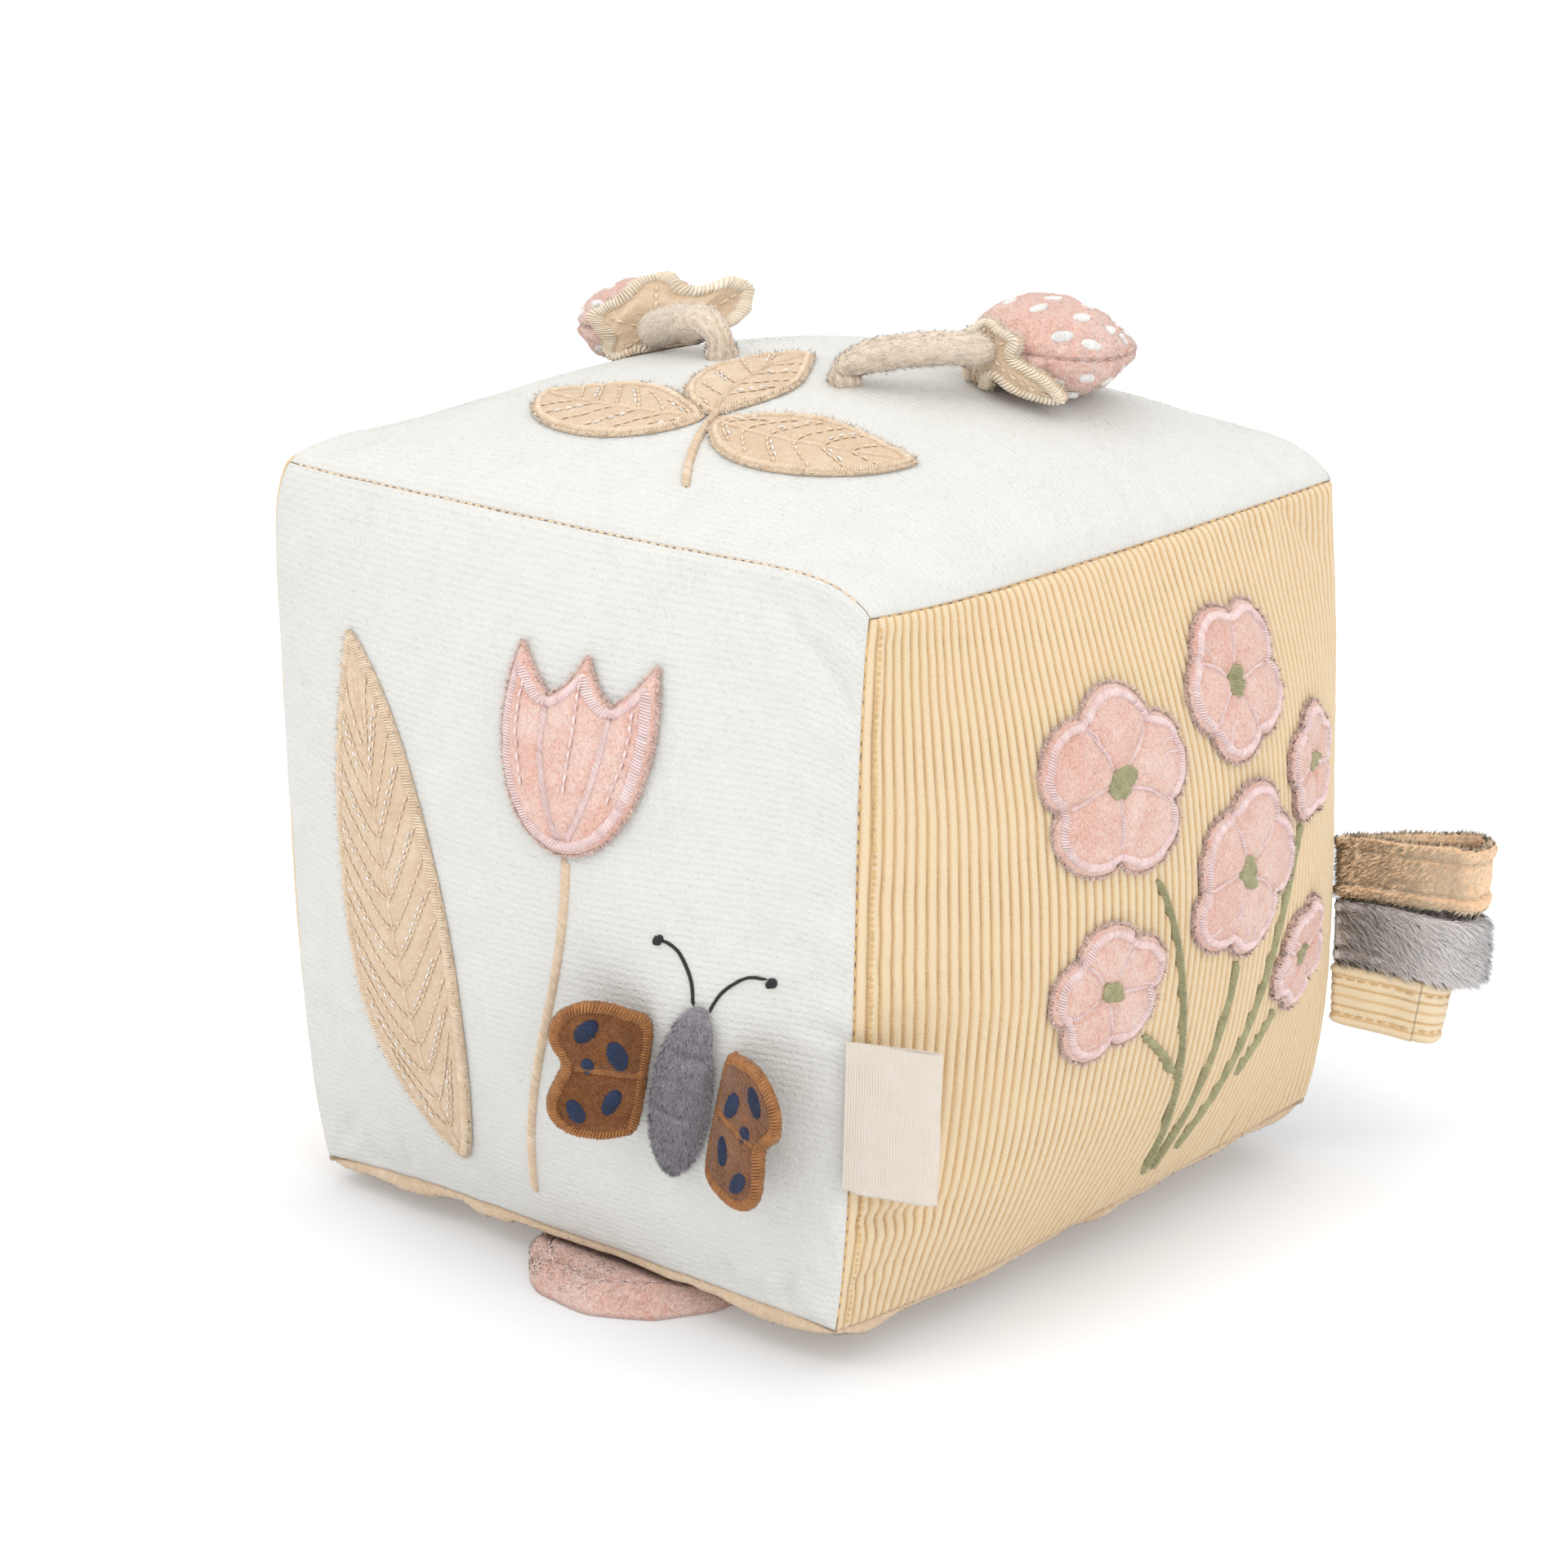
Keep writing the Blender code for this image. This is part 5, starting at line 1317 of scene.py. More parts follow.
def tulip_height(p):
    d = np.clip(distance_to(p, outline, True), 0, 20)
    h = 1.1 + 1.9 * (1 - np.exp(-d / 2.6))
    for line in petal_lines:
        h = h - 1.25 * np.exp(-(distance_to(p, line) / 1.1) ** 2)
    for line in ribs:
        h = h - 0.35 * np.exp(-(distance_to(p, line) / 0.9) ** 2)
    return h + 0.16 * waves(p[:, 0], p[:, 1], 130, 6.0, 2)


pad = star_pad("tulip_cloth", front, TULIP_AT + (0, -1.0), outline, tulip_height, PINK, rings=30)
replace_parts(pad, "tulip_bloom")
lay_sheet(pad, outline)
satin("tulip_edge", front, rim, 2.2, 0.85, tulip_height, PINK_THREAD, closed=True, seed=131, pitch=0.58, sink=0.7)
bag = Bag()
for k, line in enumerate(petal_lines):
    satin_into(bag, front, line, 1.7, 0.7, tulip_height, seed=132 + k, pitch=0.46, shear=0.5, sink=0.5)
for k, line in enumerate(ribs):
    stitches_into(bag, front, line, 1.7, 0.4, 0.34, lambda p: tulip_height(p) + 0.2, seed=140 + k)
bag.make("tulip_stitching", PINK_THREAD)
fringe("tulip_rim_pile", front, outline, 2400, 1.1, PINK_PILE, seed=134, low=0.1, high=1.6, width=0.24)
KEEP_OFF["front"].append(outline)
stem_line = bezier((17, 14.6), (18, -10), (6, -30), (-4, -64), 80)
ob = satin("tulip_stem_thread", front, stem_line, 2.2, 0.75, 0.15, ECRU_THREAD, seed=136, pitch=0.5, shear=0.8)
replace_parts(ob, "tulip_stem")

# ------------------------------------------------------------------ leaves
def leaf(name, node, surface, spine, half, stuff, face, seed, top=0.9, vein_gap=6.2, rows=3, satin_wide=2.2, pile=900):
    spine = np.asarray(spine, float)
    L, at = walker(spine)
    s = np.linspace(0, L, 160)
    P, D = at(s), at(s + 0.5) - at(s - 0.5)
    D /= np.linalg.norm(D, axis=1, keepdims=True)
    N = np.stack([-D[:, 1], D[:, 0]], -1)
    w = np.array([half(v) for v in s / L])
    outline = np.vstack([P + N * w[:, None], (P - N * w[:, None])[::-1]])
    Lo, ato = walker(outline, True)
    outline = ato(np.linspace(0, Lo, 321)[:-1])
    rim = shrink(outline, 1.35)
    veins = []
    for side in (1, -1):
        q = 0.07 * L
        while q < 0.86 * L:
            u = q / L
            reach = (half(min(1.0, u + 0.10)) - 2.9)
            if reach > 1.6:
                run = np.linspace(0, 1, 16)[:, None]
                start, ahead = at(q), at(min(L, q + 0.17 * L)) - at(q)
                Dq = (at(q + 0.5) - at(q - 0.5))
                Dq /= np.linalg.norm(Dq)
                Nq = np.array([-Dq[1], Dq[0]]) * side
                veins.append(start + run * ahead * 0.9 + Nq * (0.6 + reach * run ** 0.8))
            q += vein_gap
    mid = at(np.linspace(0.02 * L, 0.93 * L, 60))

    def height(p):
        d = np.clip(distance_to(p, outline, True), 0, 20)
        h = 0.45 + (top - 0.2) * (1 - np.exp(-d / 2.2))
        h = h - 0.40 * np.exp(-(distance_to(p, mid) / 0.9) ** 2)
        for v in veins:
            h = h - 0.26 * np.exp(-(distance_to(p, v) / 0.8) ** 2)
        return h + 0.12 * waves(p[:, 0], p[:, 1], seed, 5.0, 2)

    pad = strip_pad(name + "_cloth", surface, spine, half, height, stuff, cells=44, step=0.7)
    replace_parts(pad, node)
    lay_sheet(pad, outline)
    satin(name + "_edge", surface, rim, satin_wide, 0.65, height, ECRU_THREAD, closed=True, seed=seed + 1, pitch=0.58, sink=0.5)
    bag, pale = Bag(), Bag()
    satin_into(bag, surface, mid, 1.2, 0.55, height, seed=seed + 2, pitch=0.5, shear=0.8, rows=5, sink=0.4)
    for k, v in enumerate(veins):
        D = np.gradient(v, axis=0)
        D /= np.linalg.norm(D, axis=1, keepdims=True)
        side = np.stack([-D[:, 1], D[:, 0]], -1)
        stitches_into(bag, surface, v, 1.5, 0.35, 0.30, lambda p: height(p) + 0.12, seed=seed + 10 + k)
        if rows > 1 and k % 2 == 0:
            stitches_into(pale, surface, v[2:-2] + side[2:-2] * 0.75, 1.3, 0.8, 0.22, lambda p: height(p) + 0.08, seed=seed + 40 + k)
    bag.make(name + "_veins", ECRU_THREAD)
    if pale.co:
        pale.make(name + "_pale_veins", WHITE_THREAD)
    fringe(name + "_rim_pile", surface, outline, pile, 0.9, LEAF_PILE, seed=seed + 3, low=0.1, high=1.2, width=0.2)
    KEEP_OFF[face].append(outline)
    return outline


LEAF_SPINE = bezier((-24, -62), (-30, -30), (-30, 10), (-47, 46), 60)
leaf("long_leaf", "long_leaf", front, LEAF_SPINE, lambda s: 0.6 + 17.2 * math.sin(math.pi * s ** 0.86) ** 0.85, LEAF, "front", 150, pile=1500)

top = face_surface("top")
LEAFLET = {"leaflet_left": ((4.6, -40.5), (-9, -46), (-26, -45), (-40, -36)),
           "leaflet_middle": ((5.9, -39.2), (0, -30), (-1, -16), (1.5, -5.0)),
           "leaflet_right": ((7.3, -40.4), (20, -43.5), (34, -41), (47, -29))}
for k, (name, route) in enumerate(LEAFLET.items()):
    leaf(name, name, top, bezier(*route, 50), lambda s: 0.5 + 10.3 * math.sin(math.pi * s ** 0.9) ** 0.8, LEAF, "top", 180 + 60 * k, top=0.7,
         vein_gap=5.6, pile=900, satin_wide=1.5)
ob = satin("leaf_stalk_thread", top, bezier((5.7, -37.6), (6.5, -43), (11, -53), (18, -61), 40), 1.9, 1.0, 0.25, ECRU_THREAD,
           seed=330, pitch=0.5, shear=0.8)
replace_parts(ob, "leaf_stalk")


# =====================================================================================
# butterfly: padded body, embroidered feelers, two lifted wings
# =====================================================================================
BODY_AT, BODY_TILT = np.array([42.0, -29.0]), math.radians(-14)
ct, st = math.cos(BODY_TILT), math.sin(BODY_TILT)


def tilted(x, y):
    return np.stack([x * ct - y * st, x * st + y * ct], -1) + BODY_AT


w = np.linspace(0, 2 * math.pi, 161)[:-1]
neck = 1 - 0.16 * np.exp(-((np.sin(w) * 19.0 - 10.5) / 2.2) ** 2)
outline = tilted(5.9 * np.cos(w) * (1 - 0.18 * np.sin(w)) * neck, 19.0 * np.sin(w))


def body_height(p):
    d = p - BODY_AT
    x, y = d[:, 0] * ct + d[:, 1] * st, -d[:, 0] * st + d[:, 1] * ct
    r = np.sqrt((x / 6.0) ** 2 + (y / 19.0) ** 2)
    h = 1.0 + 4.4 * np.sqrt(np.clip(1 - r ** 2.2, 0, 1))
    h = h - 1.0 * np.exp(-((y - 10.3) / 1.3) ** 2) * np.clip(1 - r ** 4, 0, 1)
    for row in (-2.5, -9.0):
        h = h - 0.5 * np.exp(-((y - row) / 0.9) ** 2) * np.clip(1 - r ** 4, 0, 1)
    return h + 0.12 * waves(p[:, 0], p[:, 1], 350, 5.0, 2)


body_pad = star_pad("butterfly_body_cloth", front, BODY_AT, outline, body_height, GREY, rings=26)
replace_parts(body_pad, "butterfly_body")
KEEP_OFF["front"].append(outline)
rng = np.random.default_rng(351)
q = rng.uniform(-1, 1, (15000, 2))
q = q[(q ** 2).sum(1) < 1]
ab = tilted(q[:, 0] * 5.7, q[:, 1] * 18.8)
surface = lambda a, b, h=0.0: front(a, b, h + body_height(np.stack([a, b], -1)) - 0.1)
base = surface(ab[:, 0], ab[:, 1])
n = normal_of(surface, ab[:, 0], ab[:, 1], d=0.3)
aim = n * 0.55 + np.array([0.15, 0, -0.55]) + 0.3 * rng.standard_normal(n.shape)
blades("butterfly_body_pile", base, n, aim, rng.uniform(0.8, 1.4, len(base)), 0.19, GREY_PILE, seed=352, soft=0.85)
fringe("butterfly_body_rim_pile", front, outline, 900, 1.2, GREY_PILE, seed=353, low=0.2, high=2.0, width=0.24)

bag = Bag()
for sign in (-1, 1):
    line = spline([tilted(sign * 1.6, 18.4), tilted(sign * 3.2, 23.5), tilted(sign * 6.8, 28.0), tilted(sign * 10.6, 29.2)], per=12)
    satin_into(bag, front, line, 0.9, 0.5, 0.1, seed=360 + sign, pitch=0.5, shear=0.5, rows=5)
    dot = tilted(sign * 11.4, 28.8)
    knot = dot + np.linspace(-1.3, 1.3, 10)[:, None] * np.array([0.8, 0.6])
    satin_into(bag, front, knot, lambda s: 2.2 * np.sqrt(np.clip(1 - (2 * s - 1) ** 2, 0.05, 1)), 0.8, 0.1, seed=363 + sign, pitch=0.45,
               shear=0.1, blunt=0.3)
bag.make("butterfly_feelers", BLACK_THREAD)

WING_LIFT = math.radians(29)
half_wing = np.array([(-11.5, 0.8), (11.5, 0.8), (16.0, 6.5), (17.0, 13.0), (13.5, 18.5), (7.0, 20.0), (1.5, 16.5),
                      (-3.0, 17.5), (-9.0, 18.5), (-13.5, 15.0), (-14.5, 8.5), (-13.5, 3.5)])
SPOT = [((5.5, 6.5), (3.6, 2.3), 0.4), ((10.6, 13.2), (3.3, 2.3), -0.5), ((-5.5, 6.3), (3.2, 2.0), -0.3), ((-8.6, 13.0), (2.9, 2.1), 0.5),
        ((2.2, 12.0), (2.0, 1.6), 0.1)]
for name, body, sign, spots in (("butterfly_wing_left", "wing_left", -1, SPOT), ("butterfly_wing_right", "wing_right", 1, SPOT)):
    x = sign * 7.4
    at_hinge = lambda y, h=2.0: on("front", *tilted(np.array(x), np.array(y, float)), h)
    ends = [at_hinge(-11.5), at_hinge(11.5)]
    mid = (ends[0] + ends[1]) / 2
    along = (ends[1] - ends[0]) / np.linalg.norm(ends[1] - ends[0])
    out = at_hinge(0.0, 3.0) - at_hinge(0.0, 2.0)
    across = np.cross(out, along) * -sign
    if across[0] * sign < 0:
        across = -across
    away = math.cos(WING_LIFT) * across + math.sin(WING_LIFT) * out
    thick = np.cross(along, away)
    if np.dot(thick, out) < 0:
        thick = -thick
    seed = 370 + 5 * sign

    def wing(p, q, h=0.0, mid=mid, along=along, away=away, thick=thick, seed=seed):
        p, q, h = np.broadcast_arrays(np.asarray(p, float), np.asarray(q, float), np.asarray(h, float))
        curl = 0.55 * np.sin(np.clip(q / 20, 0, 1) * math.pi) + 0.006 * p * p * np.clip(q / 12, 0, 1) * 0.6 + 0.25 * waves(p, q, seed, 16, 1) * np.clip(q / 4, 0, 1)
        h = h + curl
        return mid + p[..., None] * along + q[..., None] * away + h[..., None] * thick

    outline = spline(half_wing, closed=True, per=16)
    outline[:, 1] = np.maximum(outline[:, 1], 0.5)
    Lw, atw = walker(outline, True)
    outline = atw(np.linspace(0, Lw, 241)[:-1])
    seam_w = [spline([(0.8, 1.5), (1.2, 8.0), (1.0, 15.0)])]

    def wing_height(p, outline=outline, seam_w=seam_w):
        d = np.clip(distance_to(p, outline, True), 0, 20)
        h = 0.45 + 0.65 * (1 - np.exp(-d / 2.0))
        for line in seam_w:
            h = h - 0.45 * np.exp(-(distance_to(p, line) / 0.8) ** 2)
        return h + 0.06 * waves(p[:, 0], p[:, 1], 380, 4.0, 2)

    pad = star_pad(f"{name}_cloth", wing, (1.0, 9.5), outline, wing_height, RUST, body, rings=24, low=-0.7)
    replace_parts(pad, name)
    lay_sheet(pad, outline)
    back_height = lambda p: np.full(len(p), 0.55)
    under = lambda p, q, h=0.0, wing=wing: wing(p, q, -np.asarray(h, float))
    edge = shrink(outline, 0.75)
    satin(f"{name}_edge", wing, edge, 2.6, 1.0, lambda p: 0.45 - 0.7 * np.exp(-(p[:, 1] / 2.5) ** 2), RUST_THREAD, body, closed=True, seed=seed + 1, pitch=0.66, sink=0.9)
    satin(f"{name}_edge_back", under, edge, 2.3, 0.6, back_height, RUST_THREAD, body, closed=True, seed=seed + 2, pitch=0.46, sink=0.9)
    bag = Bag()
    for line in seam_w:
        satin_into(bag, wing, line, 1.6, 0.55, wing_height, seed=seed + 3, pitch=0.46, shear=0.3)
    bag.make(f"{name}_dividing_stitches", RUST_THREAD, body)
    bag = Bag()
    for i, (c, (l, wd), tilt) in enumerate(spots):
        line = np.array(c) + np.linspace(-l, l, 16)[:, None] * np.array([math.cos(tilt), math.sin(tilt)])
        satin_into(bag, wing, line, lambda s, wd=wd: 2 * wd * np.sqrt(np.clip(1 - (2 * s - 1) ** 2, 0.05, 1)), 0.55, wing_height,
                   seed=seed + 10 + i, pitch=0.42, shear=0.1, blunt=0.3, rows=9)
    bag.make(f"{name}_spots", NAVY_THREAD, body)


# =====================================================================================
# stuffed berries on stalks
# =====================================================================================
FIT = 0.4
BERRY = {
    "left": dict(root=(-14.0, -14.0), rise=7.0, base=(-45.2, -0.9, 178.8), aim=(-0.70, 0.70, -0.14), length=36.0, wide=16.6, tall=10.2),
    "right": dict(root=(16.5, -13.5), rise=3.0, base=(38.5, 8.5, 186.9), aim=(0.14, 0.98, -0.14), length=39.0, wide=15.4, tall=11.0),
}


def top_level(x, y):
    """Height of the top panel under points."""
    a, b = np.array(x, float), np.array(y, float)
    for _ in range(5):
        under = on("top", np.clip(a, -75, 75), np.clip(b, -75, 75))
        a, b = a + x - under[..., 0], b + y - under[..., 1]
    return on("top", np.clip(a, -75, 75), np.clip(b, -75, 75))[..., 2]


def berry_frame(b):
    aim = np.array(b["aim"], float)
    aim /= np.linalg.norm(aim)
    flat = np.cross(aim, (0, 0, 1.0))
    flat /= np.linalg.norm(flat)
    return np.array(b["base"], float), aim, flat, np.cross(flat, aim)


def berry_shape(b):
    base, aim, flat, up = berry_frame(b)
    length, wide, tall = b["length"], b["wide"], b["tall"]

    def profile(t):
        s = length * (0.5 - 0.5 * np.cos(math.pi * t))
        x = s / length
        return s, np.sqrt(np.clip(4 * x * (1 - x), 0, None)) * (1.12 - 0.42 * x) * np.where(x < 0.5, 1.0, 1 - 0.35 * (x - 0.5))

    def at(t, w, off=0.0):
        t, w, off = np.broadcast_arrays(np.asarray(t, float), np.asarray(w, float), np.asarray(off, float))
        d = 1e-3
        s, k = profile(t)
        s1, k1 = profile(np.minimum(t + d, 1.0))
        s0, k0 = profile(np.maximum(t - d, 0.0))
        ds, dr = s1 - s0, (k1 - k0) * (wide + tall) / 2
        size = np.hypot(ds, dr) + 1e-12
        ns, nr = -dr / size, ds / size
        ns, nr = np.where(t <= 0, -1.0, ns), np.where(t <= 0, 0.0, nr)
        c, q = np.cos(w), np.sin(w)
        across, rise = np.sign(c) * np.abs(c) ** 0.94, np.sign(q) * np.abs(q) ** 1.14
        p = (base + aim * (s + off * ns)[..., None] + flat * (across * k * wide + c * off * nr)[..., None]
             + up * (rise * k * tall + q * off * nr)[..., None])
        floor_z = top_level(p[..., 0], p[..., 1]) + np.clip(1.6 - off, 0.2, None)
        gap = p[..., 2] - floor_z
        p[..., 2] = floor_z + 0.5 * (gap + np.sqrt(gap ** 2 + 1.2 ** 2))
        return p
    return at, profile


def bilinear(grid, x, y, wrap_y=True):
    """A grid (n, m, ...) read at x of 0..1 along n and y of 0..1 round m."""
    n, m = grid.shape[:2]
    x, y = np.clip(x, 0, 1) * (n - 1), (y % 1.0) * m
    i, j = np.minimum(x.astype(int), n - 2), y.astype(int) % m
    fx, fy = x - i, y - np.floor(y)
    fx, fy = (fx * fx * (3 - 2 * fx))[..., None], (fy * fy * (3 - 2 * fy))[..., None]
    j2 = (j + 1) % m
    return ((grid[i, j] * (1 - fx) + grid[i + 1, j] * fx) * (1 - fy)
            + (grid[i, j2] * (1 - fx) + grid[i + 1, j2] * fx) * fy)


SEEDS = [(0.30, (38, 72, 108, 142)), (0.42, (24, 56, 90, 124, 156)), (0.535, (40, 72, 108, 140)), (0.64, (26, 58, 92, 122, 154)),
         (0.745, (42, 90, 138)), (0.86, (60, 120))]

for key, b in BERRY.items():
    body, stem_body = "berry_" + key, "stem_" + key
    seed = 400 if key == "left" else 450
    at, profile = berry_shape(b)
    base, aim, flat, up = berry_frame(b)
    rng = np.random.default_rng(seed)

    # inflation of the sewn cover, coarse, as a displacement over (t, w)
    rows, sides = 30, 44
    tt = (np.arange(rows) + 0.5) / rows
    ww = np.arange(sides) * 2 * math.pi / sides
    T, W = np.meshgrid(tt, ww, indexing="ij")
    coarse = at(T, W, -0.9)
    pts, quads, tris = ring_solid(coarse, False)
    pinned = np.zeros(len(pts), bool)
    pinned[:sides * 2] = pinned[-sides - 2:] = True
    pinned[-2:] = True
    ring_pin = np.zeros((rows, sides), bool)
    ring_pin[::2, 0] = ring_pin[::2, sides // 2] = True
    ring_pin[:2] = ring_pin[-1:] = True
    pinned[:rows * sides] |= ring_pin.ravel()
    blown = cloth_inflate(pts, quads, tris, pinned, 8.0, pressure=3.0, frames=18, cap=1.8, grow=0.06)
    shift = (blown - pts)[:rows * sides].reshape(rows, sides, 3)

    def skin(t, w, off=0.0, detail=True, at=at, profile=profile, shift=shift, seed=seed, b=b):
        t, w, off = np.broadcast_arrays(np.asarray(t, float), np.asarray(w, float), np.asarray(off, float))
        s, k = profile(t)
        h = off.copy()
        mean = (b["wide"] + b["tall"]) / 2
        side = np.abs(np.sin(w)) * k * mean
        near = np.cos(w) > 0
        if detail:
            fade = np.clip(k * 1.6, 0, 1)
            h = h - 1.0 * np.exp(-(side / 0.8) ** 2) * fade
            h = h + (0.34 * np.sin(2 * math.pi * s / 2.7 + np.where(near, 0.0, 1.7) + 1.2 * waves(s, w * 3, seed, 9, 1))
                     * np.exp(-side / 2.8) * (1 - np.exp(-(side / 0.9) ** 2)) * fade)
            h = h + 0.30 * waves(s, w * k * mean, seed + 1, 8.0, 2) * fade
            for ts, angles in SEEDS:
                for sign in (1, -1):
                    for angle in angles:
                        ws = math.radians(angle) * sign
                        ss, ks = profile(np.array(ts))
                        dw = (w - ws + math.pi) % (2 * math.pi) - math.pi
                        d2 = ((s - ss) / 3.0) ** 2 + (dw * k * mean / 2.3) ** 2
                        h = h - 0.75 * np.exp(-d2)
        p = at(t, w, h)
        move = bilinear(shift, (t * rows - 0.5) / (rows - 1), w / (2 * math.pi))
        return p + move * np.clip(k * 1.5, 0, 1)[..., None]

    n_t, n_w = 110, 168
    tt = np.linspace(0.004, 0.996, n_t)
    ww = np.arange(n_w) * 2 * math.pi / n_w
    T, W = np.meshgrid(tt, ww, indexing="ij")
    pts, quads, tris = ring_solid(skin(T, W), False)
    s, k = profile(T)
    uv = np.stack([s, W * k * 12], -1).reshape(-1, 2)
    uv = np.vstack([uv, uv[:1], uv[-1:]])
    cloth = make(f"berry_{key}_cloth", pts, quads, tris, PINK, body, uv=uv, closed=True)
    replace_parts(cloth, f"berry_{key}")

    seeds, seam = Bag(), Bag()
    for ts, angles in SEEDS:
        for sign in (1, -1):
            for angle in angles:
                ws = math.radians(angle) * sign + 0.05 * rng.standard_normal()
                t0 = ts + 0.01 * rng.standard_normal()
                d = 0.004
                middle = skin(np.array(t0), np.array(ws))
                T1 = skin(np.array(t0 + 0.02), np.array(ws), 0.0, False) - skin(np.array(t0 - 0.02), np.array(ws), 0.0, False)
                B1 = skin(np.array(t0), np.array(ws + 0.1), 0.0, False) - skin(np.array(t0), np.array(ws - 0.1), 0.0, False)
                T1 /= np.linalg.norm(T1)
                N1 = np.cross(T1, B1)
                N1 /= np.linalg.norm(N1)
                centre_line = base + aim * profile(np.array(t0))[0]
                if np.dot(N1, middle - centre_line) < 0:
                    N1 = -N1
                B1 = np.cross(N1, T1)
                place = lambda x, y, h, m=middle, T1=T1, B1=B1, N1=N1: (m + np.asarray(x)[..., None] * T1
                                                                         + np.asarray(y)[..., None] * B1 + np.asarray(h)[..., None] * N1)
                l = rng.uniform(2.1, 2.5)
                line = np.linspace(-l, l, 14)[:, None] * np.array([1.0, 0.12 * rng.standard_normal()])
                satin_into(seeds, place, line, lambda q: 2.8 * np.sqrt(np.clip(1 - (2 * q - 1) ** 2, 0.05, 1)), 0.55, 0.12,
                           seed=int(rng.integers(1 << 30)), pitch=0.48, shear=0.1, blunt=0.3, sink=0.5)
    seeds.make(f"berry_{key}_seeds", SEED_THREAD, body)
    for side_w in (0.0, math.pi):
        chart = lambda a, bb, h, side_w=side_w: skin(np.asarray(a) / 100.0, side_w + np.asarray(bb) / 12.0, np.asarray(h) + 0.45)
        line = np.stack([np.linspace(12, 97, 120), np.zeros(120)], -1)
        stitches_into(seam, chart, line, 3.2, 2.0, 0.22, 0.0, seed=seed + 3, lift=0.05)
    seam.make(f"berry_{key}_side_stitches", PINK_THREAD, body)
    rng2 = np.random.default_rng(seed + 5)
    t_r, w_r = np.arccos(1 - 2 * rng2.uniform(0.02, 0.99, 7000)) / math.pi, rng2.uniform(0, 2 * math.pi, 7000)
    root = skin(t_r, w_r, -0.1)
    over = skin(t_r, w_r, 0.9)
    n = over - root
    blades(f"berry_{key}_pile", root, n, n * 0.35 + aim * 0.8 + 0.35 * rng2.standard_normal(n.shape), rng2.uniform(0.5, 0.95, len(root)), 0.18,
           PINK_PILE, body, seed=seed + 6)

    # calyx: a star of pile cloth with a thick satin edge
    span = 51.0

    def sepal_chart(x, y, h=0.0, at=at, skin=skin):
        x, y, h = np.broadcast_arrays(np.asarray(x, float), np.asarray(y, float), np.asarray(h, float))
        r, w = np.hypot(x, y), np.arctan2(y, x)
        return skin(np.clip(r / span, 1e-4, 1), w, h, False)

    if key == "right":     # sepals: way they point, reach, how far the tip stands off; and the dips after each of them
        tips = [(-42 + 72 * q, r, lift) for q, (r, lift) in enumerate(((18.5, 1.0), (7.8, 0.9), (7.2, 1.4), (10.0, 1.0), (16.0, 1.0)))]
        dips = [(-6 + 72 * q, 5.8) for q in range(5)]
    else:
        tips = [(224, 12.4, 0.5), (287, 10.5, 0.5), (390, 20.0, 4.4), (448, 15.5, 0.6), (516, 12.8, 0.8)]
        dips = [(254, 5.6), (340, 7.4), (421, 12.0), (481, 11.0), (551, 8.8)]
    raised = np.array([t[2] for t in tips])
    knots = np.array([k for t, d in zip(tips, dips) for k in (t[0], d[0])] + [tips[0][0] + 360.0])
    radii = np.array([k for t, d in zip(tips, dips) for k in (t[1], d[1])] + [tips[0][1]])

    def sepal(w, knots=knots, radii=radii):
        v = (np.degrees(np.asarray(w, float)) - knots[0]) % 360.0 + knots[0]
        j = np.clip(np.searchsorted(knots, v, side="right") - 1, 0, 9)
        share = (v - knots[j]) / (knots[j + 1] - knots[j])
        y = np.where(j % 2 == 0, share, 1 - share)
        far, near = radii[np.where(j % 2 == 0, j, j + 1)], radii[np.where(j % 2 == 0, j + 1, j)]
        return ((j + 1) // 2) % 5, y, near + (far - near) * (1 - np.clip(y, 0, 1) ** 1.25) ** 1.1

    w = np.linspace(0, 2 * math.pi, 301)[:-1]
    i, y, r = sepal(w)
    outline = np.stack([r * np.cos(w), r * np.sin(w)], -1)
    for _ in range(2):
        outline = 0.25 * np.roll(outline, 1, 0) + 0.5 * outline + 0.25 * np.roll(outline, -1, 0)

    def calyx_height(p, outline=outline, sepal=sepal, raised=raised, seed=seed):
        r, w = np.hypot(p[:, 0], p[:, 1]), np.arctan2(p[:, 1], p[:, 0])
        i, y, far = sepal(w)
        d = np.clip(distance_to(p, outline, True), 0, 20)
        h = (1.1 if key == "right" else 0.8) + 0.8 * (1 - np.exp(-d / 1.6)) + raised[i] * np.clip((r - 6) / 10, 0, 1.3) ** 1.5 * np.clip(1 - y ** 2, 0, 1)
        if key == "right":
            return h + 0.5 * np.exp(-d / 2.2) * np.clip(r / 7, 0, 1) + 0.25 * waves(p[:, 0], p[:, 1], seed + 8, 8.0, 2) * np.clip(r / 9, 0, 1)
        rolled = (0.8 + 1.5 * y ** 2) * np.exp(-d / 2.2) * np.clip(r / 6, 0, 1)
        folds = 0.7 * waves(p[:, 0], p[:, 1], seed + 8, 8.0, 2) + 1.9 * (0.3 - np.abs(waves(p[:, 0], p[:, 1], seed + 9, 13.0, 1)))
        return np.maximum(h + rolled + folds * np.clip(r / 7, 0, 1), 0.7)

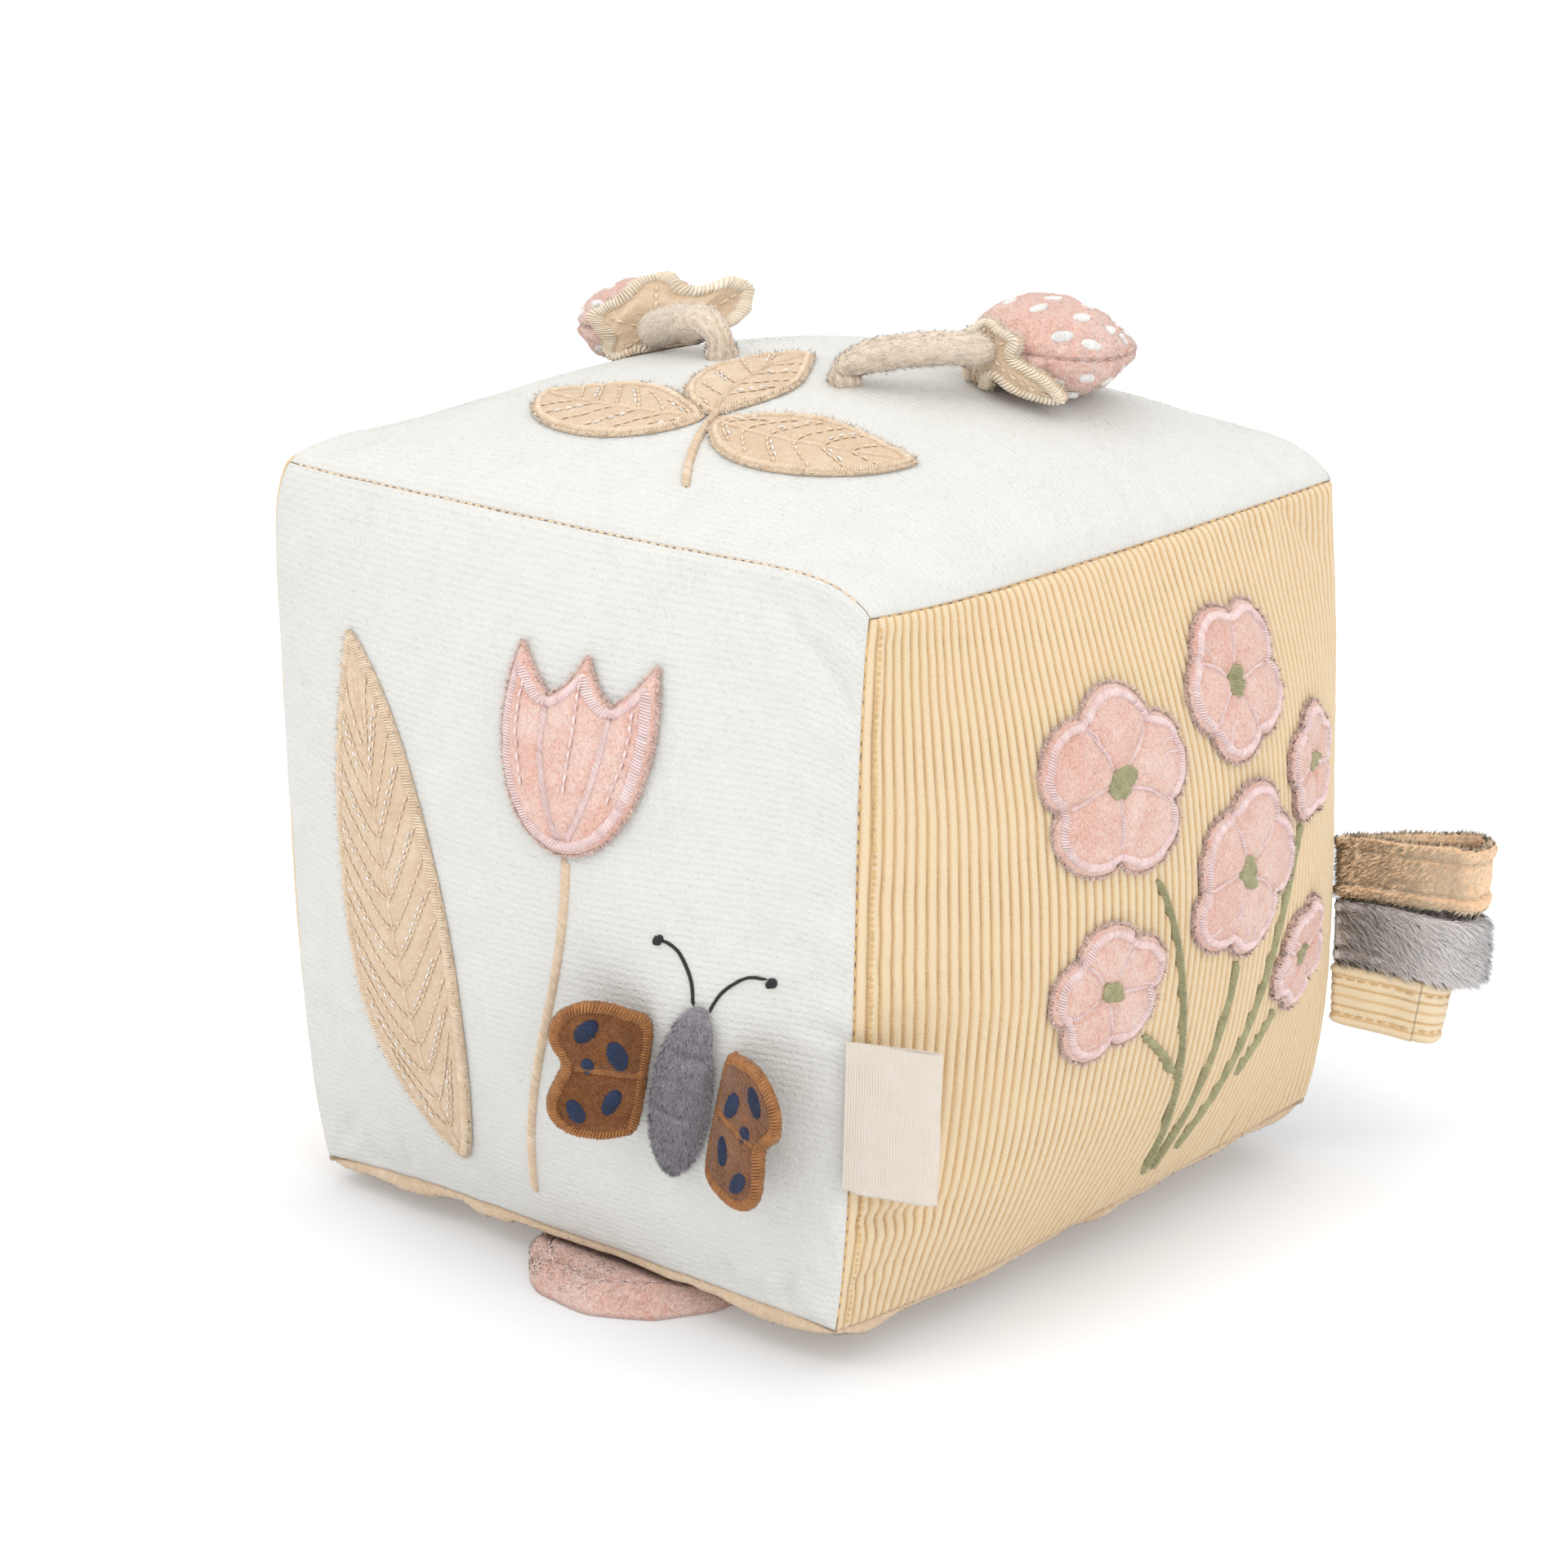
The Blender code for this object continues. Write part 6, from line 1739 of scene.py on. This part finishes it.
    pad = star_pad(f"calyx_{key}_cloth", sepal_chart, (0.0, 0.0), outline, calyx_height, LEAF, body, rings=24, low=0.35)
    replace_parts(pad, f"calyx_{key}")
    lay_sheet(pad, outline)
    edge = shrink(outline, 1.3)
    satin(f"calyx_{key}_edge", sepal_chart, edge, 3.0 if key == "left" else 2.5, 1.5 if key == "left" else 1.15, calyx_height, PALE_THREAD, body,
          closed=True, seed=seed + 9, pitch=0.66, sink=0.8)
    bag = Bag()
    for q in range(5):
        a = math.radians(tips[q][0])
        line = np.linspace(3.2, max(4.6, tips[q][1] - 3.4), 20)[:, None] * np.array([math.cos(a), math.sin(a)])
        stitches_into(bag, sepal_chart, line, 1.5, 0.4, 0.30, lambda p: calyx_height(p) + 0.1, seed=seed + 10 + q)
    bag.make(f"calyx_{key}_veins", ECRU_THREAD, body)
    fringe(f"calyx_{key}_rim_pile", sepal_chart, outline, 1300, 1.1, LEAF_PILE, body, seed=seed + 20, low=0.5, high=1.8, width=0.2)

    # stalk: a stuffed tube, gathered where it is sewn in at both ends
    root = on("top", *[np.array(v) for v in b["root"]], 2.4)
    crest = on("top", *[np.array(v) for v in b["root"]], 2.4 + b["rise"])
    foot = on("top", *[np.array(v) for v in b["root"]], -0.8)
    end = base - aim * (FIT + 2.6)
    lift = np.array([0, 0, 2.5 if key == "left" else 0.8])
    route = bezier(root, crest + (crest - root) * 0.3, end - aim * 12 + lift, end, 70)
    route = np.vstack([foot + (root - foot) * np.linspace(0, 0.85, 6)[:, None], route, end + aim * np.array([[1.2], [2.4]])])
    Ls, ats = walker(route)
    s = np.linspace(0, Ls, 130)
    P = ats(s)
    D = ats(s + 0.4) - ats(s - 0.4)
    D /= np.linalg.norm(D, axis=1, keepdims=True)
    X = np.cross(D, (0.31, -0.21, 1.0))
    X /= np.linalg.norm(X, axis=1, keepdims=True)
    Y = np.cross(X, D)
    q = np.clip((s - 3.0) / (Ls - 3.0), 0, 1)
    radius = np.minimum(2.1 + 1.25 * np.minimum(1, q / 0.22) ** 0.7, 2.3 + 1.15 * np.minimum(1, (1 - q) / 0.14))
    radius = radius + 1.1 * np.exp(-((s - 1.6) / 1.7) ** 2)
    w = np.arange(64) * 2 * math.pi / 64
    gather = 0.42 * np.exp(-s / 7.0) + 0.30 * np.exp(-(Ls - s) / 4.0)
    S, W = np.meshgrid(s, w, indexing="ij")
    fold = np.cos(9 * W + 1.5 * waves(S, W * 3, seed + 30, 14, 1))
    R = radius[:, None] + gather[:, None] * fold + 0.16 * waves(S, W * 3.5, seed + 31, 5.5, 2)
    R = R - 0.55 * np.exp(-(((W - math.pi * 0.5 + math.pi) % (2 * math.pi) - math.pi) / 0.16) ** 2)
    co = P[:, None] + R[..., None] * (np.cos(W)[..., None] * X[:, None] + np.sin(W)[..., None] * Y[:, None])
    pts, quads, tris = ring_solid(co, False)
    uv = np.vstack([np.stack([W * 3.6, S], -1).reshape(-1, 2), [[0, 0]], [[0, Ls]]])
    tube = make(f"stalk_{key}_cloth", pts, quads, tris, STALK, stem_body, uv=uv, closed=True)
    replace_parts(tube, f"stalk_{key}")
    rng3 = np.random.default_rng(seed + 40)
    pick = rng3.integers(0, co.shape[0], 6500), rng3.integers(0, co.shape[1], 6500)
    n = (co - P[:, None])[pick]
    n /= np.linalg.norm(n, axis=1, keepdims=True)
    jit = rng3.normal(0, 0.25, (6500, 3))
    blades(f"stalk_{key}_pile", co[pick] - n * 0.15 + jit, n, n * 0.45 + D[pick[0]] * 1.0 + 0.22 * rng3.standard_normal(n.shape),
           rng3.uniform(0.9, 1.6, 6500), 0.17, STALK_PILE, stem_body, seed=seed + 41, soft=0.92)


# =====================================================================================
# loops of tape
# =====================================================================================
TAPE = {
    "loop_tan": dict(top=74.2, wide=13.8, length=32.6, half=7.0, wall=2.4, droop=2.0, slant=0.03),
    "loop_grey": dict(top=59.9, wide=14.0, length=30.4, half=6.8, wall=2.6, droop=4.4, slant=0.03),
    "loop_ribbed": dict(top=45.3, wide=14.0, length=25.4, half=6.2, wall=2.0, droop=4.4, slant=0.12),
}
OUTWARD = np.array([math.sqrt(0.5), math.sqrt(0.5), 0.0])
ACROSS = np.array([-math.sqrt(0.5), math.sqrt(0.5), 0.0])
NOSE = 1.3


def belt(r0, x0, r1, x1, n0=8, n1=40):
    w = math.acos((r0 - r1) / (x1 - x0))
    far = [(x1 + r1 * math.cos(a), r1 * math.sin(a)) for a in np.linspace(-w, w, n1 + 1)]
    near = [(x0 + r0 * math.cos(a), r0 * math.sin(a)) for a in np.linspace(w, 2 * math.pi - w, n0 + 1)]
    return np.array(far + near)


for key, d in TAPE.items():
    zs = np.linspace(d["top"] - d["wide"], d["top"], 9)
    t = np.linspace(0, 1, 801)
    seam_line = seam_point("back_right", t)
    reach = max(float(np.dot(seam_line[np.argmin(abs(seam_line[:, 2] - z))], OUTWARD)) for z in zs)
    middle = seam_line[np.argmin(abs(seam_line[:, 2] - zs[4]))]
    pivot = OUTWARD * (reach + NOSE + 0.45) + ACROSS * float(np.dot(middle, ACROSS)) + np.array([0, 0, zs[4]])
    far = d["length"] - d["half"]
    outer, inner = belt(NOSE, 0.0, d["half"], far), belt(0.5, 4.4, d["half"] - d["wall"], far)
    corner = np.concatenate([[0], np.cumsum(np.linalg.norm(np.diff(np.vstack([outer, outer[:1]]), axis=0), axis=1))])
    around = corner[-1]
    n_s = int(around / 0.45)
    s = np.arange(n_s) * around / n_s
    ring = lambda P, s, corner=corner, around=around: np.stack(
        [np.interp(s % around, corner, np.append(P[:, k], P[0, k])) for k in (0, 1)], -1)
    low_z, wide = d["top"] - d["wide"], d["wide"]
    ribbed, furry = key == "loop_ribbed", key == "loop_grey"
    seed = 500 + 20 * list(TAPE).index(key)

    def bulge(e, z):
        """How far the outer face stands out at z over the lower edge, e from the nearer edge."""
        roll = 0.75 * np.sqrt(np.clip(1 - ((e - 1.35) / 1.35) ** 2, 0, 1)) * (e < 2.7)
        dent = -0.5 * np.exp(-((e - 3.0) / 0.42) ** 2)
        return roll * (0.35 if ribbed or furry else 1.0) + dent * (0.7 if ribbed else 1.0)

    rib_of = lambda z: 1 - np.abs(((z / wide * 6) % 1.0) * 2 - 1) ** 3.2

    def tape(s, z, off, q=0.0, d=d, outer=outer, inner=inner, ring=ring, pivot=pivot, low_z=low_z, wide=wide, seed=seed):
        """s round the loop, z over the lower edge, off outward from the outer face, q share of the wall inward."""
        s, z, off, q = np.broadcast_arrays(*(np.asarray(v, float) for v in (s, z, off, q)))
        O, I = ring(outer, s), ring(inner, s)
        N = O - I
        N /= np.linalg.norm(N, axis=-1, keepdims=True)
        wave = 0.35 * waves(s, z, seed, 17, 2)
        p = O * (1 - q[..., None]) + I * q[..., None] + N * (off + wave * (O[..., 0] > 3))[..., None]
        x = p[..., 0] * (1 - d["slant"] * (wide - z) / wide)
        base = pivot + OUTWARD * x[..., None] + ACROSS * p[..., 1, None]
        drop = d["droop"] * np.maximum(x, 0) / d["length"]
        return np.stack([base[..., 0], base[..., 1], low_z + z - drop + 0.25 * waves(s, 0, seed + 1, 22, 1)], -1)

    cells = 34
    z_out = np.linspace(1.2, wide - 1.2, cells)
    arc = np.linspace(0, math.pi, 11)[1:-1]
    prof = [(z, bulge(min(z, wide - z), z) + (0.42 * (rib_of(z) - 0.6) if ribbed else 0.0), 0.0, rib_of(z)) for z in z_out]
    prof += [(wide - 1.2 + 1.2 * math.sin(a), bulge(1.2, 0) * (0.5 + 0.5 * math.cos(a)), 0.5 - 0.5 * math.cos(a), 0.7) for a in arc]
    prof += [(z, -0.5 * bulge(min(z, wide - z), z), 1.0, rib_of(z)) for z in z_out[::-1]]
    prof += [(1.2 - 1.2 * math.sin(a), bulge(1.2, 0) * (0.5 - 0.5 * math.cos(a)), 0.5 + 0.5 * math.cos(a), 0.7) for a in arc]
    prof = np.array(prof)
    S = np.repeat(s[:, None], len(prof), 1)
    Z, F, Q, G = (np.repeat(prof[None, :, k], len(s), 0) for k in range(4))
    co = tape(S, Z, F, Q)
    pts, quads, tris = ring_solid(co, True)
    stuff = CORD_TAPE if ribbed else (LOOP_GREY if furry else TAN)
    ob = make(key + "_cloth", pts, quads, tris, stuff, key, uv=np.stack([Z, S], -1).reshape(-1, 2), more={"rib": G.ravel()}, closed=True)
    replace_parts(ob, key)
    chart = lambda a, bb, h, tape=tape: tape(a, bb, h)
    inside_chart = lambda a, bb, h, tape=tape: tape(a, bb, -np.asarray(h, float), 1.0)
    if not furry:
        bag = Bag()
        for z in (3.0, wide - 3.0):
            line = np.stack([np.linspace(1, around - 1, 200), np.full(200, z) + 0.1 * waves(np.linspace(0, around, 200), z, seed + 2, 20, 1)], -1)
            stitches_into(bag, chart, line, 2.1, 0.55, 0.24, -0.32 if not ribbed else -0.2, seed=seed + 3, lift=0.28)
            stitches_into(bag, inside_chart, line, 2.1, 0.55, 0.24, 0.12, seed=seed + 4, lift=0.2)
        bag.make(key + "_stitching", GOLD_THREAD if ribbed else ECRU_THREAD, key)
    rng = np.random.default_rng(seed + 5)
    if not ribbed:
        count = 17000 if furry else 15000
        sr, zr = rng.uniform(0, around, count), rng.uniform(0.1, wide - 0.1, count)
        side = rng.random(count) < (0.80 if furry else 0.72)
        q = np.where(side, 0.0, 1.0)
        b0, b1 = tape(sr, zr, 0.0, q), tape(sr, zr, np.where(side, 1.0, -1.0), q)
        n = b1 - b0
        along = tape(sr + 0.5, zr, 0.0, q) - tape(sr - 0.5, zr, 0.0, q)
        along /= np.linalg.norm(along, axis=1, keepdims=True)
        if furry:
            comb = OUTWARD * 0.75 + np.array([0, 0, -0.42]) + 0.25 * waves(sr, zr, seed + 6, 7, 2)[:, None] * np.array([0, 0, 1.0])
            aim = 0.30 * n + comb + 0.20 * rng.standard_normal(n.shape)
            e = np.minimum(zr, wide - zr)
            blades(key + "_fur", b0, n, aim, rng.uniform(2.4, 4.4, count) * np.where(side, 1, 0.5), 0.24, LOOP_FUR, key,
                   bend=comb * 0.5 + np.array([0, 0, -0.3]), seed=seed + 7, soft=0.88)
        else:
            comb = -OUTWARD * 0.75 + np.array([0, 0, -0.55]) + 0.18 * waves(sr, zr, seed + 6, 6, 2)[:, None] * OUTWARD
            aim = 0.32 * n + comb + 0.22 * rng.standard_normal(n.shape)
            e = bulge(np.minimum(zr, wide - zr), zr)
            blades(key + "_pile", b0 + n * np.where(side, e - 0.1, 0.05)[:, None], n, aim, rng.uniform(0.8, 1.5, count) * np.where(side, 1, 0.7), 0.16,
                   TAN_PILE, key, bend=comb * 0.4, seed=seed + 7, soft=0.92)
        # the cut edges are fuzzy
        edge_n = 1500
        sr = rng.uniform(0, around, edge_n)
        top_edge = rng.random(edge_n) < 0.6
        zr = np.where(top_edge, wide - 0.05, 0.05)
        b0 = tape(sr, zr, 0.0, rng.uniform(0.1, 0.9, edge_n))
        up_dir = np.where(top_edge, 1.0, -1.0)[:, None] * np.array([0, 0, 1.0])
        aim = up_dir + OUTWARD * 0.5 + 0.5 * rng.standard_normal(b0.shape)
        blades(key + "_edge_pile", b0, up_dir + 0.3 * OUTWARD, aim, rng.uniform(0.8, 1.5, edge_n) * (2.0 if furry else 1.0), 0.22,
               LOOP_FUR if furry else TAN_PILE, key, seed=seed + 8)


# =====================================================================================
# bare woven label
# =====================================================================================
LABEL = dict(bottom=-42.2, top=-10.6, reach=17.6, turn=21.0)
zs = np.linspace(LABEL["bottom"], LABEL["top"], 64)
seam_line = on("right", -EDGE / 2, zs)
diag = np.array([math.sqrt(0.5), -math.sqrt(0.5), 0.0])
roots = seam_line + diag * 1.7
turn_at = math.radians(LABEL["turn"])
outward, sideways = np.array([math.cos(turn_at), math.sin(turn_at), 0.0]), np.array([-math.sin(turn_at), math.cos(turn_at), 0.0])
layer = [(-1.5, 0.42), (0.0, 0.45), (6.0, 0.75), (12.0, 1.0), (15.6, 1.0), (17.0, 0.7), (17.6, 0.0)]
fold = np.array(layer + [(x, -y) for x, y in reversed(layer[:-1])])
fold = spline(fold, per=10)
Lf, atf = walker(fold)
s = np.linspace(0, Lf, 120)
F = atf(s)
D = atf(s + 0.1) - atf(s - 0.1)
D /= np.linalg.norm(D, axis=1, keepdims=True)
N = np.stack([-D[:, 1], D[:, 0]], -1)
rows = len(zs)
z_share = np.linspace(0, 1, rows)
front_layer = s < Lf / 2
sections = []
for face_off, order in ((0.20, 1), (-0.20, -1)):
    grid = []
    for i in range(rows)[::order]:
        z_low = 0.55 * (1 - z_share[i]) ** 6 * (1 - np.clip(F[:, 0] / 3, 0, 1)) ** 2
        part = 0.5 * z_share[i] ** 2 * np.clip(F[:, 0] / LABEL["reach"], 0, 1) * np.where(front_layer, 1.0, -0.3)
        off = face_off + 0.12 * waves(s * 0.6, z_share[i] * 31, 560, 14, 2) * np.clip(F[:, 0] / 4, 0, 1)
        x = F[:, 0] + N[:, 0] * off
        y = F[:, 1] + N[:, 1] * off + part * 0.6
        p = roots[i] + outward * x[:, None] + sideways * y[:, None]
        p[:, 2] += np.where(front_layer, 0.0, 0.35 * z_share[i]) + z_low + 0.10 * waves(s, i * 0.5, 561, 12, 1)
        grid.append(p)
    sections.append(np.stack(grid, 1))
co = np.concatenate(sections, 1)
pts, quads, tris = ring_solid(co, False)
v = np.concatenate([z_share * 31.6, z_share[::-1] * 31.6])
uv = np.stack(np.broadcast_arrays(s[:, None], v[None]), -1).reshape(-1, 2)
uv = np.vstack([uv, [[0, 15]], [[Lf, 15]]])
label = make("woven_label_cloth", pts, quads, tris, TAPE_CLOTH, "label", uv=uv, closed=True)
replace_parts(label, "woven_label")


# =====================================================================================
# padded petal under the front edge
# =====================================================================================
PETAL = dict(x=10.0, y=-63.5, radius=24.5, back=-56.5)
span_at = math.acos((PETAL["back"] - PETAL["y"]) / PETAL["radius"])
a = np.linspace(span_at, 2 * math.pi - span_at, 201)
outline = np.stack([PETAL["x"] + PETAL["radius"] * np.sin(a), PETAL["y"] + PETAL["radius"] * np.cos(a)], -1)
ripple = 0.5 * waves(a * PETAL["radius"], 0, 570, 13, 2)
outline += ripple[:, None] * np.stack([np.sin(a), np.cos(a)], -1) * (np.abs(a - math.pi) < 1.6)[:, None]
crease = spline([(-6, -80.5), (0, -82.6), (7, -81.4), (13, -83.2)])
stitch_line = shrink(outline, 4.2)
stitch_line = stitch_line[stitch_line[:, 1] < -66]
order = np.argsort(np.arctan2(stitch_line[:, 1] - PETAL["y"], stitch_line[:, 0] - PETAL["x"]))
stitch_line = stitch_line[order]


def petal_top(p):
    t = np.clip((PETAL["back"] - p[:, 1]) / (PETAL["back"] + 77.0), 0, 1)
    full = 1.4 + 5.4 * t
    d = np.clip(distance_to(p, outline, True), 0, 30)
    edge = np.sqrt(np.clip(1 - np.clip(1 - d / 4.2, 0, 1) ** 2.2, 0, 1))
    h = 0.35 + full * (0.25 + 0.75 * edge)
    h = h - 1.0 * np.exp(-(distance_to(p, stitch_line) / 0.9) ** 2) * (p[:, 1] < -68)
    h = h - 1.7 * np.exp(-(distance_to(p, crease) / 1.2) ** 2)
    pucker = 0.35 * waves(np.arctan2(p[:, 0] - PETAL["x"], p[:, 1] - PETAL["y"]) * 24, d * 0.3, 571, 5.0, 1)
    h = h + pucker * np.exp(-np.abs(d - 4.2) / 2.0) * (p[:, 1] < -66) + 0.25 * waves(p[:, 0], p[:, 1], 572, 9, 2)
    return np.where(p[:, 1] > -77.5, np.minimum(h, full - 0.05), h)


ground = lambda x, y, h=0.0: np.stack(np.broadcast_arrays(np.asarray(x, float), np.asarray(y, float), np.maximum(np.asarray(h, float), 0.15)), -1)
pad = star_pad("base_petal_cloth", ground, (PETAL["x"], -72.0), outline, petal_top, PINK, "petal", rings=34, low=0.2)
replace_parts(pad, "base_petal")
stitches("base_petal_stitching", ground, stitch_line, 1.9, 0.7, 0.26, lambda p: petal_top(p) + 0.15, PINK_THREAD, "petal", seed=573)
rng = np.random.default_rng(574)
ab = np.stack([rng.uniform(-15, 35, 14000), rng.uniform(-89, -60, 14000)], -1)
ab = ab[inside(ab, outline)]
lift_up = lambda x, y, h=0.0: ground(x, y, petal_top(np.stack([x, y], -1)) + h)
root = lift_up(ab[:, 0], ab[:, 1], -0.1)
n = normal_of(lift_up, ab[:, 0], ab[:, 1], d=0.3)
blades("base_petal_pile", root, n, n * 0.4 + np.array([0.1, -0.7, 0.0]) + 0.35 * rng.standard_normal(n.shape), rng.uniform(0.4, 0.8, len(root)), 0.17,
       PINK_PILE, "petal", seed=575)


# =====================================================================================
# pile of the panels
# =====================================================================================
pile_on("front_panel_pile", "front", 34000, 0.6, 0.15, WHITE_PILE, 601, lean=(0.0, -0.9), spread=0.3, rows=0.55)
pile_on("top_panel_pile", "top", 26000, 0.55, 0.14, WHITE_PILE, 602, lean=(0.1, -0.9), spread=0.3, rows=0.25)
pile_on("bottom_panel_pile", "bottom", 26000, 0.5, 0.18, LEAF_PILE, 603, lean=(0.3, 0.4), spread=0.4)


def fur_on(name, face, count, length, width, stuff, seed, lean, bend):
    rng = np.random.default_rng(seed)
    a, b = rng.uniform(-75, 75, (2, count))
    a = np.where(rng.random(count) < 0.12, np.sign(a) * 75 - np.sign(a) * rng.exponential(0.7, count), a)
    a, b = a[b < 73.0], b[b < 73.0]
    count = len(a)
    surface = lambda x, y, h=0.0: cover(face, np.clip(x, -75, 75), np.clip(y, -75, 75), h)
    base, n = surface(a, b, -0.1), normal_of(surface, a, b)
    du, dv = surface(a + 0.5, b) - surface(a - 0.5, b), surface(a, b + 0.5) - surface(a, b - 0.5)
    comb = du * (lean[0] + 0.5 * waves(a, b, seed + 1, 30, 2))[:, None] + dv * (lean[1] + 0.4 * waves(a, b, seed + 2, 22, 2))[:, None]
    inner = np.clip((a + 75.0) / 9.0, 0, 1)
    aim = n * (0.15 + 0.85 * inner)[:, None] + comb + du * (1.5 * (1 - inner))[:, None] + (0.35 * inner)[:, None] * rng.standard_normal(n.shape)
    return blades(name, base, n, aim, length * (0.28 + 0.72 * inner) * rng.uniform(0.7, 1.25, count), width * (0.6 + 0.4 * inner), stuff, "block",
                  bend=comb * bend, seed=seed)


fur_on("back_panel_fur", "back", 52000, 2.7, 0.28, GREY_FUR, 604, (-0.5, -1.1), 0.8)


def pad_pile(name, surface, outline, height, count, length, stuff, seed, body="block", inset=2.6, width=0.24):
    """Short pile over the inner part of a patch."""
    rng = np.random.default_rng(seed)
    low_c, high_c = outline.min(0), outline.max(0)
    ab = rng.uniform(low_c, high_c, (count, 2))
    ab = ab[inside(ab, outline)]
    ab = ab[distance_to(ab, outline, True) > inset]
    over = lambda x, y, h=0.0: surface(x, y, h + height(np.stack([x, y], -1)))
    base, n = over(ab[:, 0], ab[:, 1], -0.1), normal_of(over, ab[:, 0], ab[:, 1], d=0.3)
    swirl = 0.8 * waves(ab[:, 0], ab[:, 1], seed, 9, 2)
    du = over(ab[:, 0] + 0.3, ab[:, 1]) - over(ab[:, 0] - 0.3, ab[:, 1])
    aim = n + du * swirl[:, None] + 0.5 * rng.standard_normal(n.shape)
    return blades(name, base, n, aim, length * rng.uniform(0.7, 1.2, len(ab)), width, stuff, body, seed=seed)


# =====================================================================================
# what is inside: stuffing and rattle
# =====================================================================================
FILL, SHELL, BEAD = fibrefill("polyester_fill"), plastic("rattle_shell_plastic", (214, 219, 224)), plastic("rattle_bead_plastic", (176, 184, 192))
for node, stuff in (("stuffing_lower", FILL), ("stuffing_upper", FILL), ("rattle_cup", SHELL), ("rattle_lid", SHELL),
                    ("rattle_bead_1", BEAD), ("rattle_bead_2", BEAD), ("rattle_bead_3", BEAD)):
    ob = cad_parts[node]
    for i in range(max(1, len(ob.material_slots))):
        if len(ob.material_slots) <= i:
            ob.data.materials.append(stuff)
        ob.material_slots[i].link = "OBJECT"
        ob.material_slots[i].material = stuff


# =====================================================================================
# floor
# =====================================================================================
floor_mesh = bpy.data.meshes.new("floor")
floor_mesh.from_pydata([(-6, -6, 0), (6, -6, 0), (6, 6, 0), (-6, 6, 0)], [], [(0, 1, 2, 3)])
floor = bpy.data.objects.new("floor", floor_mesh)
scene.collection.objects.link(floor)
floor_stuff = Stuff("floor_paper", rough=0.95, specular=0.05)
grain = floor_stuff.noise(floor_stuff.place((0.1, 0.1, 0.1)), 0.5, 2.0)
floor_stuff.put(floor_stuff.b.inputs["Base Color"], floor_stuff.ramp(grain, (0.0, (0.605, 0.615, 0.63, 1)), (1.0, (0.625, 0.635, 0.65, 1))))
# the floor emits white light of its own
floor_stuff.b.inputs["Emission Color"].default_value = (1, 1, 1, 1)
# the paper glows of its own, which is painted light: weaker near the block and stronger away from it, so that the
# block's shadow stays light and close to it
where = floor_stuff.place()
away = floor_stuff.math("MAXIMUM", floor_stuff.math("MULTIPLY", floor_stuff.math("ABSOLUTE", floor_stuff.part(where, 0)), 1.16),
                        floor_stuff.math("MULTIPLY", floor_stuff.math("ABSOLUTE", floor_stuff.part(where, 1)), 0.92))
floor_stuff.put(floor_stuff.b.inputs["Emission Strength"], floor_stuff.span(away, 78.0, 140.0, 0.19, 0.43))
floor_mesh.materials.append(floor_stuff.m)
